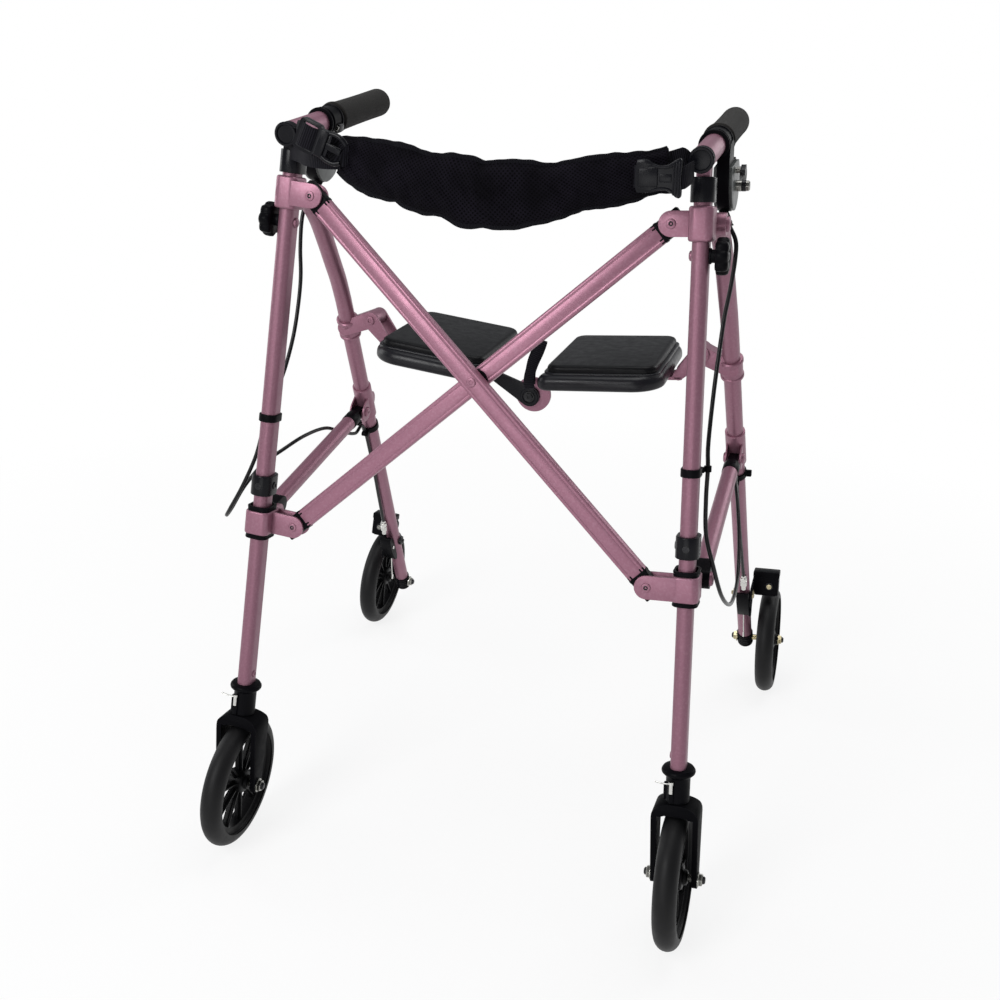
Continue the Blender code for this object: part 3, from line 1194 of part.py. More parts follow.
def make_brake_arm(side, frame):
    """Plate on the brake bolt, carrying the shoe block over the tyre."""
    pivot = (BRAKE_PIVOT_BACK, on_rear_leg(BRAKE_PIVOT_BACK))
    inner = REAR_OUTSET + REAR_TUBE_RADIUS + TOUCH_GAP
    outer = inner + BRAKE_ARM_THICK
    shoe_low = REAR_AXLE_LEVEL + WHEEL_RADIUS + SHOE_TYRE_GAP
    shoe_place = (SHOE_BACK, shoe_low + SHOE_HEIGHT / 2)
    arm = side_plate(side, frame, [taper_outline(pivot, BRAKE_ARM_RADIUS, shoe_place, BRAKE_ARM_END)],
                     inner, outer)
    low_x, high_x = sorted((side * (SHOE_INNER - SHOE_SINK), side * SHOE_OUTER))
    shoe = block((low_x, SHOE_BACK - SHOE_LENGTH / 2, shoe_low),
                 (high_x, SHOE_BACK + SHOE_LENGTH / 2, shoe_low + SHOE_HEIGHT), frame, RIM_TAPER, 1)
    bolt_place = frame @ Matrix.Translation((side * REAR_WHEEL_OUTSET, SHOE_BACK - SHOE_LENGTH / 2,
                                             shoe_low + SHOE_HEIGHT * SHOE_BOLT_RISE))
    bolt = rod(SHOE_BOLT_RADIUS, -SHOE_BOLT_HALF, SHOE_BOLT_HALF, bolt_place @ turn_about_x(math.pi / 2), 8)
    tail_end = (pivot[0] - BRAKE_TAIL[0], pivot[1] - BRAKE_TAIL[1])
    tail = side_plate(side, frame, [slot_outline(pivot, tail_end, BRAKE_TAIL_RADIUS)], inner, outer)
    combine(arm, [shoe, bolt, tail])
    return cut(arm, [side_rod(side, frame, HINGE_PIN_RADIUS + PIN_GAP, 0.0, CUT_FAR, *pivot, PIN_FACETS)])


def make_seat_base(side):
    """Moulded seat half, notched at its inner edge and hollowed below for the middle hinge."""
    frame = seat_hinge_frame(side)
    low_x, high_x = sorted((-side * SEAT_BASE_OUTER, -side * SEAT_BASE_INNER))
    half = SEAT_BASE_DEPTH / 2
    body = block((low_x, -half, SEAT_BASE_BOTTOM), (high_x, half, SEAT_BASE_TOP), frame, SEAT_BASE_EASE, 1)
    past = -side * (SEAT_BASE_INNER + CUT_REACH)
    notch_low, notch_high = sorted((-side * (SEAT_BASE_INNER - SEAT_NOTCH_DEPTH), past))
    front = SEAT_NOTCH_BACK - SEAT_NOTCH_WIDTH / 2
    back = SEAT_NOTCH_BACK + SEAT_NOTCH_WIDTH / 2
    notch = block((notch_low, front, 2 * SEAT_BASE_BOTTOM), (notch_high, back, -2 * SEAT_BASE_BOTTOM), frame)
    low_x, high_x = sorted((-side * (SEAT_BASE_INNER - SEAT_CHANNEL_LENGTH), past))
    channel = block((low_x, front + SEAT_CHANNEL_EASE, 2 * SEAT_BASE_BOTTOM),
                    (high_x, back - SEAT_CHANNEL_EASE, SEAT_BASE_TOP - SEAT_WEB), frame)
    cut(body, [notch, channel])
    if side == RIGHT:
        reach = SEAT_NOTCH_WIDTH / 2 + SEAT_WEB
        across_notch = seat_link_place() @ Matrix.Rotation(math.pi / 2, 4, "X")
        combine(body, [rod(SEAT_LINK_PIN_RADIUS, -reach, reach, across_notch, PIN_FACETS)])
    return body


def make_seat_pad(side):
    frame = seat_hinge_frame(side)
    low_x, high_x = sorted((-side * SEAT_PAD_OUTER, -side * SEAT_PAD_INNER))
    outline = rounded(high_x - low_x, SEAT_PAD_DEPTH, SEAT_PAD_CORNER, (low_x + high_x) / 2, 0.0)
    pad = plate([outline], SEAT_BASE_TOP + TOUCH_GAP, SEAT_PAD_TOP, frame)
    modifier = pad.modifiers.new("edge", "BEVEL")
    modifier.width = SEAT_PAD_EASE
    modifier.segments = 2
    modifier.limit_method = "ANGLE"
    modifier.angle_limit = math.radians(60.0)
    mesh = evaluated_mesh(pad)
    pad.modifiers.clear()
    pad.data = mesh
    return pad


def make_seat_arm(side):
    """Support arm: two ears on the knuckle and a bent bar under the seat half."""
    frame = seat_hinge_frame(side)
    knuckle = SEAT_KNUCKLE_LENGTH / 2 + TOUCH_GAP
    ears = []
    lift = frame @ Matrix.Rotation(math.pi / 2, 4, "X")
    under = SEAT_BASE_BOTTOM - TOUCH_GAP - SEAT_ARM_THICK
    for hand in (-1, 1):
        low, high = sorted((hand * knuckle, hand * (knuckle + SEAT_EAR_THICK)))
        outline = taper_outline((0.0, 0.0), SEAT_KNUCKLE_RADIUS, (-side * SEAT_EAR_REACH, under + SEAT_EAR_END),
                                SEAT_EAR_END)
        ears.append(plate([outline], low, high, lift))
    pin = rod(SEAT_PIN_RADIUS, -knuckle - SEAT_PIN_END, knuckle + SEAT_PIN_END, lift, 12)
    low_x, high_x = sorted((-side * SEAT_ARM_START, -side * (SEAT_BASE_INNER - SEAT_ARM_SHORT)))
    bar = block((low_x, -knuckle - SEAT_EAR_THICK, under), (high_x, knuckle + SEAT_EAR_THICK,
                under + SEAT_ARM_THICK), frame, SEAT_ARM_EASE, 1)
    return combine(bar, ears + [pin])


def seat_link_place():
    """Place of the middle hinge's pin, tilted with the right seat half."""
    place = (SEAT_LINK_PIVOT_IN, SEAT_NOTCH_BACK, SEAT_BASE_BOTTOM + SEAT_LINK_PIVOT_RISE)
    return seat_hinge_frame(RIGHT) @ Matrix.Translation(place)


def seat_link_frame():
    """Frame of the middle hinge, level, under the right seat half's inner edge."""
    return Matrix.Translation(seat_link_place().translation)


def seat_disc_place():
    return Vector((SEAT_DISC_LEFT, 0.0, TOP_HEIGHT - SEAT_HINGE_DROP - SEAT_DISC_DROP))


def make_seat_hinge_plate():
    """Two round hinge plates, side by side, that meet under the seat."""
    spot = seat_link_frame()
    centre = spot.inverted() @ seat_disc_place()
    lift = spot @ Matrix.Rotation(math.pi / 2, 4, "X")
    disc = plate([circle(SEAT_DISC_RADIUS, centre.x, centre.z, DISC_FACETS)], -SEAT_DISC_BACK,
                 SEAT_DISC_THICK - SEAT_DISC_BACK, lift)
    ring = circle(SEAT_DISC_RADIUS - SEAT_DISC_STEP, centre.x - SEAT_DISC_SHIFT, centre.z, DISC_FACETS, 0.3)
    second = plate([ring], -SEAT_DISC_BACK - SEAT_DISC_THICK, SEAT_DISC_LAP - SEAT_DISC_BACK, lift)
    return combine(disc, [second])


def make_seat_hinge_link():
    """Black link that joins the seat halves, with its bolt and pull strap."""
    spot = seat_link_frame()
    centre = spot.inverted() @ seat_disc_place() - Vector((SEAT_LINK_SHIFT[0], 0.0, SEAT_LINK_SHIFT[1]))
    lift = spot @ Matrix.Rotation(math.pi / 2, 4, "X")
    outline = taper_outline((centre.x, centre.z), SEAT_LINK_RADIUS, (0.0, 0.0), SEAT_LINK_END_RADIUS)
    link = plate([outline], TOUCH_GAP - SEAT_LINK_BACK, SEAT_LINK_FRONT, lift)
    bolt = rod(SEAT_BOLT_RADIUS, 0.0, SEAT_BOLT_FRONT, lift @ Matrix.Translation((centre.x, centre.z, 0.0)), 12)
    combine(link, [bolt])
    bore = rod(SEAT_LINK_PIN_RADIUS + PIN_GAP, -SEAT_NOTCH_WIDTH, SEAT_NOTCH_WIDTH, lift, PIN_FACETS)
    return cut(link, [bore])


def backrest_middle(t):
    """Middle line of the backrest, t from -1 at the right end to 1 at the left."""
    drop = BACKREST_SAG * (1 - abs(t) ** BACKREST_SAG_POWER)
    bow = BACKREST_BOW * (1 - t * t)
    middle = (BACKREST_LEFT_END + BACKREST_RIGHT_END) / 2
    half = (BACKREST_LEFT_END - BACKREST_RIGHT_END) / 2
    rise = BACKREST_RIGHT_RISE + (BACKREST_LEFT_RISE - BACKREST_RIGHT_RISE) * (t + 1) / 2
    return Vector((middle + t * half, -DEPTH_CENTRE - BACKREST_FORWARD - bow, TOP_HEIGHT + rise - drop))


def backrest_axes(t):
    """Directions along the pad, out of its front, and up its face."""
    ahead = (backrest_middle(t + 0.01) - backrest_middle(t - 0.01)).normalized()
    out = ahead.cross(Vector((0.0, 0.0, 1.0))).normalized()
    return ahead, out, out.cross(ahead).normalized()


def make_backrest_pad():
    """Crowned pad that hangs in a curve between the handles."""
    rings = 17
    around = 14
    work = bmesh.new()
    loops = []
    for index in range(rings):
        t = -1 + 2 * index / (rings - 1)
        centre = backrest_middle(t)
        out, rise = backrest_axes(t)[1:]
        swell = (1 - abs(t)) ** BACKREST_SWELL_POWER
        height = BACKREST_HEIGHT_ENDS + (BACKREST_HEIGHT_MIDDLE - BACKREST_HEIGHT_ENDS) * swell
        thick = BACKREST_THICK * (BACKREST_END_SHARE + (1 - BACKREST_END_SHARE) * (1 - t * t))
        loop = []
        for step in range(around):
            angle = 2 * math.pi * step / around
            cos, sin = math.cos(angle), math.sin(angle)
            wide = math.copysign(abs(cos) ** BACKREST_ROUNDNESS, cos) * height / 2
            deep = math.copysign(abs(sin) ** BACKREST_ROUNDNESS, sin) * thick / 2
            loop.append(work.verts.new(centre + rise * wide + out * deep))
        loops.append(loop)
    for first, second in zip(loops, loops[1:]):
        for step in range(around):
            after = (step + 1) % around
            work.faces.new((first[step], first[after], second[after], second[step]))
    work.faces.new(loops[0])
    work.faces.new(loops[-1])
    mesh = bpy.data.meshes.new("backrest")
    work.to_mesh(mesh)
    work.free()
    return solid_object(finish_mesh(mesh, Matrix.Identity(4)))


def make_backrest_strap(side, frame):
    """Webbing loop round the handle's front cap, with the buckle and the run to the pad."""
    along = handle_frame(frame)
    front = HANDLE_FRONT - TOUCH_GAP
    inner = CAP_SPIGOT_RADIUS + TOUCH_GAP
    middle = front - (CAP_LENGTH - CAP_FLANGE_THICK) / 2
    ring = turned([(inner, middle + STRAP_WIDTH / 2), (inner + STRAP_THICK, middle + STRAP_WIDTH / 2),
                   (inner + STRAP_THICK, middle - STRAP_WIDTH / 2), (inner, middle - STRAP_WIDTH / 2),
                   (inner, middle + STRAP_WIDTH / 2)], along)
    ahead, out, rise = backrest_axes(side)
    outward = ahead * side
    matrix = Matrix((outward, out * side, rise)).transposed().to_4x4()
    length = BUCKLE_LENGTHS[side]
    seat = backrest_middle(side) + outward * (TOUCH_GAP + length / 2)
    buckle = block((-length / 2, -BUCKLE_THICK / 2, -BUCKLE_WIDTH / 2),
                   (length / 2, BUCKLE_THICK / 2, BUCKLE_WIDTH / 2), Matrix.Translation(seat) @ matrix,
                   BUCKLE_EASE, 1)
    start = along @ Vector((-side * (inner + STRAP_THICK / 2), BAND_BACK, middle))
    run = seat - start
    heading = run.normalized()
    tall = (Vector((0.0, 0.0, 1.0)) - heading * heading.z).normalized()
    lie = Matrix((heading, tall.cross(heading), tall)).transposed().to_4x4()
    band = block((-BAND_SINK, -STRAP_THICK / 2, -STRAP_BAND / 2), (run.length, STRAP_THICK / 2, STRAP_BAND / 2),
                 Matrix.Translation(start) @ lie)
    combine(ring, [buckle, band])
    return cut(ring, [rod(inner, front - CAP_LENGTH - CUT_REACH, front + CUT_REACH, along)])


def cable_route(side):
    """Points of the brake cable in the side frame: outward, rearward, up the leg."""
    points = CABLE_TOP + CABLE_BOW[side]
    route = [Vector((side * out, back, level)) for out, back, level in points]
    heading = leg_direction()
    front = Vector((heading.y, -heading.x)) * (REAR_TUBE_RADIUS + CABLE_RADIUS + CABLE_LEG_GAP)
    for step in range(CABLE_RUN_STEPS + 1):
        share = step / CABLE_RUN_STEPS
        back = CABLE_RUN_START + (CABLE_RUN_END - CABLE_RUN_START) * share
        out = REAR_OUTSET + CABLE_RUN_OUTSET * share
        route.append(Vector((side * out, back + front.x, on_rear_leg(back) + front.y)))
    return route


def make_brake_cable(side, frame):
    """Cable from the hand brake, through the leg's clip, in a slack bow, and down the rear leg."""
    path = smooth_path(cable_route(side), 2)
    cable = tube_along(path, CABLE_RADIUS, frame, 2)
    last = path[-1] - path[-2]
    adjuster = tube_along([path[-1] - last.normalized() * CABLE_ADJUSTER_LENGTH, path[-1] + last * 0.2],
                          CABLE_ADJUSTER_RADIUS, frame, 2)
    clip_width = LEG_WIDTH + 2 * (TOUCH_GAP + CLIP_WALL)
    clip_depth = LEG_DEPTH + 2 * (TOUCH_GAP + CLIP_WALL)
    low, high = CLIP_PLACE - CLIP_HEIGHT / 2, CLIP_PLACE + CLIP_HEIGHT / 2
    clip = plate([rounded(clip_width, clip_depth, LEG_CORNER + CLIP_WALL)], low, high, frame)
    hold = CABLE_TOP[-1]
    eye = plate([slot_outline((side * LEG_WIDTH / 2, LEG_DEPTH / 2), (side * hold[0], hold[1]),
                              CABLE_RADIUS + CLIP_WALL, 4)], low, high, frame)
    combine(cable, [adjuster, clip, eye])
    return cut(cable, [leg_bore(TOUCH_GAP, TOUCH_GAP, low - CUT_REACH, high + CUT_REACH, frame)])


def build():
    front = front_frame()
    middle_level = -TOP_PIVOT_DROP - BAR_TOP_ARM * math.sin(BAR_ANGLE)
    frames = {side: side_frame(side) for side in (LEFT, RIGHT)}
    pivots = {}
    for bars_side in (RIGHT, LEFT):
        pivots[bars_side] = pivot_empty("bar_pivot_" + SIDE_NAMES[bars_side], bar_frame(bars_side))
        name_part(make_cross_bar(bars_side), "cross_bar_" + SIDE_NAMES[bars_side], PINK, pivots[bars_side])
    centre = pivot_empty("cross_centre", front @ Matrix.Translation((0.0, 0.0, middle_level)))
    name_part(make_cross_rivet(), "cross_bar_rivet", BLACK, centre)
    for side in (LEFT, RIGHT):
        build_side(side, frames[side])
    link = pivot_empty("seat_link_pivot", seat_link_frame())
    name_part(make_seat_hinge_plate(), "seat_hinge_plate", PINK, link)
    name_part(make_seat_hinge_link(), "seat_hinge_link", BLACK, link)
    whole = pivot_empty("backrest_place", Matrix.Identity(4))
    name_part(make_backrest_pad(), "backrest_pad", CLOTH, whole)


def build_side(side, frame):
    label = "_" + SIDE_NAMES[side]
    leg = pivot_empty("leg" + label, frame)
    name_part(make_front_leg(side, frame), "front_leg" + label, PINK, leg)
    name_part(make_top_collar(side, frame), "top_collar" + label, PINK, leg)
    name_part(make_handle_bushing(side, frame), "handle_bushing" + label, BLACK, leg)
    name_part(make_stop_sleeve(side, frame), "stop_sleeve" + label, BLACK, leg)
    name_part(make_caster_collar(side, frame), "caster_collar" + label, BLACK, leg)
    slide = pivot_empty("slide" + label, frame @ Matrix.Translation((0.0, 0.0, -COLLAR_DROP)))
    name_part(make_slide_collar(side, frame), "slide_collar" + label, PINK, slide)
    knob = pivot_empty("knob" + label, across(frame, 0.0, KNOB_PLACE))
    name_part(make_height_knob(side, frame), "height_knob" + label, BLACK, knob)

    handle = pivot_empty("handle" + label, handle_frame(frame))
    name_part(make_handle_tube(side, frame), "handle_tube" + label, PINK, handle)
    name_part(make_handle_cap(side, frame), "handle_cap" + label, BLACK, handle)
    name_part(make_grip(side, frame), "grip" + label, FOAM, handle)
    name_part(make_brake_housing(side, frame), "brake_housing" + label, GREY, handle)
    lever = pivot_empty("lever" + label, lever_pivot(frame))
    name_part(make_brake_lever(side, frame), "brake_lever" + label, BLACK, lever)
    name_part(make_backrest_strap(side, frame), "backrest_strap" + label, BLACK, handle)

    swivel = pivot_empty("swivel" + label, frame @ Matrix.Translation((0.0, 0.0, CASTER_SLEEVE_BOTTOM)))
    name_part(make_caster_fork(side, frame), "caster_fork" + label, BLACK, swivel)
    wheel = wheel_frame(side, frame, 0.0, CASTER_TRAIL, caster_axle_level())
    axle = pivot_empty("caster_axle_place" + label, wheel)
    nut_reach = NUT_HEIGHT + AXLE_END + TOUCH_GAP
    reach = FORK_HALF_GAP + FORK_ARM_THICK + nut_reach
    name_part(make_axle(wheel, -reach, reach), "caster_axle" + label, STEEL, axle)
    name_part(make_wheel(wheel), "caster_wheel" + label, BLACK, axle)
    name_part(make_tyre(wheel), "caster_tyre" + label, RUBBER, axle)

    rear = pivot_empty("rear_leg_pivot" + label, across(frame, REAR_HINGE_BACK, 0.0))
    name_part(make_rear_leg(side, frame), "rear_leg" + label, PINK, rear)
    link = pivot_empty("link_pivot" + label, across(frame, LINK_COLLAR_BACK, -COLLAR_DROP))
    name_part(make_side_link(side, frame), "side_link" + label, PINK, link)
    wheel = wheel_frame(side, frame, REAR_WHEEL_OUTSET, REAR_AXLE_BACK, REAR_AXLE_LEVEL)
    axle = pivot_empty("rear_axle_place" + label, wheel)
    inner_reach = WHEEL_OUTSET + REAR_PLUG_RADIUS + nut_reach
    outer_reach = HUB_HALF_WIDTH + nut_reach
    low, high = sorted((-side * inner_reach, side * outer_reach))
    name_part(make_axle(wheel, low, high), "rear_axle" + label, STEEL, axle)
    name_part(make_wheel(wheel), "rear_wheel" + label, BLACK, axle)
    name_part(make_tyre(wheel), "rear_tyre" + label, RUBBER, axle)
    arm = pivot_empty("brake_pivot" + label, across(frame, BRAKE_PIVOT_BACK, on_rear_leg(BRAKE_PIVOT_BACK)))
    name_part(make_brake_arm(side, frame), "brake_arm" + label, BLACK, arm)
    name_part(make_brake_cable(side, frame), "brake_cable" + label, BLACK, leg)

    hinge = pivot_empty("seat_hinge" + label, seat_hinge_frame(side))
    name_part(make_seat_base(side), "seat_base" + label, BLACK, hinge)
    name_part(make_seat_pad(side), "seat_pad" + label, BLACK, hinge)
    name_part(make_seat_arm(side), "seat_arm" + label, PINK, hinge)


build()
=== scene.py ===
"""Looks of the folding rollator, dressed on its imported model.

Metres, +Z up, the front of the frame faces -Y, and the user's left is +X. The sizes are the ones the
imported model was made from, so that each piece sits where its solid is.
"""
import math

import bmesh
import bpy
from mathutils import Matrix, Vector, noise


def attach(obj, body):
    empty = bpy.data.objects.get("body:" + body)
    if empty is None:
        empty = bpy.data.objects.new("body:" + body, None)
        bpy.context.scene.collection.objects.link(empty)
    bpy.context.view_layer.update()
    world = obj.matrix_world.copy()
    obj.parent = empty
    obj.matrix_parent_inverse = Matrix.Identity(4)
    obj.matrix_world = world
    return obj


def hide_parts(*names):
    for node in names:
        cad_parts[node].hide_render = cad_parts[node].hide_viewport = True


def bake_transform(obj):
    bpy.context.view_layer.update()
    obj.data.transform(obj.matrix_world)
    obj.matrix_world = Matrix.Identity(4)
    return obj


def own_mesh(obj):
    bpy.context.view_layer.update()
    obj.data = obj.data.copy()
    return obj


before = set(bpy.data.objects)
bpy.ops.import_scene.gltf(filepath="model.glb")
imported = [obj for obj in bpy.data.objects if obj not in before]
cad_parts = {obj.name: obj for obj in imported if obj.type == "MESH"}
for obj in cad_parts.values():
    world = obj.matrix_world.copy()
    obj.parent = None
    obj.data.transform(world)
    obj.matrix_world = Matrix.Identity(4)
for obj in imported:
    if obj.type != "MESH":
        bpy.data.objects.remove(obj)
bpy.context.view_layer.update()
GUIDES = bpy.context.scene.collection

# Clearances
WELD = 0.000005
TOUCH_GAP = 0.0003
CUT_REACH = 0.010
PIN_SINK = 0.001
COLLAR_SIDE_GAP = 0.0024
COLLAR_DEPTH_GAP = 0.0008

# Cross of bars
BAR_TOP_ARM = 0.245
BAR_LOW_ARM = 0.266
BAR_ANGLE = math.radians(43.0)
BAR_WIDTH = 0.0207
BAR_THICK = 0.0125
BAR_PLUG_REACH = 0.0125
BAR_PLUG_STEP = 0.002
BAR_PLUG_CORNER = 0.0012
BAR_PLUG_EASE = 0.0004
BAR_SPACER = 0.003
SPACER_RADIUS = 0.0125
BARS_MIDDLE_FORWARD = -0.0008
TOP_PIVOT_OFFSET = 0.0287
LOW_PIVOT_OFFSET = 0.0379
PIVOT_PIN_RADIUS = 0.0036
RIVET_HEAD_RADIUS = 0.0048
RIVET_HEAD_HEIGHT = 0.0012

# Attitude of the side frames
LEG_LEAN = math.radians(8.0)
SIDE_YAW = math.radians(1.34)

# Front legs
LEG_WIDTH = 0.016
LEG_DEPTH = 0.024
LEG_CORNER = 0.005
LEG_WALL = 0.0013
LEG_TOP = 0.030
LEG_LENGTH_BELOW = 0.5415
LEG_BOTTOM = -LEG_LENGTH_BELOW

# Collars
COLLAR_WALL = 0.0032
COLLAR_HEIGHT = 0.032
SLIDE_COLLAR_HEIGHT = 0.026
BUSH_HEIGHT = 0.005
BUSH_STEP = 0.001
EAR_THICK = 0.003
EAR_ROOT = 0.003
EAR_SINK = 0.0008
EAR_RADIUS = 0.012
REAR_EAR_THICK = 0.004
REAR_EAR_RADIUS = 0.0115
REAR_EAR_ROOT = 0.010
HINGE_PIN_RADIUS = 0.004
HINGE_HEAD_RADIUS = 0.0075
HINGE_HEAD_HEIGHT = 0.003
HINGE_NUT_HEIGHT = 0.004
STOP_PLACE = -0.307
STOP_HEIGHT = 0.022
STOP_WALL = 0.0035
BUSHING_LOW = 0.019
BUSHING_HIGH = 0.0415
BUSHING_WALL = 0.003
KNOB_PLACE = -0.0290
KNOB_RADIUS = 0.0175
KNOB_LOBES = 8
KNOB_START = 0.0105
KNOB_THICK = 0.016
KNOB_WAIST = 0.86
KNOB_BACK = 0.004
KNOB_BOSS_RADIUS = 0.0062

# Handles
HANDLE_TUBE_WIDTH = 0.0128
HANDLE_TUBE_DEPTH = 0.0208
HANDLE_TUBE_BOTTOM = -0.205
HANDLE_RISE = math.radians(12.5)
HANDLE_LEVEL = 0.0605
HANDLE_RADIUS = 0.0112
HANDLE_FRONT = -0.0142
GRIP_START = 0.088
GRIP_END = 0.2265
GRIP_RADIUS = 0.0152
GRIP_LIP = 0.0012
GRIP_LIP_LENGTH = 0.008
CAP_SPIGOT_RADIUS = 0.0090
CAP_FLANGE_RADIUS = 0.0118
CAP_LENGTH = 0.0115
CAP_FLANGE_THICK = 0.003
CLAMP_START = 0.0625
CLAMP_END = 0.0850
CLAMP_RADIUS = 0.0150

# Hand brake
BRAKE_BODY_AXIAL = 0.078
BRAKE_BODY_FRONT = 0.0275
BRAKE_BODY_REAR = 0.034
BRAKE_BODY_DROP = 0.066
BRAKE_BODY_INNER = 0.0005
BRAKE_BODY_OUTER = 0.0185
BRAKE_GRIP_GAP = 0.0015
BRAKE_BOSS_REAR = 0.002
LEVER_PIVOT_REAR = 0.014
LEVER_PIVOT_DROP = 0.033
LEVER_ROD_RADIUS = 0.0045
LEVER_REACH = 0.118
LEVER_BOSS_RADIUS = 0.0065
LEVER_BOSS_EXTRA = 0.0005
LEVER_LINE = ((0.0, 0.0), (0.020, 0.006), (0.045, 0.013), (0.075, 0.019))
LEVER_END_DROP = 0.020
LEVER_TIP_LENGTH = 0.022
LEVER_TIP_DROP = 0.0205
LEVER_TIP_RADIUS = 0.0078

# Rear legs and links
REAR_OUTSET = 0.0088
REAR_TUBE_RADIUS = 0.0098
REAR_HINGE_BACK = 0.033
REAR_BEND_POINTS = ((0.0620, -0.0085), (0.0920, -0.0260), (0.120, -0.050), (0.147, -0.0750), (0.170, -0.0965))
REAR_STRAIGHT_START = (0.192, -0.121)
REAR_AXLE_BACK = 0.5666
REAR_PLUG_RADIUS = 0.0114
REAR_PLUG_LENGTH = 0.026
REAR_BOSS_WALL = 0.001
LINK_RADIUS = 0.0092
LINK_COLLAR_BACK = 0.034
LINK_BRACKET_BACK = 0.290
LINK_BRACKET_UNDER = 0.0278
LINK_CAP_LENGTH = 0.030
LINK_CAP_RADIUS = 0.0105
LINK_NECK = 0.002
LINK_NECK_EASE = 0.0002
TONGUE_THICK = 0.0064
TONGUE_SIDE_GAP = 0.0023
TONGUE_RADIUS = 0.0034
BRACKET_PLATE = 0.0040
BRACKET_RADIUS = 0.0130
BRACKET_LENGTH = 0.054
BRACKET_WRAP = 0.0021
BRACKET_MIDDLE = 0.012
BRACKET_HEAD_RADIUS = 0.0065
BRACKET_HEAD_HEIGHT = 0.003

# Wheels
WHEEL_RADIUS = 0.0762
TYRE_SECTION = 0.0125
TYRE_DEPTH = 0.014
RIM_DEPTH = 0.0075
RIM_HALF_WIDTH = 0.0085
HUB_RADIUS = 0.0135
HUB_HALF_WIDTH = 0.0140
SPOKE_PAIRS = 5
SPOKE_WIDTH = 0.0065
SPOKE_THICK = 0.009
SPOKE_SINK = 0.002
AXLE_RADIUS = 0.004
NUT_RADIUS = 0.0068
NUT_HEIGHT = 0.006
AXLE_END = 0.002
WHEEL_OUTSET = 0.0335
CASTER_TRAIL = 0.003

# Casters
CASTER_FLANGE_RADIUS = 0.0175
CASTER_FLANGE_HEIGHT = 0.007
CASTER_SLEEVE_RADIUS = 0.0125
CASTER_SLEEVE_LENGTH = 0.037
CASTER_SLEEVE_BOTTOM = LEG_BOTTOM - CASTER_SLEEVE_LENGTH
CASTER_NECK = 0.003
STEM_RADIUS = 0.0042
FORK_CROWN_THICK = 0.0115
FORK_HALF_GAP = 0.0188
FORK_ARM_THICK = 0.0056
FORK_TOP_DEPTH = 0.034
FORK_END_RADIUS = 0.0095
TYRE_ROOM = 0.0012
CROWN_TYRE_GAP = 0.0007
CASTER_DROP = TOUCH_GAP + FORK_CROWN_THICK + CROWN_TYRE_GAP + WHEEL_RADIUS - CASTER_SLEEVE_BOTTOM

# Rear brake
BRAKE_PIVOT_BACK = 0.497
SHOE_BACK = 0.5380
SHOE_HEIGHT = 0.034
SHOE_LENGTH = 0.030
SHOE_INNER = 0.026
SHOE_OUTER = 0.055
SHOE_TYRE_GAP = 0.0030
SHOE_SINK = 0.006
SHOE_BOLT_RISE = 0.4
BRAKE_ARM_THICK = 0.003
BRAKE_ARM_RADIUS = 0.009
BRAKE_ARM_END = 0.007
BRAKE_TAIL = (0.004, 0.026)
BRAKE_TAIL_RADIUS = 0.006
BRAKE_BOLT_INNER = 0.006
BRAKE_BOLT_OUTER = 0.0065

# Seat
SEAT_HINGE_HALF = 0.1975
SEAT_HINGE_DROP = 0.1690
SEAT_HINGE_BACK = 0.194
SEAT_DIP = math.radians(5.5)
SEAT_KNUCKLE_RADIUS = 0.0100
SEAT_KNUCKLE_LENGTH = 0.024
SEAT_CLAMP_BACK = 0.004
SEAT_CLAMP_WALL = 0.0035
SEAT_CLAMP_HALF = 0.014
SEAT_BASE_OUTER = 0.031
SEAT_BASE_INNER = 0.1705
SEAT_BASE_DEPTH = 0.186
SEAT_BASE_TOP = -0.0075
SEAT_BASE_BOTTOM = -0.0240
SEAT_PAD_OUTER = 0.0455
SEAT_PAD_INNER = 0.1620
SEAT_PAD_DEPTH = 0.158
SEAT_PAD_TOP = 0.0015
SEAT_PAD_CORNER = 0.014
SEAT_ARM_THICK = 0.005
SEAT_ARM_START = 0.020
SEAT_ARM_SHORT = 0.030
SEAT_EAR_REACH = 0.024
SEAT_EAR_END = 0.006
SEAT_EAR_THICK = 0.0035
SEAT_DISC_RADIUS = 0.0200
SEAT_DISC_DROP = 0.056
SEAT_DISC_LEFT = 0.0185
SEAT_DISC_THICK = 0.004
SEAT_DISC_BACK = 0.006
SEAT_DISC_LAP = 0.001
SEAT_DISC_STEP = 0.002
SEAT_DISC_SHIFT = 0.004
SEAT_LINK_PIVOT_IN = 0.1640
SEAT_LINK_PIVOT_RISE = 0.006
SEAT_LINK_PIN_RADIUS = 0.0025
SEAT_LINK_END_RADIUS = 0.006
SEAT_LINK_RADIUS = 0.0125
SEAT_LINK_SHIFT = (0.0035, 0.0015)
SEAT_LINK_BACK = 0.002
SEAT_LINK_FRONT = 0.003
SEAT_BOLT_RADIUS = 0.005
SEAT_BOLT_FRONT = 0.006
SEAT_NOTCH_DEPTH = 0.018
SEAT_NOTCH_WIDTH = 0.034
SEAT_NOTCH_BACK = -0.056
SEAT_CHANNEL_LENGTH = 0.090
SEAT_CHANNEL_EASE = 0.001
SEAT_WEB = 0.003

# Backrest
BACKREST_RIGHT_END = -0.138
BACKREST_LEFT_END = 0.168
BACKREST_RIGHT_RISE = 0.0435
BACKREST_LEFT_RISE = 0.0485
BACKREST_SAG = 0.0265
BACKREST_SAG_POWER = 1.35
BACKREST_BOW = 0.0220
BACKREST_HEIGHT_MIDDLE = 0.062
BACKREST_HEIGHT_ENDS = 0.038
BACKREST_THICK = 0.020
BACKREST_FORWARD = 0.0317
BACKREST_END_SHARE = 0.72
STRAP_WIDTH = 0.0079

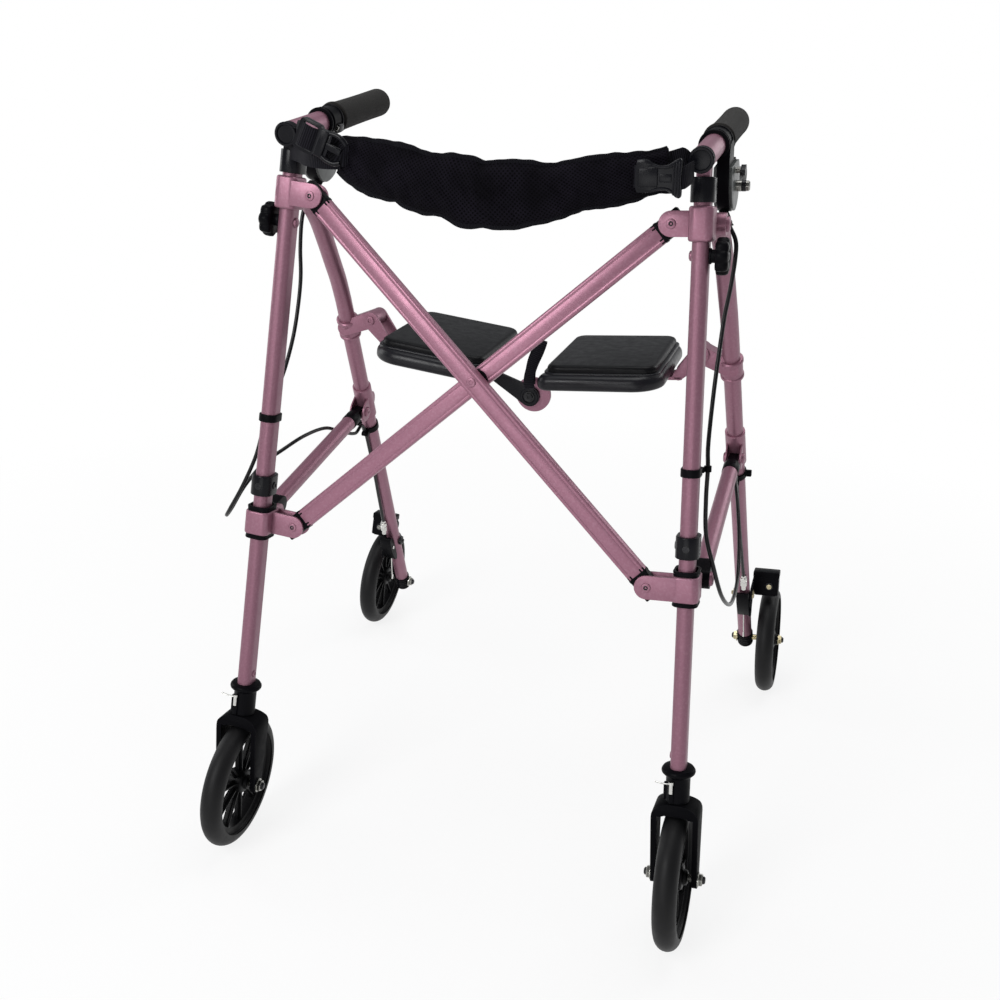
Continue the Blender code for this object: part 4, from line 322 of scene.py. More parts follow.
# Brake cables
CABLE_RADIUS = 0.0025
CABLE_LEG_GAP = 0.0008
CABLE_RUN_START = 0.338
CABLE_RUN_END = 0.462
CABLE_RUN_STEPS = 3
CABLE_RUN_OUTSET = 0.004
CLIP_PLACE = -0.233
CLIP_HEIGHT = 0.011
CLIP_WALL = 0.0016

# Each cable's free route in its side frame, as outward, rearward and up the leg
CABLE_TOP = [(0.0150, 0.0850, -0.0020), (0.0215, 0.0850, -0.0160), (0.0222, 0.0820, -0.0330),
             (0.0195, 0.0790, -0.0600), (0.0150, 0.0770, -0.0900), (0.0125, 0.0720, -0.1200),
             (0.0105, 0.0620, -0.1550), (0.0100, 0.0460, -0.1900), (0.0110, 0.0290, -0.2150),
             (0.0130, 0.0195, -0.2330)]
CABLE_BOW = {1: [(0.0125, 0.0200, -0.2640), (0.0140, 0.0215, -0.3000), (0.0225, 0.0230, -0.3330),
                 (0.0290, 0.0450, -0.3680), (0.0325, 0.0900, -0.3920), (0.0325, 0.1400, -0.3980),
                 (0.0310, 0.1850, -0.3880), (0.0265, 0.2250, -0.3560), (0.0190, 0.2600, -0.3220),
                 (0.0120, 0.2920, -0.3020), (0.0100, 0.3130, -0.2985)],
             -1: [(0.0175, 0.0210, -0.2560), (0.0260, 0.0270, -0.2880), (0.0400, 0.0300, -0.3250),
                  (0.0560, 0.0370, -0.3560), (0.0660, 0.0500, -0.3690), (0.0680, 0.0660, -0.3640),
                  (0.0620, 0.0820, -0.3400), (0.0500, 0.1000, -0.3150), (0.0380, 0.1250, -0.3000),
                  (0.0290, 0.1650, -0.2880), (0.0235, 0.2150, -0.2860), (0.0190, 0.2600, -0.2980),
                  (0.0130, 0.2920, -0.3040), (0.0100, 0.3130, -0.2985)]}

# The frame is centred front to back on its box
DEPTH_CENTRE = 0.1943

LEFT = 1
RIGHT = -1
LABEL = {LEFT: "_left", RIGHT: "_right"}
LEG_BODY = {LEFT: "left_frame", RIGHT: "right_frame"}
ROUND = 32
WHEEL_FACETS = 96

# Turns that put a frame's Z along its old X, and against its old Y
Z_OUTWARD = Matrix(((0, 0, 1), (1, 0, 0), (0, 1, 0))).to_4x4()
Z_FORWARD = Matrix(((1, 0, 0), (0, 0, -1), (0, 1, 0))).to_4x4()
# Geometry of the cross and the splay that follows from it
TOP_PIVOT_HALF = BAR_TOP_ARM * math.cos(BAR_ANGLE)
LOW_PIVOT_HALF = BAR_LOW_ARM * math.cos(BAR_ANGLE)
PIVOT_DROP = (BAR_TOP_ARM + BAR_LOW_ARM) * math.sin(BAR_ANGLE)
PIVOT_SPAN = math.hypot(LOW_PIVOT_HALF - TOP_PIVOT_HALF, PIVOT_DROP)
LEG_SPLAY = (math.atan((LOW_PIVOT_HALF - TOP_PIVOT_HALF) / PIVOT_DROP)
             + math.asin((LOW_PIVOT_OFFSET - TOP_PIVOT_OFFSET) / PIVOT_SPAN))
COLLAR_DROP = math.sqrt(PIVOT_SPAN ** 2 - (LOW_PIVOT_OFFSET - TOP_PIVOT_OFFSET) ** 2)
TOP_HALF = TOP_PIVOT_HALF + TOP_PIVOT_OFFSET * math.cos(LEG_SPLAY)
TOP_PIVOT_DROP = TOP_PIVOT_OFFSET * math.sin(LEG_SPLAY)

# Directions of the left side frame
FRONT_NORMAL = Vector((0.0, -math.cos(LEG_LEAN), math.sin(LEG_LEAN)))
FRONT_UP = Vector((0.0, math.sin(LEG_LEAN), math.cos(LEG_LEAN)))
EAST = Vector((1.0, 0.0, 0.0))
LEG_OUT = EAST * math.cos(LEG_SPLAY) + FRONT_UP * math.sin(LEG_SPLAY)
LEG_UP = FRONT_UP * math.cos(LEG_SPLAY) - EAST * math.sin(LEG_SPLAY)
SIDE_BACK = LEG_OUT * math.sin(SIDE_YAW) - FRONT_NORMAL * math.cos(SIDE_YAW)
SIDE_OUT = LEG_OUT * math.cos(SIDE_YAW) + FRONT_NORMAL * math.sin(SIDE_YAW)

# Heights that put all four tyres on the floor
TYRE_REACH = ((WHEEL_RADIUS - TYRE_SECTION) * math.sqrt(1.0 - SIDE_OUT.z ** 2) + TYRE_SECTION)
TOP_HEIGHT = CASTER_DROP * LEG_UP.z - CASTER_TRAIL * SIDE_BACK.z + TYRE_REACH
REAR_WHEEL_OUTSET = REAR_OUTSET + WHEEL_OUTSET
REAR_AXLE_LEVEL = (TYRE_REACH - TOP_HEIGHT - REAR_AXLE_BACK * SIDE_BACK.z
                   - REAR_WHEEL_OUTSET * SIDE_OUT.z) / LEG_UP.z
WHEEL_DOWN_TURN = math.atan2(-SIDE_BACK.z, LEG_UP.z)

BAR_FORWARD = {RIGHT: BARS_MIDDLE_FORWARD + (BAR_THICK + BAR_SPACER) / 2,
               LEFT: BARS_MIDDLE_FORWARD - (BAR_THICK + BAR_SPACER) / 2}


def leg_frame(side, out, back):
    """Frame at a front leg's top pivot, from directions of the left side, mirrored for the right."""
    axes = (Vector((out.x, side * out.y, side * out.z)), Vector((side * back.x, back.y, back.z)),
            Vector((side * LEG_UP.x, LEG_UP.y, LEG_UP.z)))
    place = Matrix.Translation((side * TOP_HALF, -DEPTH_CENTRE, TOP_HEIGHT))
    return place @ Matrix(axes).transposed().to_4x4()


def side_frame(side):
    """Local X outward on the left and inward on the right, Y rearward, Z up the leg."""
    return leg_frame(side, SIDE_OUT, SIDE_BACK)


def clevis_frame(side):
    """As the side frame, but without its yaw, square to the plane of the cross."""
    return leg_frame(side, LEG_OUT, -FRONT_NORMAL)


def front_frame():
    """The plane of the cross: X to the left side, Y rearward, Z up the plane."""
    matrix = Matrix((EAST, -FRONT_NORMAL, FRONT_UP)).transposed().to_4x4()
    return Matrix.Translation(Vector((0.0, -DEPTH_CENTRE, TOP_HEIGHT))) @ matrix


def weld(mesh):
    """Join points that coincide, drop slivers and face outward."""
    work = bmesh.new()
    work.from_mesh(mesh)
    bmesh.ops.remove_doubles(work, verts=work.verts, dist=WELD)
    bmesh.ops.dissolve_degenerate(work, edges=work.edges, dist=WELD)
    stray = [edge for edge in work.edges if not edge.link_faces]
    bmesh.ops.delete(work, geom=stray, context="EDGES")
    bmesh.ops.recalc_face_normals(work, faces=work.faces)
    work.to_mesh(mesh)
    work.free()
    return mesh


def mesh_of(work, name="solid"):
    """Mesh with the shape of an edit mesh, which it uses up."""
    mesh = bpy.data.meshes.new(name)
    work.to_mesh(mesh)
    work.free()
    return mesh


def linked(name, data):
    """New object in the scene."""
    obj = bpy.data.objects.new(name, data)
    GUIDES.objects.link(obj)
    return obj


def finish_mesh(mesh, matrix):
    """Place a mesh and weld it."""
    mesh.transform(matrix)
    return weld(mesh)


def solid_object(mesh):
    return linked("solid", mesh)


def evaluated_mesh(obj):
    graph = bpy.context.evaluated_depsgraph_get()
    graph.update()
    return bpy.data.meshes.new_from_object(obj.evaluated_get(graph), depsgraph=graph)


def take_mesh(obj, matrix):
    """Turn an object with modifiers, or a curve, into a plain solid."""
    mesh = evaluated_mesh(obj)
    bpy.data.objects.remove(obj, do_unlink=True)
    return solid_object(finish_mesh(mesh, matrix))


def circle(radius, x, y, count, turn=0.5):
    steps = [2 * math.pi * (index + turn) / count for index in range(count)]
    return [(x + radius * math.cos(step), y + radius * math.sin(step)) for step in steps]


def arc(radius, x, y, start, stop, steps):
    """Points of an arc from one angle to another."""
    angles = [start + (stop - start) * index / steps for index in range(steps + 1)]
    return [(x + radius * math.cos(angle), y + radius * math.sin(angle)) for angle in angles]


def rounded(width, depth, corner, x=0.0, y=0.0, steps=2):
    """Outline of a rounded rectangle."""
    points = []
    for quarter, (sign_x, sign_y) in enumerate(((1, 1), (-1, 1), (-1, -1), (1, -1))):
        centre = (x + sign_x * (width / 2 - corner), y + sign_y * (depth / 2 - corner))
        points += arc(corner, *centre, math.pi / 2 * quarter, math.pi / 2 * (quarter + 1), steps)
    return points


def slot_outline(first, second, radius, steps):
    """Outline of a plate with two round ends."""
    return taper_outline(first, radius, second, radius, steps)


def taper_outline(first, first_radius, second, second_radius, steps):
    """Outline of a plate that tapers between two round ends."""
    start, stop = Vector(first), Vector(second)
    span = stop - start
    heading = math.atan2(span.y, span.x)
    turn = math.pi / 2 - math.asin((first_radius - second_radius) / span.length)
    return (arc(second_radius, *stop, heading - turn, heading + turn, steps)
            + arc(first_radius, *start, heading + turn, heading + 2 * math.pi - turn, steps))


def curve_solid(loops, matrix, cyclic, **settings):
    """Solid that a curve makes from outlines, or from a path."""
    curve = bpy.data.curves.new("curve", "CURVE")
    for key, value in settings.items():
        setattr(curve, key, value)
    for loop in loops:
        spline = curve.splines.new("POLY")
        spline.points.add(len(loop) - 1)
        for point, place in zip(spline.points, loop):
            point.co = (*place, 1.0)
        spline.use_cyclic_u = cyclic
    return take_mesh(linked("curve", curve), matrix)


def plate(loops, low, high, matrix):
    """Flat outline, with holes, filled and extruded from low to high along Z."""
    flat = [[(x, y, 0.0) for x, y in loop] for loop in loops]
    return curve_solid(flat, raised(matrix, (low + high) / 2), True, dimensions="2D", fill_mode="BOTH",
                       extrude=(high - low) / 2)


def block(low, high, matrix, bevel=0.0, segments=1):
    """Box between two corners, with its edges eased."""
    bpy.ops.mesh.primitive_cube_add(size=1.0)
    obj = bpy.context.object
    low, high = Vector(low), Vector(high)
    obj.data.transform(Matrix.Translation((high + low) / 2) @ Matrix.Diagonal((*(high - low), 1.0)))
    if bevel:
        modifier = obj.modifiers.new("edges", "BEVEL")
        modifier.width = bevel
        modifier.segments = segments
        modifier.limit_method = "NONE"
    return take_mesh(obj, matrix)


def turned(profile, matrix, segments=ROUND):
    """Profile of (radius, height) points, top to bottom on its outer side, turned about Z."""
    work = bmesh.new()
    points = [work.verts.new((radius, 0.0, height)) for radius, height in profile]
    for first, second in zip(points, points[1:]):
        work.edges.new((first, second))
    obj = solid_object(mesh_of(work))
    modifier = obj.modifiers.new("turn", "SCREW")
    modifier.steps = segments
    modifier.render_steps = segments
    modifier.use_merge_vertices = True
    modifier.merge_threshold = 0.00001
    return take_mesh(obj, matrix)


def rod(radius, low, high, matrix, segments=ROUND):
    return turned([(0.0, high), (radius, high), (radius, low), (0.0, low)], matrix, segments)


def tube_along(points, radius, matrix, resolution):
    """Round bar or cord along points."""
    return curve_solid([points], matrix, False, dimensions="3D", bevel_depth=radius,
                       bevel_resolution=resolution, use_fill_caps=True)


def combine(base, others, operation="UNION"):
    """Boolean of a solid with others, one by one, which it uses up."""
    for other in others:
        modifier = base.modifiers.new("join", "BOOLEAN")
        modifier.operation = operation
        modifier.object = other
        modifier.solver = "EXACT"
        mesh = evaluated_mesh(base)
        bpy.data.objects.remove(other, do_unlink=True)
        base.modifiers.clear()
        base.data = weld(mesh)
    return base


def spline_span(before, start, stop, after, count):
    """Points of a smooth curve from one point towards the next."""
    span = []
    for step in range(count):
        t = step / count
        span.append(0.5 * (2 * start + (stop - before) * t
                           + (2 * before - 5 * start + 4 * stop - after) * t ** 2
                           + (3 * start - before - 3 * stop + after) * t ** 3))
    return span


def cut(base, cutters):
    return combine(base, cutters, "DIFFERENCE")


def smooth_path(points, per_span):
    """Smooth curve through points."""
    places = [Vector(point) for point in points]
    places = [2 * places[0] - places[1]] + places + [2 * places[-1] - places[-2]]
    path = []
    for index in range(1, len(places) - 2):
        path += spline_span(*places[index - 1:index + 3], per_span)
    return path + [places[-2]]


def closed_smooth(points, per_span):
    """Smooth closed outline through points of the plane."""
    places = [Vector(point) for point in points]
    outline = []
    for index in range(len(places)):
        around = [places[(index + step) % len(places)] for step in (-1, 0, 1, 2)]
        outline += [tuple(spot) for spot in spline_span(*around, per_span)]
    return outline


def raised(matrix, height):
    """The same frame, further along its Z."""
    return matrix @ Matrix.Translation((0.0, 0.0, height))


def across(matrix, back, level):
    """Frame at a point of the side plane, whose Z runs outward along local X."""
    return matrix @ Matrix.Translation((0.0, back, level)) @ Z_OUTWARD


def side_plate(side, matrix, loops, inner, outer):
    """Plate in the side plane, between two outward places."""
    low, high = sorted((side * inner, side * outer))
    return plate(loops, low, high, across(matrix, 0.0, 0.0))


def side_rod(side, matrix, radius, inner, outer, back, level):
    """Round bar across the side plane, between two outward places."""
    low, high = sorted((side * inner, side * outer))
    return rod(radius, low, high, across(matrix, back, level))


def turn_about_x(angle):
    return Matrix.Rotation(angle, 4, "X")


def inward(matrix):
    """The same frame, facing the other way."""
    return matrix @ turn_about_x(math.pi)


def outward(side):
    """Turn that makes Z point outward on both sides."""
    return Matrix.Identity(4) if side > 0 else Matrix.Rotation(math.pi, 4, "Y")


def end_frame(matrix, place, hand):
    """Frame at a place along Z that faces along Z for hand 1 and back for hand -1."""
    spot = raised(matrix, place)
    return spot if hand > 0 else inward(spot)


def facing_out(side, matrix, back, level, place, hand=1):
    """Frame at a place of the side plane whose Z points outward (hand 1) or inward (hand -1)."""
    spot = raised(across(matrix, back, level), side * place) @ outward(side)
    return spot if hand > 0 else inward(spot)


def handle_frame(matrix):
    """Frame of the horizontal handle tube: Z runs rearward along it, Y points down."""
    return raised(matrix, HANDLE_LEVEL) @ turn_about_x(HANDLE_RISE) @ turn_about_x(-math.pi / 2)


def ear_reach(bars_side, hand):
    """How far a collar's body goes forward, or back for hand -1, to cover its ear."""
    return hand * BAR_FORWARD[bars_side] + BAR_THICK / 2 + TOUCH_GAP + EAR_THICK + EAR_SINK


def brake_body_outline():
    """Rounded hanging body, in rearward and upward coordinates of the handle tube."""
    shoulder = GRIP_START - BRAKE_BODY_AXIAL - BRAKE_GRIP_GAP
    under = -GRIP_RADIUS - GRIP_LIP - BRAKE_GRIP_GAP
    front, rear, drop = BRAKE_BODY_FRONT, BRAKE_BODY_REAR, BRAKE_BODY_DROP
    return [(CLAMP_START - BRAKE_BODY_AXIAL, 0.0), (-0.9 * front, 0.8 * under), (-front, -0.45 * drop),
            (-0.95 * front, -0.68 * drop), (-0.7 * front, -0.86 * drop), (-0.25 * front, -0.98 * drop),
            (0.15 * rear, -drop), (0.6 * rear, -0.93 * drop), (0.88 * rear, -0.78 * drop),
            (rear, -0.55 * drop), (0.94 * rear, -0.40 * drop), (0.7 * rear, under), (shoulder, under),
            (shoulder, 0.0)]


def brake_frame(frame):
    """Side-plane frame on the handle tube's axis at the hand brake: X rearward, Y up, Z outward."""
    turn = Matrix(((0, 0, 1), (0, -1, 0), (1, 0, 0))).to_4x4()
    return raised(handle_frame(frame), BRAKE_BODY_AXIAL) @ turn


def bar_frame(bars_side):
    """Bar's own frame: origin at its top pivot, X down along the bar, Y rearward."""
    place = Matrix.Translation((bars_side * TOP_PIVOT_HALF, -BAR_FORWARD[bars_side], -TOP_PIVOT_DROP))
    angle = math.pi - BAR_ANGLE if bars_side == LEFT else BAR_ANGLE
    return front_frame() @ place @ Matrix.Rotation(angle, 4, "Y")


def wheel_frame(side, frame, outset, back, level):
    """Frame at a wheel's centre, Z along the axle, turned so that a facet edge meets the floor."""
    centre = raised(across(frame, back, level), side * outset)
    return centre @ Matrix.Rotation(-math.pi / 2 + WHEEL_DOWN_TURN, 4, "Z")


def leg_direction():
    start = Vector(REAR_STRAIGHT_START)
    stop = Vector((REAR_AXLE_BACK, REAR_AXLE_LEVEL))
    return (stop - start).normalized()


def on_rear_leg(back):
    """Level of the rear leg's straight part at a rearward place."""
    start = Vector(REAR_STRAIGHT_START)
    heading = leg_direction()
    return start.y + (back - start.x) / heading.x * heading.y


def link_bracket_place():
    """Where the side link's end turns, under the rear leg, rearward and up the leg."""
    return LINK_BRACKET_BACK, on_rear_leg(LINK_BRACKET_BACK) - LINK_BRACKET_UNDER


def rear_frame(side, frame, back):
    """Frame on the straight part of the rear leg: Z down along it, X outward on the left."""
    heading = leg_direction()
    place = Matrix.Translation((side * REAR_OUTSET, back, on_rear_leg(back)))
    return inward(frame @ place @ turn_about_x(math.atan2(heading.x, -heading.y)))


def seat_hinge_frame(side):
    """Frame of the seat's hinge: X toward the middle, Y rearward or forward, Z up, dipped."""
    height = TOP_HEIGHT - SEAT_HINGE_DROP
    place = Matrix.Translation((side * SEAT_HINGE_HALF, SEAT_HINGE_BACK - DEPTH_CENTRE, height))
    return place @ Matrix.Rotation(-side * SEAT_DIP, 4, "Y")


def seat_link_place():
    """Place of the middle hinge's pin, tilted with the right seat half."""
    place = (SEAT_LINK_PIVOT_IN, SEAT_NOTCH_BACK, SEAT_BASE_BOTTOM + SEAT_LINK_PIVOT_RISE)
    return seat_hinge_frame(RIGHT) @ Matrix.Translation(place)


def seat_link_frame():
    """Frame of the middle hinge, level, under the right seat half's inner edge."""
    return Matrix.Translation(seat_link_place().translation)


def seat_disc_place():
    return Vector((SEAT_DISC_LEFT, 0.0, TOP_HEIGHT - SEAT_HINGE_DROP - SEAT_DISC_DROP))


def backrest_middle(t):
    """Middle line of the backrest, t from -1 at the right end to 1 at the left."""
    drop = BACKREST_SAG * (1 - abs(t) ** BACKREST_SAG_POWER)
    bow = BACKREST_BOW * (1 - t * t)
    middle = (BACKREST_LEFT_END + BACKREST_RIGHT_END) / 2
    half = (BACKREST_LEFT_END - BACKREST_RIGHT_END) / 2
    rise = BACKREST_RIGHT_RISE + (BACKREST_LEFT_RISE - BACKREST_RIGHT_RISE) * (t + 1) / 2
    return Vector((middle + t * half, -DEPTH_CENTRE - BACKREST_FORWARD - bow, TOP_HEIGHT + rise - drop))


def backrest_axes(t):
    """Directions along the pad, out of its front, and up its face."""
    ahead = (backrest_middle(t + 0.01) - backrest_middle(t - 0.01)).normalized()
    out = ahead.cross(Vector((0.0, 0.0, 1.0))).normalized()
    return ahead, out, out.cross(ahead).normalized()


def cable_route(side):
    """Points of the brake cable in the side frame: outward, rearward, up the leg."""
    points = CABLE_TOP + CABLE_BOW[side]
    route = [Vector((side * out, back, level)) for out, back, level in points]
    heading = leg_direction()
    front = Vector((heading.y, -heading.x)) * (REAR_TUBE_RADIUS + CABLE_RADIUS + CABLE_LEG_GAP)
    for step in range(CABLE_RUN_STEPS + 1):
        share = step / CABLE_RUN_STEPS
        back = CABLE_RUN_START + (CABLE_RUN_END - CABLE_RUN_START) * share
        out = REAR_OUTSET + CABLE_RUN_OUTSET * share
        route.append(Vector((side * out, back + front.x, on_rear_leg(back) + front.y)))
    return route


# Camera of the photograph
CAMERA_PLACE = Vector((0.3402, -1.2969, 0.8949))
CAMERA_YAW = math.radians(16.02)
CAMERA_PITCH = math.radians(21.88)
CAMERA_ROLL = math.radians(2.04)
CAMERA_FOCAL = 1169.6
IMAGE_SIDE = 1000.0
SENSOR = 36.0


def make_camera():
    level = Vector((math.cos(CAMERA_YAW), math.sin(CAMERA_YAW), 0.0))
    flat = math.cos(CAMERA_PITCH)
    ahead = Vector((-math.sin(CAMERA_YAW) * flat, math.cos(CAMERA_YAW) * flat, -math.sin(CAMERA_PITCH)))
    rise = level.cross(ahead)
    right = level * math.cos(CAMERA_ROLL) + rise * math.sin(CAMERA_ROLL)
    up = rise * math.cos(CAMERA_ROLL) - level * math.sin(CAMERA_ROLL)
    data = bpy.data.cameras.new("camera")
    data.sensor_width = SENSOR
    data.lens = CAMERA_FOCAL * SENSOR / IMAGE_SIDE
    obj = linked("camera", data)
    obj.matrix_world = Matrix.Translation(CAMERA_PLACE) @ Matrix((right, up, -ahead)).transposed().to_4x4()
    bpy.context.scene.camera = obj


# Lights: place, height aimed at, size and power
LIGHTS = {"key": ((-0.9, -2.3, 1.9), 0.45, (0.9, 1.7), 44.0),
          "low": ((-0.1, -2.5, 0.35), 0.45, (1.2, 0.7), 5.0),
          "side": ((-2.4, 0.2, 1.2), 0.45, (0.9, 1.6), 14.0),
          "top": ((0.1, 0.3, 2.6), 0.3, (1.4, 1.4), 20.0),
          "back": ((1.4, 2.0, 1.5), 0.5, (1.0, 1.4), 12.0)}


def make_light(name, place, aim, size, power):
    data = bpy.data.lights.new(name, "AREA")
    data.shape = "RECTANGLE"
    data.size, data.size_y = size
    data.energy = power
    heading = (Vector((0.0, 0.0, aim)) - Vector(place)).normalized()
    turn = heading.to_track_quat("-Z", "Y").to_matrix().to_4x4()
    linked(name, data).matrix_world = Matrix.Translation(place) @ turn


# Nodes, floor and backdrop
def set_inputs(tree, node, inputs):
    """Give a node's inputs values, or link them to other nodes' outputs."""
    for key, value in inputs.items():
        if isinstance(value, bpy.types.NodeSocket):
            tree.links.new(value, node.inputs[key])
        else:
            node.inputs[key].default_value = value


def add_node(tree, kind, inputs=None, **settings):
    made = tree.nodes.new(kind)
    for key, value in settings.items():
        setattr(made, key, value)
    set_inputs(tree, made, inputs or {})
    return made


def seen_share(tree, rays):
    """1 for the rays that should meet the white backdrop."""
    path = tree.nodes.new("ShaderNodeLightPath")
    total = path.outputs[rays[0]]
    for name in rays[1:]:
        inputs = {0: total, 1: path.outputs[name]}
        total = add_node(tree, "ShaderNodeMath", inputs, operation="MAXIMUM").outputs[0]
    return total


FLOOR_KEEP = 0.16
FLOOR_HALF = 30.0
FLOOR_COLOUR = (0.86, 0.86, 0.86, 1.0)
SHADOW_SPAN = (0.45, 1.5)
WHITE = (1.0, 1.0, 1.0, 1.0)
SKY = (0.95, 0.97, 1.0, 1.0)
SKY_POWER = 0.33
RAYS = ("Is Camera Ray", "Is Glossy Ray", "Is Transmission Ray")


def make_floor():
    """Floor that shows the shadow near the object and is plain white further out."""
    work = bmesh.new()
    corners = ((-1, -1), (1, -1), (1, 1), (-1, 1))
    work.faces.new([work.verts.new((x * FLOOR_HALF, y * FLOOR_HALF, 0.0)) for x, y in corners])
    floor = linked("floor", mesh_of(work, "floor"))
    surface = Surface("floor_white")
    surface.shade(Base_Color=FLOOR_COLOUR, Roughness=0.9)
    glow = surface.node("ShaderNodeEmission", {"Color": WHITE, "Strength": 1.0})
    place = surface.node("ShaderNodeTexCoord").outputs["Object"]
    far = surface.node("ShaderNodeVectorMath", {0: place}, operation="LENGTH").outputs["Value"]
    share = surface.maths("MULTIPLY", seen_share(surface.tree, RAYS),
                          surface.spread(far, 1.0 - FLOOR_KEEP, 1.0, *SHADOW_SPAN))
    mix = surface.node("ShaderNodeMixShader", {0: share, 1: surface.shader.outputs[0], 2: glow.outputs[0]})
    set_inputs(surface.tree, surface.tree.nodes["Material Output"], {"Surface": mix.outputs[0]})
    floor.data.materials.append(surface.material)


def make_stage():
    make_floor()
    world = bpy.data.worlds.new("studio")
    bpy.context.scene.world = world
    world.use_nodes = True
    tree = world.node_tree
    tree.nodes.clear()
    soft, white = (add_node(tree, "ShaderNodeBackground", {"Color": colour, "Strength": power}).outputs[0]
                   for colour, power in ((SKY, SKY_POWER), (WHITE, 1.0)))
    mix = add_node(tree, "ShaderNodeMixShader", {0: seen_share(tree, RAYS[:1]), 1: soft, 2: white})
    add_node(tree, "ShaderNodeOutputWorld", {"Surface": mix.outputs[0]})
    for name, values in LIGHTS.items():
        make_light(name, *values)
    bpy.context.scene.view_settings.view_transform = "Standard"


# Materials
class Surface:
    """Principled material whose colour, roughness and bump come from nodes."""

    def __init__(self, name, metallic=0.0):
        self.material = bpy.data.materials.new(name)
        self.material.use_nodes = True
        self.tree = self.material.node_tree
        self.shader = self.tree.nodes["Principled BSDF"]
        self.normal = None
        self.shade(Metallic=metallic)

    def shade(self, **values):
        """Set the shader's own inputs, spaces in their names written as underscores."""
        set_inputs(self.tree, self.shader, {key.replace("_", " "): value for key, value in values.items()})

    def node(self, kind, inputs=None, **settings):
        return add_node(self.tree, kind, inputs, **settings)

    def maths(self, operation, first, second=None):
        inputs = {0: first} if second is None else {0: first, 1: second}
        return self.node("ShaderNodeMath", inputs, operation=operation).outputs[0]

    def points(self, coordinates="Object", turn=0.0):
        place = self.node("ShaderNodeTexCoord").outputs[coordinates]
        inputs = {"Vector": place, "Rotation": (0.0, 0.0, turn)}
        return self.node("ShaderNodeMapping", inputs).outputs["Vector"]

    def noise(self, scale, detail=3.0):
        inputs = {"Scale": scale, "Detail": detail, "Roughness": 0.55, "Vector": self.points()}
        return self.node("ShaderNodeTexNoise", inputs).outputs["Fac"]

    def wave(self, kind, axis, period, turn=0.0):
        """Wave along one axis of the piece's own UV, which is in metres."""
        split = self.node("ShaderNodeSeparateXYZ", {0: self.points("UV", turn)})
        return self.maths(kind, self.maths("MULTIPLY", split.outputs[axis], 2 * math.pi / period))

    def spread(self, value, low, high, start=0.0, stop=1.0):
        inputs = {"Value": value, "From Min": start, "From Max": stop, "To Min": low, "To Max": high}
        return self.node("ShaderNodeMapRange", inputs).outputs["Result"]

    def blend(self, share, first, second):
        """Colour between two colours or outputs."""
        first, second = ((*value, 1.0) if isinstance(value, tuple) else value for value in (first, second))
        inputs = {"Factor": share, 6: first, 7: second}
        return self.node("ShaderNodeMix", inputs, data_type="RGBA").outputs[2]

    def edge(self, radius):
        """1 on convex and concave edges, 0 on flat faces: the mask of a painted edge highlight."""
        bevel = self.node("ShaderNodeBevel", {"Radius": radius}, samples=4)
        inputs = {0: bevel.outputs["Normal"], 1: self.node("ShaderNodeNewGeometry").outputs["Normal"]}
        dot = self.node("ShaderNodeVectorMath", inputs, operation="DOT_PRODUCT")
        return self.spread(dot.outputs["Value"], 0.0, 1.0, 0.995, 0.86)

    def bump(self, value, height, strength):
        inputs = {"Strength": strength, "Distance": height, "Height": value}
        if self.normal is not None:
            inputs["Normal"] = self.normal
        self.normal = self.node("ShaderNodeBump", inputs).outputs["Normal"]
        self.shade(Normal=self.normal)


def plain_surface(name, dark, light, rough, gleam, edge=None, metallic=0.0, bump=0.00004, grain=220.0,
                  cloud=14.0):
    """Moulded or coated surface: cloudy colour, fine grain, and a painted highlight that lightens the edges.
    """
    surface = Surface(name, metallic)
    tone = surface.blend(surface.noise(cloud, 4.0), dark, light)
    if edge:
        # painted highlight: the edges are blended towards the lighter edge colour
        tone = surface.blend(surface.edge(0.0016), tone, edge)
    polish = surface.spread(surface.noise(grain * 0.35, 4.0), rough - 0.05, rough + 0.07, 0.3, 0.7)
    surface.shade(Base_Color=tone, Roughness=polish, Specular_IOR_Level=gleam)
    surface.bump(surface.noise(grain * 6.0, 2.0), bump, 0.6)
    return surface.material


def pink_surface(name, shade=1.0):
    """Metallic paint on aluminium: fine flake over a faint wipe of lighter tone; shade scales its colours,
    for copies with painted light or painted shade.
    """
    surface = Surface(name, 0.5)
    # shade above 1 paints light into all three colours, and below 1 paints shade into them
    dark, light, flake = (tuple(shade * part for part in colour) for colour in
                          ((0.246, 0.110, 0.155), (0.288, 0.133, 0.184), (0.40, 0.24, 0.30)))
    tone = surface.blend(surface.noise(9.0, 4.0), dark, light)
    tone = surface.blend(surface.spread(surface.noise(420.0, 2.0), 0.0, 0.30, 0.45, 0.8), tone, flake)
    polish = surface.spread(surface.noise(60.0, 4.0), 0.38, 0.45, 0.3, 0.7)
    surface.shade(Base_Color=tone, Roughness=polish, Specular_IOR_Level=0.4)
    surface.bump(surface.noise(150.0, 2.0), 0.00001, 0.3)
    return surface.material


def foam_surface():
    surface = Surface("foam_grip")
    tone = surface.blend(surface.noise(700.0, 3.0), (0.0060, 0.0056, 0.0052), (0.022, 0.0205, 0.019))
    worn = surface.spread(surface.noise(22.0, 3.0), 0.0, 0.6, 0.4, 0.8)
    surface.shade(Base_Color=surface.blend(worn, tone, (0.020, 0.019, 0.0175)),
                  Roughness=surface.spread(surface.noise(40.0), 0.82, 0.95),
                  Sheen_Weight=0.04, Sheen_Roughness=0.5, Specular_IOR_Level=0.15)
    surface.bump(surface.noise(2200.0, 3.0), 0.00025, 0.9)
    return surface.material


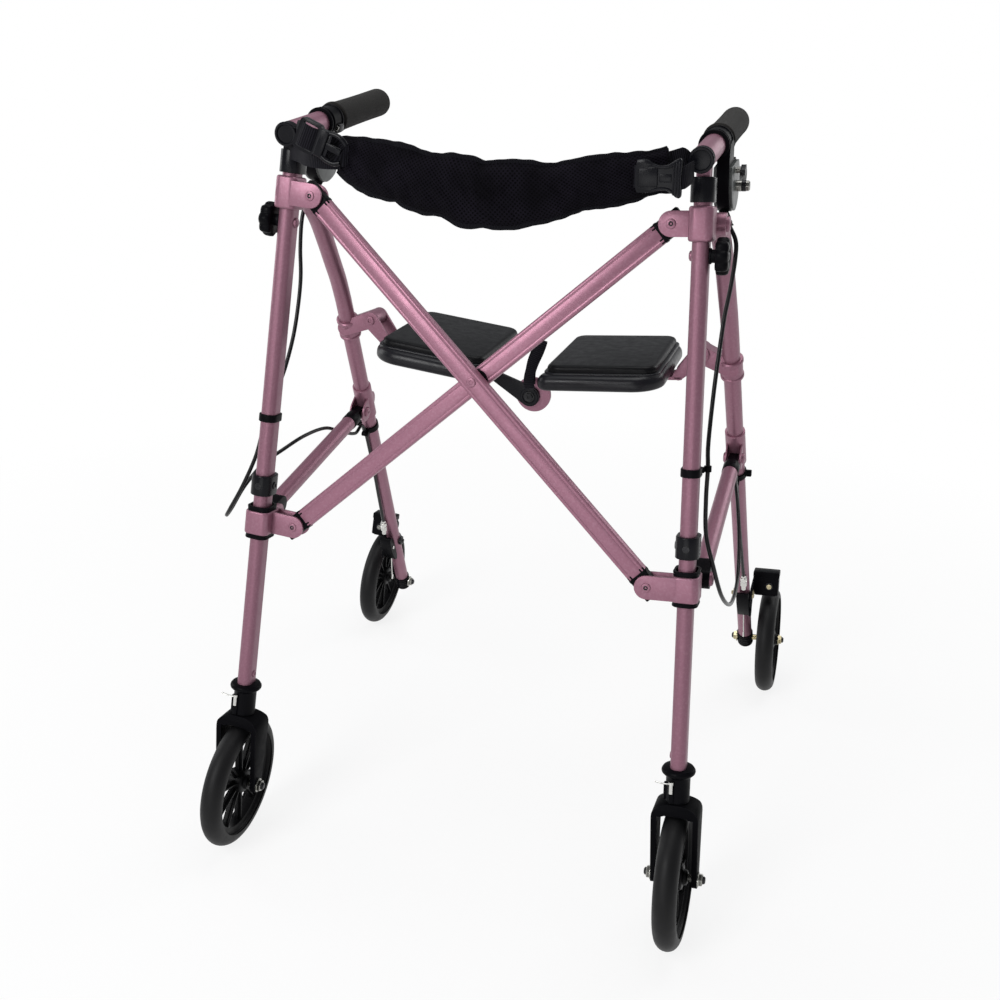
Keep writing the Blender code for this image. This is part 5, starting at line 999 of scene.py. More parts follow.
def weave_surface():
    """Spacer mesh cloth: small round holes in diagonal rows."""
    surface = Surface("black_mesh")
    rows, columns = (surface.wave("COSINE", axis, 0.0030, math.radians(45.0)) for axis in (0, 1))
    thread = surface.spread(surface.maths("ADD", rows, columns), 1.0, 0.0, 0.1, 1.3)
    worn = surface.spread(surface.noise(28.0, 4.0), 0.25, 1.0, 0.35, 0.7)
    tone = surface.blend(surface.maths("MULTIPLY", thread, worn), (0.0005, 0.0004, 0.0008),
                         (0.0072, 0.0058, 0.0100))
    surface.shade(Base_Color=tone, Roughness=0.88, Sheen_Weight=0.008, Sheen_Roughness=0.4,
                  Specular_IOR_Level=0.06)
    surface.bump(thread, 0.0005, 0.9)
    surface.bump(surface.noise(120.0, 3.0), 0.0006, 0.35)
    return surface.material


def binding_surface(name, period, light, rough=0.8):
    """Woven band with ribs across its length."""
    surface = Surface(name)
    rib = surface.spread(surface.wave("SINE", 0, period), 0.0, 1.0, -1.0, 1.0)
    surface.shade(Base_Color=surface.blend(rib, (0.0015, 0.0015, 0.0024), light), Roughness=rough,
                  Sheen_Weight=0.01, Specular_IOR_Level=0.08)
    surface.bump(rib, 0.0004, 0.9)
    surface.bump(surface.noise(900.0, 2.0), 0.0002, 0.5)
    return surface.material


PINK = pink_surface("pink_aluminium")
# Painted light and painted shade: the bars' copy of the pink is lighter and the legs' copy darker, for how
# light falls on them
PINK_BAR_PAINTED_LIGHT = pink_surface("pink_aluminium_bars_painted_light", 1.16)
PINK_LEG_PAINTED_SHADE = pink_surface("pink_aluminium_legs_painted_shade", 0.87)
# Where a colour follows the gleam, it is that surface's painted edge highlight
PLASTIC = plain_surface("black_plastic", (0.0022, 0.0022, 0.0030), (0.0038, 0.0037, 0.0049), 0.36, 0.04,
                        (0.006, 0.006, 0.008))
FORK = plain_surface("black_fork", (0.0030, 0.0030, 0.0037), (0.0048, 0.0047, 0.0058), 0.45, 0.012,
                     (0.008, 0.008, 0.010))
GLOSS = plain_surface("black_gloss", (0.0026, 0.0026, 0.0040), (0.0042, 0.0042, 0.0064), 0.25, 0.15,
                      (0.006, 0.006, 0.009), bump=0.00002)
SEAT = plain_surface("seat_plastic", (0.0036, 0.0036, 0.0056), (0.0056, 0.0056, 0.0086), 0.33, 0.26,
                     bump=0.00006, grain=300.0)
SEAT_TOP = plain_surface("seat_top", (0.0034, 0.0035, 0.0042), (0.0054, 0.0055, 0.0066), 0.36, 0.10,
                         bump=0.00010, grain=320.0)
GREY = plain_surface("grey_plastic", (0.046, 0.052, 0.050), (0.072, 0.080, 0.077), 0.36, 0.4,
                     (0.17, 0.18, 0.175))
RUBBER = plain_surface("black_tyre", (0.0036, 0.0036, 0.0042), (0.0072, 0.0070, 0.0076), 0.50, 0.20,
                       bump=0.0001, grain=160.0, cloud=30.0)
RIM = plain_surface("black_rim", (0.0018, 0.0018, 0.0022), (0.0034, 0.0033, 0.0040), 0.42, 0.12,
                    (0.006, 0.006, 0.007))
STEEL = plain_surface("zinc_steel", (0.50, 0.50, 0.48), (0.66, 0.65, 0.62), 0.26, 0.5, (0.82, 0.82, 0.79),
                      1.0)
DARK_STEEL = plain_surface("dark_steel", (0.10, 0.10, 0.095), (0.20, 0.195, 0.18), 0.22, 0.5,
                           (0.50, 0.50, 0.46), 1.0)
BRASS = plain_surface("passivated_steel", (0.30, 0.25, 0.14), (0.44, 0.38, 0.23), 0.25, 0.5,
                      (0.66, 0.60, 0.42), 1.0)
METAL = plain_surface("black_metal", (0.007, 0.007, 0.009), (0.014, 0.014, 0.017), 0.28, 0.2,
                      (0.04, 0.04, 0.04), 0.3)
CABLE = plain_surface("black_cable", (0.0030, 0.0030, 0.0038), (0.0050, 0.0050, 0.0062), 0.30, 0.25,
                      bump=0.00002)
FOAM = foam_surface()
MESH = weave_surface()
TAPE = binding_surface("black_tape", 0.0014, (0.0090, 0.0084, 0.0120))
WEBBING = binding_surface("black_webbing", 0.0021, (0.0120, 0.0112, 0.0160), 0.7)


# Pieces
def joined(parts):
    """One object from several, each part a closed body of its own."""
    first = parts[0]
    if len(parts) == 1:
        return first
    work = bmesh.new()
    for part in parts:
        work.from_mesh(part.data)
    for part in parts[1:]:
        bpy.data.objects.remove(part, do_unlink=True)
    first.data = mesh_of(work)
    return first


def eased(obj, width, segments=2, limit=30.0):
    """Round a solid's sharp edges."""
    modifier = obj.modifiers.new("ease", "BEVEL")
    modifier.width = width
    modifier.segments = segments
    modifier.limit_method = "ANGLE"
    modifier.angle_limit = math.radians(limit)
    modifier.use_clamp_overlap = True
    mesh = evaluated_mesh(obj)
    obj.modifiers.clear()
    obj.data = mesh
    return obj


def piece(name, parts, material, body, node=None, smooth=32.0):
    """Name a piece, give it its material, and let it ride on its body."""
    obj = joined(parts)
    coat(obj, name, material)
    for face in obj.data.polygons:
        face.material_index = 0
    obj.data.set_sharp_from_angle(angle=math.radians(smooth))
    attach(obj, body)
    if node:
        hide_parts(node)
    return obj


def coat(obj, name, material):
    obj.name = obj.data.name = name
    obj.data.materials.clear()
    obj.data.materials.append(material)
    obj.data.shade_smooth()


def lofted(rings, matrix, hollow=False):
    """Closed body through rings of as many points each; a hollow one joins its last ring to its first."""
    work = bmesh.new()
    loops = [[work.verts.new(point) for point in ring] for ring in rings]
    for first, second in zip(loops, loops[1:] + loops[:hollow]):
        for index in range(len(first)):
            after = (index + 1) % len(first)
            work.faces.new((first[index], first[after], second[after], second[index]))
    if not hollow:
        work.faces.new(loops[0][::-1])
        work.faces.new(loops[-1])
    bmesh.ops.recalc_face_normals(work, faces=work.faces)
    return solid_object(finish_mesh(mesh_of(work), matrix))


def rounded_ends(low, high, ease, steps=5, top_ease=None):
    """Pairs of level and inset from a body's low end to its high end, both ends rounded."""
    pairs = []
    for end, radius, hand in ((low, ease, 1), (high, top_ease or ease, -1)):
        angles = [math.pi / 2 * index / steps for index in range(steps + 1)]
        pairs += [(end + hand * radius * (1 - math.cos(angle)), radius * (1 - math.sin(angle)))
                  for angle in angles][::hand]
    return pairs


def box_ring(width, depth, corner, level, inset, x=0.0, y=0.0, steps=6):
    loop = rounded(width - 2 * inset, depth - 2 * inset, max(corner - inset, 0.0004), x, y, steps)
    return [(px, py, level) for px, py in loop]


def sleeve(width, depth, corner, bore, low, high, ease, matrix, y=0.0):
    """Ring of rounded-box outline round a bore of width, depth and corner, its outer ends rounded."""
    rings = [box_ring(width, depth, corner, level, inset, 0.0, y)
             for level, inset in rounded_ends(low, high, ease, 4)]
    return lofted(rings + [box_ring(*bore, high, 0.0), box_ring(*bore, low, 0.0)], matrix, True)


def barrel(radius, half, wide_ease, tall_ease):
    """Profile of a round body about z 0 with its two edges taken off, for turned()."""
    upper = [(0.0, half), (radius - wide_ease, half), (radius, half - tall_ease)]
    return upper + [(place, -height) for place, height in upper[::-1]]


def leg_sleeve(wall, low, high, ease, frame):
    """Ring round the front leg with the same wall all round."""
    width, depth, corner = LEG_BORE
    return sleeve(width + 2 * wall, depth + 2 * wall, corner + wall, LEG_BORE, low, high, ease, frame)


# Section of a band across and through it, and the step of its UV round the section
RIBBON_SECTION = ((-0.5, -0.3), (-0.46, -0.5), (0.46, -0.5), (0.5, -0.3),
                  (0.5, 0.3), (0.46, 0.5), (-0.46, 0.5), (-0.5, 0.3))
RIBBON_UV_STEP = 0.005


def head(radius, height, dimple=0.45, sink=0.0006):
    """Profile of a rivet or bolt head with a round dimple, on z 0, for turned()."""
    return [(0.0, height * 0.55), (radius * dimple * 0.8, height * 0.55), (radius * dimple, height * 0.98),
            (radius * 0.72, height), (radius * 0.93, height * 0.72), (radius, height * 0.25), (radius, -sink),
            (0.0, -sink)]


def socket_head(radius, height, sink=0.0006):
    """Profile of a socket screw's head."""
    return [(0.0, height * 0.35), (radius * 0.48, height * 0.35), (radius * 0.52, height),
            (radius * 0.86, height),
            (radius, height * 0.8), (radius, -sink), (0.0, -sink)]


def ribbon(path, wide, width, thick, cyclic=False):
    """Flat band along a path, wide being the direction across it at each point or everywhere."""
    work = bmesh.new()
    layer = work.loops.layers.uv.new("UVMap")
    places = [Vector(point) for point in path]
    count = len(places)
    rings, lengths = [], [0.0]
    for index, place in enumerate(places):
        if index:
            lengths.append(lengths[-1] + (place - places[index - 1]).length)
        after = places[(index + 1) % count] if cyclic else places[min(index + 1, count - 1)]
        before = places[index - 1] if cyclic or index else places[0]
        heading = (after - before).normalized()
        span = wide[index] if isinstance(wide, list) else wide
        normal = heading.cross(span).normalized()
        span = normal.cross(heading).normalized()
        reach = width[index] if isinstance(width, list) else width
        rings.append([work.verts.new(place + span * out * reach + normal * up * thick)
                      for out, up in RIBBON_SECTION])
    sides = len(RIBBON_SECTION)
    for first, second in zip(range(count), list(range(1, count)) + [0] * cyclic):
        ends = (lengths[first], lengths[second] if second else lengths[-1])
        for step in range(sides):
            after = (step + 1) % sides
            face = work.faces.new((rings[first][step], rings[first][after], rings[second][after],
                                   rings[second][step]))
            for loop, end, share in zip(face.loops, (0, 0, 1, 1), (step, step + 1, step + 1, step)):
                loop[layer].uv = (ends[end], share * RIBBON_UV_STEP)
    if not cyclic:
        work.faces.new(rings[0][::-1])
        work.faces.new(rings[-1])
    bmesh.ops.recalc_face_normals(work, faces=work.faces)
    return solid_object(mesh_of(work, "ribbon"))


# Front leg, collars and sleeves
LEG_ROUND = 0.0072
LEG_BORE = (LEG_WIDTH + 2 * TOUCH_GAP, LEG_DEPTH + 2 * TOUCH_GAP, LEG_ROUND)
SLIDE_BORE = (LEG_WIDTH + 2 * COLLAR_SIDE_GAP, LEG_DEPTH + 2 * COLLAR_DEPTH_GAP, LEG_ROUND)
HANDLE_BORE = HANDLE_RADIUS + TOUCH_GAP


def dress_front_leg(side, frame):
    tag, body = LABEL[side], LEG_BODY[side]
    outline = rounded(LEG_WIDTH, LEG_DEPTH, LEG_ROUND, steps=8)
    tube = eased(plate([outline], LEG_BOTTOM, LEG_TOP, frame), 0.0003, 1, 50.0)
    nub, low = (facing_out(side, frame, 0.0, level, -LEG_WIDTH / 2, -1)
                for level in (KNOB_PLACE, LEG_BOTTOM + 0.012))
    boss = turned([(0.0, 0.0030), (0.0030, 0.0029), (0.0046, 0.0020), (0.0052, 0.0), (0.0052, -0.001),
                   (0.0, -0.001)], nub)
    rivet = turned(head(0.0038, 0.0014), low)
    piece("front_leg_tube" + tag, [tube, boss, rivet], PINK_LEG_PAINTED_SHADE, body, "front_leg" + tag)

    # Sleeve that the handle slides in, and the stop sleeve with its recessed screw
    upper = (HANDLE_TUBE_WIDTH + 2 * TOUCH_GAP, HANDLE_TUBE_DEPTH + 2 * TOUCH_GAP, LEG_CORNER - LEG_WALL)
    wide, deep, corner = (size + share * BUSHING_WALL for size, share in zip(LEG_BORE, (2, 2, 1)))
    rings = [box_ring(wide, deep, corner, level, inset)
             for level, inset in rounded_ends(BUSHING_LOW, BUSHING_HIGH, 0.0008, 4)]
    seat = LEG_TOP + TOUCH_GAP
    for bore, level in ((upper, BUSHING_HIGH), (upper, seat), (LEG_BORE, seat), (LEG_BORE, BUSHING_LOW)):
        rings.append(box_ring(*bore, level, 0.0))
    piece("handle_bushing_sleeve" + tag, [lofted(rings, frame, True)], GLOSS, body, "handle_bushing" + tag)
    ring = leg_sleeve(STOP_WALL, STOP_PLACE - STOP_HEIGHT / 2, STOP_PLACE + STOP_HEIGHT / 2, 0.0009, frame)
    piece("stop_ring" + tag, [ring], GLOSS, body, "stop_sleeve" + tag)
    wall = TOUCH_GAP + STOP_WALL
    face = facing_out(side, frame, 0.0, STOP_PLACE, -LEG_WIDTH / 2 - wall, -1)
    front = frame @ Matrix.Translation((0.0, -LEG_DEPTH / 2 - wall, STOP_PLACE)) @ Z_FORWARD
    piece("stop_screw" + tag, [turned(socket_head(0.0042, 0.0012), face),
                               turned(socket_head(0.0034, 0.0004), front)], METAL, body)


def collar_shell(frame, level, height, bars_side, bore, depth_gap, ease):
    least = LEG_DEPTH / 2 + depth_gap + COLLAR_WALL
    forward, back = (max(ear_reach(bars_side, hand), least) for hand in (1, -1))
    return sleeve(bore[0] + 2 * COLLAR_WALL, back + forward, LEG_CORNER + 0.0022, bore, level - height / 2,
                  level + height / 2, ease, frame, (back - forward) / 2)


def clevis_parts(side, offset, level, bars_side):
    """Two ears that hold a bar's end with the rivet's heads, and a dark ring in each head's dimple, which is
    painted shade.
    """
    facing = raised(clevis_frame(side), level) @ Z_FORWARD
    near = BAR_THICK / 2 + TOUCH_GAP
    far = near + EAR_THICK
    forward = BAR_FORWARD[bars_side]
    ear = slot_outline((-side * offset, 0.0), (-side * EAR_ROOT, 0.0), EAR_RADIUS, 18)
    solids = [eased(plate([ear], *sorted((forward + hand * near, forward + hand * far)), facing), 0.0007)
              for hand in (-1, 1)]
    height = RIVET_HEAD_HEIGHT
    # painted shade: a dark ring set into each rivet head's dimple
    profile = [(0.0010, height - 0.0003), (0.0016, height + 0.0002), (0.0026, height - 0.0001),
               (0.0030, height - 0.0012), (0.0010, height - 0.0012), (0.0010, height - 0.0003)]
    spot = facing @ Matrix.Translation((-side * offset, 0.0, 0.0))
    ends = [end_frame(spot, forward + hand * far, hand) for hand in (1, -1)]
    solids += [turned(head(RIVET_HEAD_RADIUS, height), end) for end in ends]
    return solids, [turned(profile, end, 24) for end in ends]


def rear_ear_parts(side, frame, back, level):
    """Ear on a collar's back, and the hinge's bolt and nut."""
    inner = REAR_OUTSET - REAR_TUBE_RADIUS - TOUCH_GAP - REAR_EAR_THICK
    outer = REAR_OUTSET + REAR_TUBE_RADIUS + TOUCH_GAP
    outline = slot_outline((REAR_EAR_ROOT, level), (back, level), REAR_EAR_RADIUS, 18)
    ear = side_plate(side, frame, [outline], inner, inner + REAR_EAR_THICK)
    pin = side_rod(side, frame, HINGE_PIN_RADIUS, inner + PIN_SINK, outer + PIN_SINK, back, level)
    bolt = turned(head(HINGE_HEAD_RADIUS, HINGE_HEAD_HEIGHT, 0.4),
                  facing_out(side, frame, back, level, outer))
    nut = turned(head(NUT_RADIUS, HINGE_NUT_HEIGHT, 0.5), facing_out(side, frame, back, level, inner, -1), 6)
    return eased(ear, 0.0007), [pin, bolt, nut]


def dress_collar(side, frame, name, body, level, extra, shell, offset, bars_side, back):
    tag = LABEL[side]
    solids, painted_shade_rings = clevis_parts(side, offset, level, bars_side)
    # dark rings in the rivet heads' dimple, painted shade in black metal
    piece(name + "_rivet_dimple_painted_shade" + tag, painted_shade_rings, METAL, body)
    ear, bolt = rear_ear_parts(side, frame, back, level)
    piece(name + "_collar_body" + tag, [shell, ear] + solids + extra, PINK, body, name + "_collar" + tag)
    piece(name + "_collar_bolt" + tag, bolt, PINK, body)


def dress_collars(side, frame):
    width = LEG_BORE[0] + 2 * COLLAR_WALL
    top = COLLAR_HEIGHT / 2 - 0.004
    flutes = [block((place * width - 0.0015, -ear_reach(side, 1) - 0.0006, -top),
                    (place * width + 0.0015, -LEG_DEPTH / 2 - 0.001, top), frame, 0.0006, 2)
              for place in ((-0.30, 0.05, 0.34) if side == LEFT else ())]
    shell = collar_shell(frame, 0.0, COLLAR_HEIGHT, side, LEG_BORE, TOUCH_GAP, 0.0026)
    dress_collar(side, frame, "top", LEG_BODY[side], 0.0, flutes, shell, TOP_PIVOT_OFFSET, side,
                 REAR_HINGE_BACK)

    body, level = "slide" + LABEL[side], -COLLAR_DROP
    shell = collar_shell(frame, level, SLIDE_COLLAR_HEIGHT, -side, SLIDE_BORE, COLLAR_DEPTH_GAP, 0.0018)
    dress_collar(side, frame, "slide", body, level, [], shell, LOW_PIVOT_OFFSET, -side, LINK_COLLAR_BACK)
    tall = SLIDE_COLLAR_HEIGHT / 2 + BUSH_HEIGHT
    wide, deep = (size + 2 * COLLAR_WALL - 1.5 * BUSH_STEP for size in SLIDE_BORE[:2])
    rings = [sleeve(wide - BUSH_STEP, deep - BUSH_STEP, LEG_ROUND, SLIDE_BORE, level - tall + 0.001,
                    level + tall - 0.001, 0.0002, frame)]
    for start in (level - tall, level + tall - 0.0020):
        rings.append(sleeve(wide, deep, LEG_ROUND + 0.001, SLIDE_BORE, start, start + 0.0020, 0.0005, frame))
    piece("slide_bush" + LABEL[side], rings, PLASTIC, body)


# Handles
def dress_handle(side, frame):
    tag = LABEL[side]
    body = "handle" + tag
    along = handle_frame(frame)
    outer = rounded(HANDLE_TUBE_WIDTH, HANDLE_TUBE_DEPTH, LEG_CORNER - LEG_WALL - TOUCH_GAP, steps=6)
    upright = plate([outer], HANDLE_TUBE_BOTTOM, HANDLE_LEVEL, frame)
    level = rod(HANDLE_RADIUS, HANDLE_FRONT, GRIP_START + 0.02, along, 48)
    joint = eased(combine(upright, [level]), 0.0022, 3, 35.0)
    piece("handle_tube_body" + tag, [joint], PINK, body, "handle_tube" + tag, 40.0)

    # Flanged cap that the strap goes round
    front = HANDLE_FRONT - TOUCH_GAP
    end = front - CAP_LENGTH
    rim = end + CAP_FLANGE_THICK
    wide = CAP_FLANGE_RADIUS
    profile = [(0.0, front), (CAP_SPIGOT_RADIUS, front), (CAP_SPIGOT_RADIUS, rim), (wide - 0.0006, rim),
               (wide, rim - 0.0008), (wide, end + 0.0008), (wide - 0.0009, end),
               (wide - 0.0026, end - 0.0002),
               (wide - 0.0034, end + 0.0014), (wide * 0.4, end + 0.0018), (0.0, end + 0.0016)]
    piece("handle_cap_end" + tag, [turned(profile, along, 48)], GLOSS, body, "handle_cap" + tag)

    # Foam grip: rolled lip, soft barrel and a domed end
    dome, facets = 0.012, 9
    wide, start, shoulder = GRIP_RADIUS, GRIP_START, GRIP_START + GRIP_LIP_LENGTH
    profile = [(0.0, GRIP_END)]
    for index in range(1, facets + 1):
        angle = math.pi / 2 * index / facets
        profile.append((wide * math.sin(angle) ** 0.72, GRIP_END - dome * (1 - math.cos(angle) ** 0.9)))
    for share in (0.8, 0.6, 0.4, 0.2):
        place = shoulder + (GRIP_END - dome - shoulder) * share
        profile.append((wide - 0.0004 * math.sin(math.pi * share), place))
    profile += [(wide, shoulder), (wide - 0.0007, start + 0.0072), (wide + GRIP_LIP * 0.8, start + 0.0060),
                (wide + GRIP_LIP, start + 0.0040), (wide + GRIP_LIP * 0.7, start + 0.0014),
                (wide - 0.0010, start), (HANDLE_BORE, start), (HANDLE_BORE, start + dome),
                (0.0, start + dome)]
    grip = piece("grip_sleeve" + tag, [turned(profile[::-1], along, 64)], FOAM, body, "grip" + tag)


def dress_brake(side, frame):
    tag = LABEL[side]
    body = "handle" + tag
    along = handle_frame(frame)
    facing = brake_frame(frame)
    wide, start, end = CLAMP_RADIUS, CLAMP_START, CLAMP_END
    clamp = turned([(HANDLE_BORE, start), (wide - 0.0014, start), (wide - 0.0004, start + 0.0006),
                    (wide - 0.0004, start + 0.0022), (wide - 0.0012, start + 0.0028),
                    (wide - 0.0012, end - 0.003), (wide, end - 0.0024), (wide, end - 0.0006),
                    (wide - 0.0006, end), (HANDLE_BORE, end), (HANDLE_BORE, start)], along, 48)
    flange = turned([(HANDLE_BORE, start - 0.0075), (wide - 0.0006, start - 0.0075), (wide, start - 0.0068),
                     (wide, start - 0.0054), (wide - 0.0022, start - 0.0046), (wide - 0.0022, start + 0.0006),
                     (HANDLE_BORE, start + 0.0006), (HANDLE_BORE, start - 0.0075)], along, 48)
    shape = closed_smooth(brake_body_outline(), 3)
    inner, outer = BRAKE_BODY_INNER, BRAKE_BODY_OUTER
    core = eased(plate([shape], *sorted((side * (inner + 0.003), side * (outer - 0.003))), facing), 0.0006, 1)
    top, next_below = (Vector((side * out, back, rise)) for out, back, rise in CABLE_TOP[:2])
    turn = (top - next_below).normalized().to_track_quat("Z", "Y").to_matrix().to_4x4()
    boot = turned([(0.0, 0.018), (0.0044, 0.018), (0.0044, 0.008), (0.0036, 0.006), (0.0042, 0.004),
                   (0.0036, 0.002), (0.0042, -0.0003), (0.0, -0.0003)],
                  frame @ Matrix.Translation(top) @ turn)
    piece("brake_body" + tag, [clamp, flange, core, boot], PLASTIC, body, "brake_housing" + tag)

    # Grey covers each side, set in from the core's edge
    middle_x = (BRAKE_BODY_REAR - BRAKE_BODY_FRONT) / 2
    middle_y = -BRAKE_BODY_DROP * 0.6
    cover = [(middle_x + (x - middle_x) * 0.97, middle_y + (y - middle_y) * 0.97)
             for x, y in shape if y < -0.018]
    covers = [eased(plate([cover], *sorted((side * low, side * high)), facing), 0.0011, 3)
              for low, high in ((inner, inner + 0.0034), (outer - 0.0034, outer))]
    piece("brake_cover" + tag, covers, GREY, body)

    # Adjusters and screws
    spots = ((BRAKE_BOSS_REAR - 0.004, -0.40 * BRAKE_BODY_DROP), (0.010, -0.66 * BRAKE_BODY_DROP))
    wing, barrel = (facing @ Matrix.Translation((x, y, side * outer)) @ outward(side) for x, y in spots)
    screws = [turned([(0.0, 0.0060), (0.0028, 0.0060), (0.0028, 0.0), (0.0048, -0.0002), (0.0048, -0.001),
                      (0.0, -0.001)], wing),
              turned([(0.0, 0.0132), (0.0040, 0.0130), (0.0050, 0.0118), (0.0050, 0.0094), (0.0040, 0.0092),
                      (0.0040, 0.0052), (0.0050, 0.0050), (0.0054, 0.0040), (0.0054, 0.0002), (0.0, -0.001)],
                     barrel)]
    blade = slot_outline((-0.0038, -0.0012), (0.0042, 0.0012), 0.0034, 12)
    knobs = [eased(plate([blade], 0.0052, 0.0100, wing), 0.0009),
             turned([(0.0, 0.0096), (0.0050, 0.0096), (0.0054, 0.0088), (0.0054, 0.0054), (0.0050, 0.0048),
                     (0.0, 0.0048)], barrel)]
    lug = along @ Matrix.Translation((-side * (wide - 0.002), 0.006, (start + end) / 2 + 0.002))
    knobs.append(block((-0.0035, -0.004, -0.006), (0.0035, 0.004, 0.006), lug, 0.0012, 2))
    screws.append(turned(socket_head(0.0030, 0.0020), end_frame(lug, -0.006, -1)))
    piece("brake_adjuster_knob" + tag, knobs, METAL, body)
    piece("brake_screw" + tag, screws, DARK_STEEL, body)

    # Lever: blade that swells towards its tip
    pivot = facing @ Matrix.Translation((LEVER_PIVOT_REAR, -LEVER_PIVOT_DROP, side * (inner + outer) / 2))
    line = LEVER_LINE + ((LEVER_REACH, LEVER_END_DROP),)
    blade = tube_along(smooth_path([(rear, -drop, 0.0) for rear, drop in line], 6), LEVER_ROD_RADIUS,
                       pivot, 5)
    outline = slot_outline((LEVER_REACH - LEVER_TIP_LENGTH, -LEVER_TIP_DROP), (LEVER_REACH, -LEVER_TIP_DROP),
                           LEVER_TIP_RADIUS, 12)
    tip = eased(plate([outline], -LEVER_ROD_RADIUS, LEVER_ROD_RADIUS, pivot), 0.002, 3)
    half = LEVER_ROD_RADIUS + LEVER_BOSS_EXTRA
    boss = eased(rod(LEVER_BOSS_RADIUS, -half, half, pivot), 0.0005)
    piece("brake_lever_blade" + tag, [blade, tip, boss], PLASTIC, "lever" + tag, "brake_lever" + tag)


def dress_knob(side, frame):
    """Eight-lobed star knob with a domed face, a plain neck with a small flange at its foot, and a glossy
    domed cap.
    """
    tag = LABEL[side]
    spot = facing_out(side, frame, 0.0, KNOB_PLACE, 0.0)
    around, back, front = 96, KNOB_START + KNOB_BACK, KNOB_START + KNOB_THICK
    rings = []
    for place, share in ((back, 0.90), (back + 0.0012, 0.98), (KNOB_START + 0.009, 1.0),
                         (KNOB_START + 0.0128, 0.985), (KNOB_START + 0.0150, 0.92), (front, 0.74),
                         (front - 0.0003, 0.40), (front - 0.0012, 0.34)):
        ring = []
        for index in range(around):
            angle = 2 * math.pi * index / around
            swell = (0.5 + 0.5 * math.cos(KNOB_LOBES * angle)) ** 0.6
            lobe = KNOB_WAIST + (1 - KNOB_WAIST) * swell if share > 0.5 else 1.0
            radius = KNOB_RADIUS * share * lobe
            ring.append((radius * math.cos(angle), radius * math.sin(angle), place))
        rings.append(ring)
    start, wide = LEG_WIDTH / 2 + TOUCH_GAP, KNOB_BOSS_RADIUS + 0.0012
    neck = turned([(0.0, back + 0.002), (KNOB_BOSS_RADIUS, back + 0.002), (KNOB_BOSS_RADIUS, start + 0.002),
                   (wide, start + 0.0014), (wide, start), (0.0, start)], spot)
    piece("height_knob_star" + tag, [lofted(rings, spot), neck], PLASTIC, "knob" + tag,
          "height_knob" + tag, 50.0)
    dome = turned([(0.0, 0.0012), (0.003, 0.0010), (0.0048, 0.0), (0.0, -0.001)],
                  raised(spot, front - 0.0012))
    piece("height_knob_cap" + tag, [dome], GLOSS, "knob" + tag)


# Cross of bars
def dress_bar(bars_side):
    tag = LABEL[bars_side]
    body = "cross" + tag
    length = BAR_TOP_ARM + BAR_LOW_ARM
    turn = bar_frame(bars_side) @ Z_OUTWARD
    # A fine groove near each edge of the two broad faces
    half, wide, deep, corner = BAR_THICK / 2, BAR_WIDTH / 2, 0.0006, 0.0026
    middle, rim = wide - 0.0042, 0.0013
    groove = [(half, middle + rim), (half - deep, middle), (half, middle - rim)]
    flank = (arc(corner, half - corner, corner - wide, math.radians(-75.0), 0.0, 5)
             + [(x, -y) for x, y in groove] + groove[::-1]
             + arc(corner, half - corner, wide - corner, 0.0, math.pi / 2, 6))
    outline = [(hand * x, hand * y) for hand in (1, -1) for x, y in flank]
    end = BAR_PLUG_REACH + BAR_PLUG_STEP
    rings = [[(x * share, y * share, level) for x, y in outline] for level, share in
             ((end, 0.975), (end + 0.0003, 1.0), (length - end - 0.0003, 1.0), (length - end, 0.975))]
    piece("cross_bar_tube" + tag, [lofted(rings, turn)], PINK_BAR_PAINTED_LIGHT, body, "cross_bar" + tag)
    plugs = []
    for low, high, ring in ((-BAR_PLUG_REACH, end + 0.004, end - 0.0030),
                            (length - end - 0.004, length + BAR_PLUG_REACH, length - end)):
        for size, ends in (((BAR_THICK - BAR_PLUG_EASE, BAR_WIDTH - BAR_PLUG_EASE, BAR_PLUG_CORNER),
                            rounded_ends(low, high, 0.0012)),
                           ((BAR_THICK + 0.0002, BAR_WIDTH + 0.0008, 0.0022),
                            rounded_ends(ring, ring + 0.003, 0.0004))):
            plugs.append(lofted([box_ring(*size, level, inset, steps=4) for level, inset in ends], turn))
    piece("cross_bar_plug" + tag, plugs, PLASTIC, body)


def dress_rivet():
    facing = raised(front_frame(), -TOP_PIVOT_DROP - BAR_TOP_ARM * math.sin(BAR_ANGLE)) @ Z_FORWARD
    front = BAR_FORWARD[RIGHT] + BAR_THICK / 2 + TOUCH_GAP
    back = BAR_FORWARD[LEFT] - BAR_THICK / 2 - TOUCH_GAP
    heads = [turned(head(RIVET_HEAD_RADIUS, RIVET_HEAD_HEIGHT), end_frame(facing, place, hand))
             for place, hand in ((front, 1), (back, -1))]
    piece("cross_rivet_heads", heads, PINK, "cross_right", "cross_bar_rivet")
    half = BAR_SPACER / 2 - TOUCH_GAP
    spacer = turned(barrel(SPACER_RADIUS, half, 0.0006, 0.0006), raised(facing, BARS_MIDDLE_FORWARD), 40)
    pin = rod(PIVOT_PIN_RADIUS - 0.0002, back, front, facing)
    piece("cross_rivet_spacer", [spacer, pin], PLASTIC, "cross_right")


# Rear leg and side link
BRACKET_HOLLOW = 0.0022


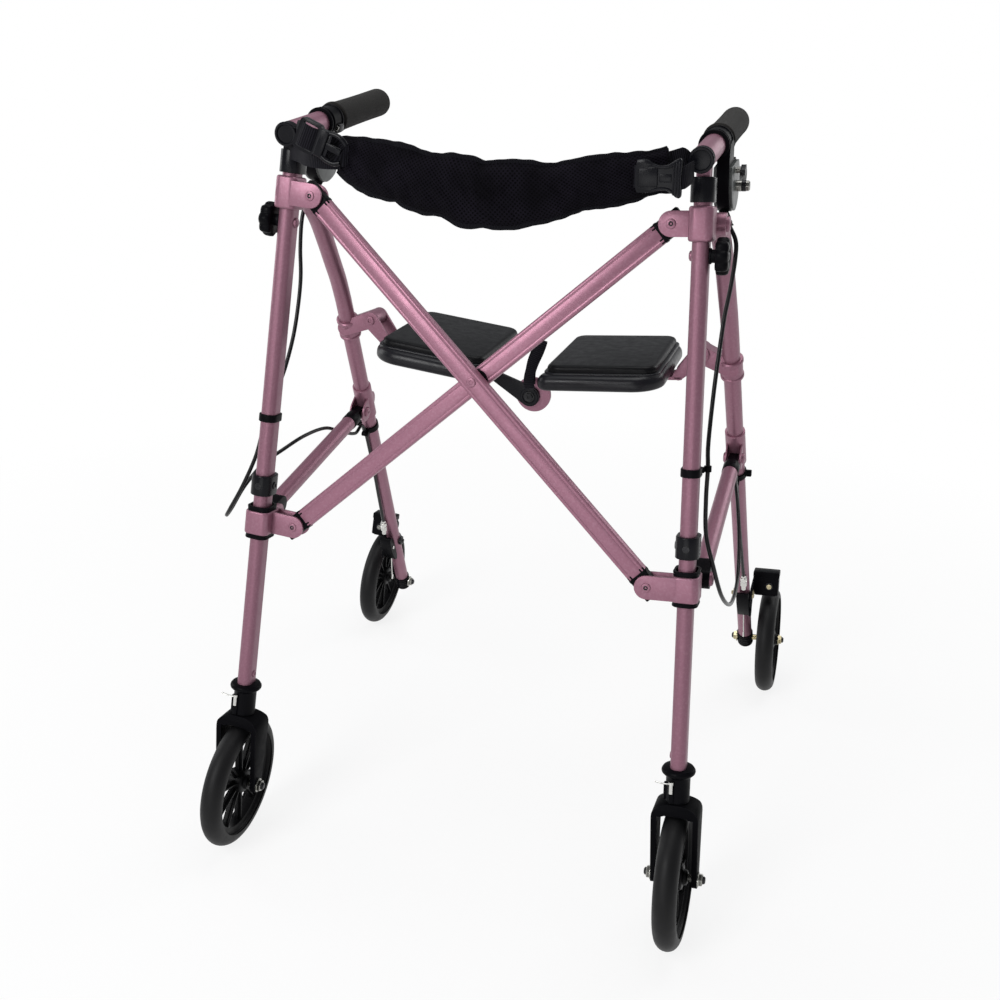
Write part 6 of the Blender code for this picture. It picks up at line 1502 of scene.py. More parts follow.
def dress_rear_leg(side, frame):
    tag = LABEL[side]
    body = "rear_leg" + tag
    outset = side * REAR_OUTSET
    path = [(REAR_HINGE_BACK, 0.0)] + list(REAR_BEND_POINTS) + [REAR_STRAIGHT_START]
    bend = smooth_path([(outset, back, level) for back, level in path], 8)
    bend.append(Vector((outset, REAR_AXLE_BACK, REAR_AXLE_LEVEL)))
    inner = REAR_OUTSET - REAR_TUBE_RADIUS
    outer = REAR_OUTSET + REAR_TUBE_RADIUS
    boss = side_rod(side, frame, REAR_TUBE_RADIUS + REAR_BOSS_WALL, inner, outer, REAR_HINGE_BACK, 0.0)
    parts = [tube_along(bend, REAR_TUBE_RADIUS, frame, 8), eased(boss, 0.0008)]
    # Link bracket
    bracket = link_bracket_place()
    bracket_back = bracket[0] + BRACKET_MIDDLE
    wrap = barrel(REAR_TUBE_RADIUS + BRACKET_WRAP, BRACKET_LENGTH / 2, 0.0006, 0.0008)
    parts.append(turned(wrap, rear_frame(side, frame, bracket_back), 40))
    gap = TONGUE_THICK / 2 + TONGUE_SIDE_GAP
    ears = slot_outline(bracket, (bracket_back, on_rear_leg(bracket_back)), BRACKET_RADIUS, 16)
    for hand in (-1, 1):
        near, far = (REAR_OUTSET + hand * (gap + reach) for reach in (BRACKET_HOLLOW, BRACKET_PLATE))
        parts.append(eased(side_plate(side, frame, [ears], near, far), 0.0008, 3))
        spot = facing_out(side, frame, *bracket, far, hand)
        parts.append(turned(head(BRACKET_HEAD_RADIUS, BRACKET_HEAD_HEIGHT, 0.35), spot))
    # Seat clamp with its knuckle
    hinge = seat_hinge_frame(side)
    clamp = rear_frame(side, frame, (frame.inverted() @ hinge.translation).y + SEAT_CLAMP_BACK)
    wide, half = REAR_TUBE_RADIUS + SEAT_CLAMP_WALL, SEAT_CLAMP_HALF
    profile = [(0.0, half), (wide - 0.0014, half), (wide, half - 0.0012), (wide, half - 0.004),
               (wide - 0.0010, half - 0.0048)]
    parts.append(turned(profile + [(radius, -height) for radius, height in profile[::-1]], clamp, 40))
    level = hinge @ Matrix.Rotation(side * SEAT_DIP, 4, "Y")
    reach = level.inverted() @ clamp.translation
    outline = taper_outline((0.0, 0.0), SEAT_KNUCKLE_RADIUS, (reach.x, reach.z),
                            SEAT_KNUCKLE_RADIUS - PIN_SINK, 16)
    half = SEAT_KNUCKLE_LENGTH / 2
    parts.append(eased(plate([outline], -half, half, level @ turn_about_x(math.pi / 2)),
                       0.0018, 3))
    piece("rear_leg_tube" + tag, parts, PINK, body, "rear_leg" + tag)
    # Ribbed plug on the leg's end
    wide, half = REAR_PLUG_RADIUS, REAR_PLUG_LENGTH / 2
    profile = [(0.0, half), (wide - 0.0020, half), (wide - 0.0004, half - 0.0014)]
    for place in (0.55, 0.2, -0.15, -0.5):
        profile += [(wide, half * place + 0.0018), (wide, half * place),
                    (wide - 0.0008, half * place - 0.0006)]
    profile += [(wide, -half + 0.0016), (wide - 0.0006, -half), (0.0, -half)]
    plug = turned(profile, rear_frame(side, frame, REAR_AXLE_BACK), 40)
    piece("rear_leg_plug" + tag, [plug], PLASTIC, body)
    # Brake bolt
    brake = (BRAKE_PIVOT_BACK, on_rear_leg(BRAKE_PIVOT_BACK))
    shank = side_rod(side, frame, HINGE_PIN_RADIUS, inner - BRAKE_BOLT_INNER + 0.002,
                     outer + BRAKE_BOLT_OUTER - 0.001, *brake)
    nut = turned([(0.0, 0.0062), (NUT_RADIUS, 0.0062), (NUT_RADIUS, 0.0022), (0.0030, 0.0008),
                  (0.0026, -0.0006), (0.0, 0.0)],
                 facing_out(side, frame, *brake, inner - BRAKE_BOLT_INNER + 0.0004), 6)
    piece("brake_bolt" + tag, [shank, nut], BRASS if side == LEFT else METAL, body)


def dress_link(side, frame):
    tag = LABEL[side]
    start = Vector((LINK_COLLAR_BACK, -COLLAR_DROP))
    stop = Vector(link_bracket_place())
    heading = (stop - start).normalized()

    def stretch(first, last, radius):
        ends = [(side * REAR_OUTSET, *(origin + heading * reach)) for origin, reach in (first, last)]
        return tube_along(ends, radius, frame, 8)

    tube = stretch((start, 0.016), (stop, -LINK_CAP_LENGTH - 0.006), LINK_RADIUS)
    piece("side_link_tube" + tag, [tube], PINK, "link" + tag, "side_link" + tag)
    cap = slot_outline(start, start + heading * 0.0185, LINK_CAP_RADIUS, 14)
    low = side_plate(side, frame, [cap], REAR_OUTSET - REAR_TUBE_RADIUS, REAR_OUTSET + REAR_TUBE_RADIUS)
    low = eased(low, 0.0022, 3)
    neck = stop - heading * (LINK_CAP_LENGTH - LINK_NECK)
    tip = taper_outline(neck, LINK_RADIUS - LINK_NECK_EASE, stop, TONGUE_RADIUS + 0.0020, 12)
    half = TONGUE_THICK / 2 + BRACKET_HOLLOW
    tongue = eased(side_plate(side, frame, [tip], REAR_OUTSET - half, REAR_OUTSET + half), 0.0012, 3)
    sock = stretch((stop, -LINK_CAP_LENGTH - 0.009), (stop, 0.009 - LINK_CAP_LENGTH), LINK_RADIUS + 0.0006)
    piece("side_link_cap" + tag, [low, tongue, eased(sock, 0.0008)], PLASTIC, "link" + tag)


# Wheels
def tyre_body(matrix):
    inner = WHEEL_RADIUS - TYRE_DEPTH
    near, wide = (inner - 0.0008, RIM_HALF_WIDTH - 0.0005), (inner + 0.0004, RIM_HALF_WIDTH + 0.0014)
    tread = arc(TYRE_SECTION, WHEEL_RADIUS - TYRE_SECTION, 0.0, math.radians(100.0), math.radians(-100.0), 16)
    section = [near, wide] + tread + [(wide[0], -wide[1]), (near[0], -near[1]), near]
    return turned(section, matrix, WHEEL_FACETS)


def rim_body(matrix):
    """Rim with a lip each side, ten ribbed spokes in pairs and a stepped hub."""
    outer = WHEEL_RADIUS - TYRE_DEPTH - 0.0003
    inner = outer - RIM_DEPTH
    wide, half = RIM_HALF_WIDTH, HUB_HALF_WIDTH
    lip = [(inner, wide - 0.0026), (outer - 0.0022, wide - 0.0014), (outer - 0.0012, wide), (outer, wide)]
    hub = [(0.0, half), (0.0062, half), (0.0078, half - 0.0012), (0.0086, half - 0.004),
           (0.0124, half - 0.005), (HUB_RADIUS, half - 0.0066)]
    lip, hub = (half_profile + [(radius, -height) for radius, height in half_profile[::-1]]
                for half_profile in (lip, hub))
    parts = [turned(lip + lip[:1], matrix, WHEEL_FACETS), turned(hub, matrix, 48)]
    for index in range(2 * SPOKE_PAIRS):
        turn = matrix @ Matrix.Rotation(math.pi * index / SPOKE_PAIRS, 4, "Z")
        for y, z in ((0.0011, SPOKE_THICK / 2), (SPOKE_WIDTH / 2, 0.0013)):
            parts.append(block((HUB_RADIUS - 0.002, -y, -z), (inner + SPOKE_SINK, y, z), turn, 0.0004))
    return parts


def axle_ends(matrix, places):
    """Nuts and washers, and domed caps, on an axle's ends, each facing away from the wheel."""
    nuts, caps = [], []
    low, high = NUT_HEIGHT - 0.001, NUT_HEIGHT + AXLE_END
    for place in places:
        spot = end_frame(matrix, place, place)
        nuts += [turned([(0.0, low), (NUT_RADIUS * 0.8, low), (NUT_RADIUS, NUT_HEIGHT - 0.0018),
                         (NUT_RADIUS, 0.0), (0.0, 0.0)], spot, 6),
                 rod(NUT_RADIUS + 0.0012, -0.0004, 0.0008, spot)]
        caps.append(turned([(0.0, high - 0.0002), (AXLE_RADIUS * 0.7, high - 0.0004),
                            (AXLE_RADIUS, NUT_HEIGHT + 0.0006), (AXLE_RADIUS, NUT_HEIGHT - 0.0018),
                            (0.0, NUT_HEIGHT - 0.0018)], spot))
    return nuts, caps


def dress_wheels(side, frame):
    tag = LABEL[side]
    caster_reach = FORK_HALF_GAP + FORK_ARM_THICK + TOUCH_GAP
    inner_reach = WHEEL_OUTSET + REAR_PLUG_RADIUS + TOUCH_GAP
    rear_ends = (-side * inner_reach, side * (HUB_HALF_WIDTH + TOUCH_GAP))
    for name, wheel_name, place, ends, steel, carrier in (
            ("caster", "caster_wheel", (0.0, CASTER_TRAIL, -CASTER_DROP), (-caster_reach, caster_reach),
             DARK_STEEL, "caster"),
            ("rear", "rear_wheel", (REAR_WHEEL_OUTSET, REAR_AXLE_BACK, REAR_AXLE_LEVEL), rear_ends,
             DARK_STEEL if side == RIGHT else BRASS, "rear_leg")):
        wheel = wheel_frame(side, frame, *place)
        body = wheel_name + tag
        piece(name + "_tyre_tread" + tag, [tyre_body(wheel)], RUBBER, body, name + "_tyre" + tag, 40.0)
        piece(name + "_rim" + tag, rim_body(wheel), RIM, body, body)
        nuts, caps = axle_ends(wheel, ends)
        shank = rod(AXLE_RADIUS, *sorted(ends), wheel)
        piece(name + "_axle_nuts" + tag, [shank] + nuts, steel, carrier + tag, name + "_axle" + tag)
        piece(name + "_axle_caps" + tag, caps, METAL, carrier + tag)


def dress_caster(side, frame):
    tag, body = LABEL[side], LEG_BODY[side]
    top = LEG_BOTTOM - TOUCH_GAP
    low = top - CASTER_FLANGE_HEIGHT
    wide, bottom = CASTER_SLEEVE_RADIUS, CASTER_SLEEVE_BOTTOM
    # Rolled flange and sleeve with ribs
    roll = arc(0.0035, CASTER_FLANGE_RADIUS - 0.0035, (top + low) / 2, math.radians(70.0),
               math.radians(-80.0), 6)
    profile = [(0.0, top + 0.0012), (CASTER_FLANGE_RADIUS * 0.66, top + 0.0010),
               (CASTER_FLANGE_RADIUS * 0.90, top)]
    profile += roll + [(wide + 0.0008, low - 0.001), (wide, low - CASTER_NECK), (wide, bottom + 0.0008),
                       (wide - 0.0008, bottom), (0.0, bottom)]
    ribs = [block((x_low, y_low, bottom + 0.001), (x_high, y_high, low - 0.010), frame, 0.0010, 2)
            for x_low, y_low, x_high, y_high in ((-0.0075, -wide - 0.0018, -0.0023, 0.006 - wide),
                                                 (-wide - 0.0016, -0.0055, 0.006 - wide, -0.0005))]
    piece("caster_sleeve" + tag, [turned(profile, frame, 56)] + ribs, PLASTIC, body,
          "caster_collar" + tag, 38.0)
    # Swivel lock pin with its small lever
    x, y = -0.0050, -wide - 0.0018
    bolt = turned([(0.0, low - 0.004), (0.0024, low - 0.0042), (0.0026, low - 0.0066), (0.0019, low - 0.0072),
                   (0.0019, low - 0.0170), (0.0, low - 0.0176)], frame @ Matrix.Translation((x, y, 0.0)))
    wire = tube_along([(x + 0.001, y, low - 0.0068), (x - 0.008, y - 0.0010, low - 0.0064),
                       (x - 0.0165, y - 0.0014, low - 0.0052)], 0.0008, frame, 3)
    piece("caster_pin" + tag, [bolt, wire], STEEL, body)

    # Fork: an arch seen from the front, trimmed to the tapered arms seen from the side
    fork_top = bottom - TOUCH_GAP
    outer = FORK_HALF_GAP + FORK_ARM_THICK
    level = -CASTER_DROP
    foot = level - FORK_END_RADIUS - 0.002
    shoulder, fall, inside = outer - 0.0035, 0.0150, 0.0105
    under = fork_top - FORK_CROWN_THICK - inside
    quarter = arc(1.0, 0.0, 0.0, 0.0, math.pi / 2, 8)
    right = [(outer - shoulder + shoulder * x, fork_top - fall + fall * max(z, 0.0) ** 0.8)
             for x, z in quarter[::-1]]
    hollow = arc(inside, FORK_HALF_GAP - inside, under, 0.0, math.pi / 2, 6)
    arch = [(-x, z) for x, z in right[::-1]]
    arch = [(-outer, foot)] + arch + right + [(outer, foot), (FORK_HALF_GAP, foot)] + hollow
    arch += [(-x, z) for x, z in hollow[::-1]] + [(-FORK_HALF_GAP, foot)]
    shell = plate([arch], -0.03, 0.03, frame @ Z_FORWARD)
    depth, axle = FORK_TOP_DEPTH / 2, CASTER_TRAIL
    side_view = [(axle + FORK_END_RADIUS, level), (depth - 0.001, fork_top - 0.020),
                 (depth, fork_top - 0.006),
                 (depth - 0.003, fork_top + 0.001), (0.003 - depth, fork_top + 0.001),
                 (-depth, fork_top - 0.006),
                 (0.001 - depth, fork_top - 0.020)]
    side_view += arc(FORK_END_RADIUS, axle, level, math.pi, 2 * math.pi, 12)[:-1]
    trim = plate([side_view], -outer - 0.01, outer + 0.01, across(frame, 0.0, 0.0))
    room = rod(WHEEL_RADIUS + TYRE_ROOM, -FORK_HALF_GAP, FORK_HALF_GAP, across(frame, axle, level), 96)
    fork = eased(cut(combine(shell, [trim], "INTERSECT"), [room]), 0.0009, 2, 28.0)
    parts = [fork, rod(STEM_RADIUS, fork_top - 0.004, bottom + 0.004, frame)]
    for hand in (-1, 1):
        spot = end_frame(across(frame, axle, level), hand * (outer - 0.0002), hand)
        parts.append(turned([(0.0, 0.0002), (0.0078, 0.0002), (0.0086, -0.0006), (0.0086, -0.002),
                             (0.0, -0.002)], spot))
    piece("caster_fork_arch" + tag, parts, FORK, "caster" + tag, "caster_fork" + tag, 35.0)


# Rear brake
def dress_rear_brake(side, frame):
    tag = LABEL[side]
    body = "brake_arm" + tag
    pivot = Vector((BRAKE_PIVOT_BACK, on_rear_leg(BRAKE_PIVOT_BACK)))
    inner = REAR_OUTSET + REAR_TUBE_RADIUS + TOUCH_GAP
    outer = inner + BRAKE_ARM_THICK
    low = REAR_AXLE_LEVEL + WHEEL_RADIUS + SHOE_TYRE_GAP
    high = low + SHOE_HEIGHT
    arm = taper_outline(pivot, BRAKE_ARM_RADIUS, (SHOE_BACK, low + SHOE_HEIGHT / 2), BRAKE_ARM_END, 14)
    tail = slot_outline(pivot, (pivot.x - BRAKE_TAIL[0], pivot.y - BRAKE_TAIL[1]), BRAKE_TAIL_RADIUS, 12)
    parts = [eased(side_plate(side, frame, [outline], inner, outer), 0.0006) for outline in (arm, tail)]
    low_x, high_x = sorted((side * (SHOE_INNER - SHOE_SINK), side * SHOE_OUTER))
    front, back = SHOE_BACK - SHOE_LENGTH / 2, SHOE_BACK + SHOE_LENGTH / 2 - 0.009
    # Shoe, its lid and the pad towards the tyre: reach past the shoe sideways and lengthways, levels, ease
    for wide, deep, bottom, top, ease, segments in ((0.0, 0.0, low, high, 0.0022, 3),
                                                    (0.0006, 0.0006, high - 0.0085, high + 0.0003, 0.0016, 3),
                                                    (-0.003, -0.002, low - 0.0012, low + 0.004, 0.001, 2)):
        parts.append(block((low_x - wide, front - deep, bottom), (high_x + wide, back + deep, top), frame,
                           ease, segments))
    piece("brake_shoe" + tag, parts, PLASTIC, body, "brake_arm" + tag)
    bolt_place = Matrix.Translation((side * REAR_WHEEL_OUTSET, front, low + SHOE_HEIGHT * SHOE_BOLT_RISE))
    spot = frame @ bolt_place @ Z_FORWARD
    bolt = turned([(0.0, 0.0040), (0.0014, 0.0038), (0.0018, 0.0030), (0.0034, 0.0028), (0.0036, 0.0004),
                   (0.0036, -0.0006), (0.0, -0.0006)], spot, 24)
    ring = turned([(0.0036, 0.0016), (0.0052, 0.0014), (0.0058, 0.0002), (0.0058, -0.0006), (0.0036, -0.0006),
                   (0.0036, 0.0016)], spot, 32)
    cap = turned(head(0.0066, 0.0024, 0.4), facing_out(side, frame, *pivot, outer), 6)
    piece("brake_shoe_bolt" + tag, [bolt, cap], BRASS if side == LEFT else DARK_STEEL, body)
    piece("brake_shoe_washer" + tag, [ring], METAL, body)


# Seat
def seat_ring(low_x, high_x, outer, level, inset):
    """Outline of a seat half: large corners at the outer end, smaller ones at the inner end."""
    half = SEAT_BASE_DEPTH / 2
    ring = []
    for quarter, (x, y) in enumerate(((high_x, half), (low_x, half), (low_x, -half), (high_x, -half))):
        radius = 0.034 if x == outer else 0.014
        centre = (x - radius if x == high_x else x + radius, y - math.copysign(radius, y))
        turn = math.pi / 2 * quarter
        ring += [(*point, level) for point in
                 arc(max(radius - inset, 0.0), *centre, turn, turn + math.pi / 2, 12)]
    return ring


def dress_seat(side):
    tag = LABEL[side]
    body = "seat" + tag
    frame = seat_hinge_frame(side)

    def span(first, last):
        return sorted((-side * first, -side * last))

    low_x, high_x = span(SEAT_BASE_OUTER, SEAT_BASE_INNER)
    shell = lofted([seat_ring(low_x, high_x, -side * SEAT_BASE_OUTER, level, inset) for level, inset in
                    rounded_ends(SEAT_BASE_BOTTOM, SEAT_BASE_TOP, 0.0050, 6, 0.0085)], frame)
    past = SEAT_BASE_INNER + CUT_REACH
    front, back = SEAT_NOTCH_BACK - SEAT_NOTCH_WIDTH / 2, SEAT_NOTCH_BACK + SEAT_NOTCH_WIDTH / 2
    low, high = span(SEAT_BASE_INNER - SEAT_NOTCH_DEPTH, past)
    notch = block((low, front, 2 * SEAT_BASE_BOTTOM), (high, back, -2 * SEAT_BASE_BOTTOM), frame)
    low, high = span(SEAT_BASE_INNER - SEAT_CHANNEL_LENGTH, past)
    channel = block((low, front + SEAT_CHANNEL_EASE, 2 * SEAT_BASE_BOTTOM),
                    (high, back - SEAT_CHANNEL_EASE, SEAT_BASE_TOP - SEAT_WEB), frame)
    piece("seat_shell" + tag, [cut(shell, [notch, channel])], SEAT, body, "seat_base" + tag, 30.0)
    low, high = span(SEAT_PAD_OUTER - 0.007, SEAT_PAD_INNER)
    for name, material, node, size, ends in (
            ("seat_panel", SEAT_TOP, "seat_pad" + tag, (high - low, SEAT_PAD_DEPTH, SEAT_PAD_CORNER),
             rounded_ends(SEAT_BASE_TOP - 0.002, SEAT_PAD_TOP, 0.0004, 6, 0.0052)),
            ("seat_rim", SEAT, None, (high - low + 0.007, SEAT_PAD_DEPTH + 0.007, SEAT_PAD_CORNER + 0.003),
             rounded_ends(SEAT_BASE_TOP - 0.003, SEAT_BASE_TOP + 0.0016, 0.0004, 5, 0.0016))):
        rings = [box_ring(*size, level, inset, (low + high) / 2, 0.0, 10) for level, inset in ends]
        piece(name + tag, [lofted(rings, frame)], material, body, node)
    # Arm: ears on the knuckle with the pin's heads, and a bar below
    knuckle = SEAT_KNUCKLE_LENGTH / 2 + TOUCH_GAP
    width = knuckle + SEAT_EAR_THICK
    lift = frame @ turn_about_x(math.pi / 2)
    under = SEAT_BASE_BOTTOM - TOUCH_GAP - SEAT_ARM_THICK
    ear = taper_outline((0.0, 0.0), SEAT_KNUCKLE_RADIUS, (-side * SEAT_EAR_REACH, under + SEAT_EAR_END),
                        SEAT_EAR_END, 14)
    parts = []
    for hand in (-1, 1):
        parts.append(eased(plate([ear], *sorted((hand * knuckle, hand * width)), lift), 0.0010, 3))
        parts.append(turned(head(0.0056, 0.0019, 0.4), end_frame(lift, hand * width, hand)))
    low, high = span(SEAT_ARM_START, SEAT_BASE_INNER - SEAT_ARM_SHORT)
    parts.append(block((low, -width, under), (high, width, under + SEAT_ARM_THICK), frame, 0.0015, 3))
    piece("seat_arm_bar" + tag, parts, PINK, body, "seat_arm" + tag)
    if side == RIGHT:
        reach = SEAT_NOTCH_WIDTH / 2 + SEAT_WEB
        pin = rod(SEAT_LINK_PIN_RADIUS, -reach, reach, seat_link_place() @ turn_about_x(math.pi / 2))
        piece("seat_link_pin", [pin], METAL, body)


def dress_seat_hinge():
    spot = seat_link_frame()
    lift = spot @ turn_about_x(math.pi / 2)
    centre = spot.inverted() @ seat_disc_place()
    disc = plate([circle(SEAT_DISC_RADIUS, centre.x, centre.z, 64)], -SEAT_DISC_BACK,
                 SEAT_DISC_THICK - SEAT_DISC_BACK, lift)
    ring = circle(SEAT_DISC_RADIUS - SEAT_DISC_STEP, centre.x - SEAT_DISC_SHIFT, centre.z, 64, 0.3)
    second = plate([ring], -SEAT_DISC_BACK - SEAT_DISC_THICK, SEAT_DISC_LAP - SEAT_DISC_BACK, lift)
    piece("seat_hinge_discs", [eased(joined([disc, second]), 0.0007)], PINK, "seat_hinge", "seat_hinge_plate")
    x, y = centre.x - SEAT_LINK_SHIFT[0], centre.z - SEAT_LINK_SHIFT[1]
    outline = taper_outline((x, y), SEAT_LINK_RADIUS - 0.001, (0.0, 0.0), SEAT_LINK_END_RADIUS - 0.0015, 20)
    link = eased(plate([outline], TOUCH_GAP - SEAT_LINK_BACK, SEAT_LINK_FRONT, lift), 0.0009, 3)
    at_bolt = lift @ Matrix.Translation((x, y, SEAT_LINK_FRONT))
    rim = turned([(0.0078, 0.0010), (0.0098, 0.0010), (0.0104, 0.0), (0.0104, -0.0005), (0.0074, -0.0005),
                  (0.0078, 0.0010)], at_bolt, 48)
    piece("seat_hinge_arm", [link, rim], GLOSS, "seat_hinge", "seat_hinge_link")
    washer = turned([(0.0, 0.0012), (0.0060, 0.0012), (0.0068, 0.0002), (0.0068, -0.0005), (0.0, -0.0005)],
                    at_bolt)
    bolt = turned([(0.0, 0.0014), (0.0018, 0.0014), (0.0022, SEAT_BOLT_FRONT - 0.0032),
                   (0.0044, SEAT_BOLT_FRONT - 0.0030), (SEAT_BOLT_RADIUS, 0.0020),
                   (SEAT_BOLT_RADIUS, -0.0002),
                   (0.0, -0.0002)], at_bolt, 6)
    piece("seat_hinge_bolt", [washer, bolt], METAL, "seat_hinge")


# Brake cables
VISIBLE_CABLE_RADIUS = 0.0022
CLIP_SPAN = 9
BAND_BACK = 0.3330
# Places along the rear leg down from the brake's pivot, and ahead of the leg's middle
CAM_OUTLINE = ((-0.025, 0.0165), (-0.028, 0.0225), (-0.014, 0.0245), (0.004, 0.0235), (0.020, 0.0205),
               (0.030, 0.0165), (0.029, 0.0122), (0.016, 0.0108), (-0.004, 0.0116), (-0.018, 0.0130))
CHEEK_OUTLINE = ((-0.012, 0.021), (0.006, 0.020), (0.012, 0.012), (0.008, 0.0), (0.0, -0.007), (-0.008, 0.0),
                 (-0.013, 0.012))


def dress_cable(side, frame):
    """Two runs of cable housing, from the hand brake to the leg's clip and on to the rear brake."""
    tag, leg = LABEL[side], LEG_BODY[side]
    spans = 10
    route = cable_route(side)
    meet = len(CABLE_TOP) + len(CABLE_BOW[side]) - 1
    del route[meet + 1]
    path = smooth_path(route, spans)
    split = CLIP_SPAN * spans
    for name, part, bodies, stop in (("upper", slice(0, split + 1), ("handle" + tag, leg), split),
                                     ("lower", slice(split, None), (leg, "rear_leg" + tag), meet * spans)):
        tube = tube_along(path[part], VISIBLE_CABLE_RADIUS, frame, 5)
        coat(tube, "cable_" + name + tag, CABLE)
        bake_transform(tube)
        if name == "upper":
            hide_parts("brake_cable" + tag)
    dress_clip(side, frame)
    dress_cam(side, frame, path[-1])


def dress_clip(side, frame):
    """Clip on the front leg: ring, eye round the cable, and the tabs between them."""
    low, high = CLIP_PLACE - CLIP_HEIGHT / 2 + 0.0015, CLIP_PLACE + CLIP_HEIGHT / 2 - 0.0015
    ring = leg_sleeve(CLIP_WALL, low, high, 0.0006, frame)
    hold = CABLE_TOP[-1]
    around = VISIBLE_CABLE_RADIUS + 0.0002
    hook = [arc(radius, side * hold[0], hold[1], 0.0, 2 * math.pi, 24)[:-1]
            for radius in (around + 0.0013, around)]
    low, high = low + 0.001, high - 0.001
    eye = eased(plate(hook, low, high, frame), 0.0004, 1)
    near, far = sorted((side * (LEG_WIDTH / 2 + TOUCH_GAP), side * (hold[0] - around)))
    tab = block((near, LEG_DEPTH / 2 - 0.001, low), (far, LEG_DEPTH / 2 + TOUCH_GAP + CLIP_WALL, high),
                frame, 0.0004)
    near, far = sorted((side * (hold[0] - around), side * (hold[0] - around - 0.0012)))
    tie = block((near, LEG_DEPTH / 2, low), (far, hold[1], high), frame, 0.0003)
    piece("cable_clip" + LABEL[side], [ring, eye, tab, tie], PLASTIC, LEG_BODY[side])


def dress_cam(side, frame, end):
    """Band that holds the cable on the rear leg, the barrel at its end, and the cam that it pulls."""
    tag = LABEL[side]
    inner, outer = REAR_TUBE_RADIUS + 0.0001, REAR_TUBE_RADIUS + 0.0019
    upper = [(inner, 0.0045), (outer - 0.0004, 0.0045), (outer, 0.0040)]
    lower = [(radius, -level) for radius, level in upper[::-1]]
    band = turned(upper + lower + upper[:1], rear_frame(side, frame, BAND_BACK), 40)
    heading = leg_direction()
    ahead = Vector((heading.y, -heading.x))
    centre = Vector((BAND_BACK, on_rear_leg(BAND_BACK)))
    ends = (centre + ahead * (outer - 0.0008), centre + ahead * (outer + 0.0052))
    saddle = side_plate(side, frame, [slot_outline(*ends, 0.0032, 10)],
                        REAR_OUTSET - 0.0045, REAR_OUTSET + 0.0045)
    place = Matrix.Translation((side * (REAR_OUTSET + outer + 0.0020), *centre))
    nub = block((-0.0040, -0.0035, -0.0040), (0.0040, 0.0035, 0.0040), frame @ place, 0.0010, 2)
    piece("rear_leg_band" + tag, [band, eased(saddle, 0.0008), nub], PLASTIC, "rear_leg" + tag)
    turn = Vector((0.0, 0.011, -0.025)).normalized().to_track_quat("Z", "Y").to_matrix().to_4x4()
    profile = [(0.0, -0.0050), (0.0034, -0.0050), (0.0034, -0.0010), (0.0046, -0.0008), (0.0046, 0.0040),
               (0.0038, 0.0044), (0.0038, 0.0060), (0.0044, 0.0064), (0.0044, 0.0130), (0.0030, 0.0136),
               (0.0030, 0.0200), (0.0, 0.0200)]
    piece("cable_barrel" + tag, [turned(profile, frame @ Matrix.Translation(end) @ turn, 16)], STEEL,
          "rear_leg" + tag)

    pivot = Vector((BRAKE_PIVOT_BACK, on_rear_leg(BRAKE_PIVOT_BACK)))

    def along_leg(down, forward):
        return tuple(pivot + heading * down + ahead * forward)

    outline = closed_smooth([along_leg(*point) for point in CAM_OUTLINE], 4)
    cam = eased(side_plate(side, frame, [outline], REAR_OUTSET - 0.0060, REAR_OUTSET + 0.0105), 0.0014, 3)
    outline = closed_smooth([along_leg(*point) for point in CHEEK_OUTLINE], 4)
    outer = REAR_OUTSET + REAR_TUBE_RADIUS + TOUCH_GAP
    cheek = eased(side_plate(side, frame, [outline], outer, outer + BRAKE_ARM_THICK + 0.0004), 0.0006)
    outline = slot_outline(along_leg(-0.004, 0.0185), along_leg(0.006, 0.0175), 0.0028, 8)
    tongue = side_plate(side, frame, [outline], REAR_OUTSET + 0.008, outer + 0.001)
    piece("brake_cam" + tag, [cam, cheek, tongue], PLASTIC, "brake_arm" + tag)
    start = Vector((side * (REAR_OUTSET + 0.002), *along_leg(0.027, 0.0155)))
    tail = [start + Vector((0.0, back, -drop)) for back, drop in ((0.0, 0.0), (0.004, 0.010), (0.010, 0.024),
                                                                 (0.017, 0.038))]
    wire = tube_along(smooth_path(tail, 5), 0.0008, frame, 3)
    crimp = tube_along([tail[-1] + Vector((0.0, 0.0, 0.004)), tail[-1] + Vector((0.0, 0.0004, -0.003))],
                       0.0014, frame, 3)
    rivet = turned(head(0.0026, 0.0012),
                   facing_out(side, frame, *along_leg(-0.004, 0.0178), REAR_OUTSET - 0.0060, -1), 16)
    piece("cable_tail" + tag, [wire, crimp, rivet], STEEL, "brake_arm" + tag)


# Backrest
PAD_RINGS = 200
PAD_ROWS = 22
PAD_RIGHT = -1.0
PAD_LEFT = 1.07


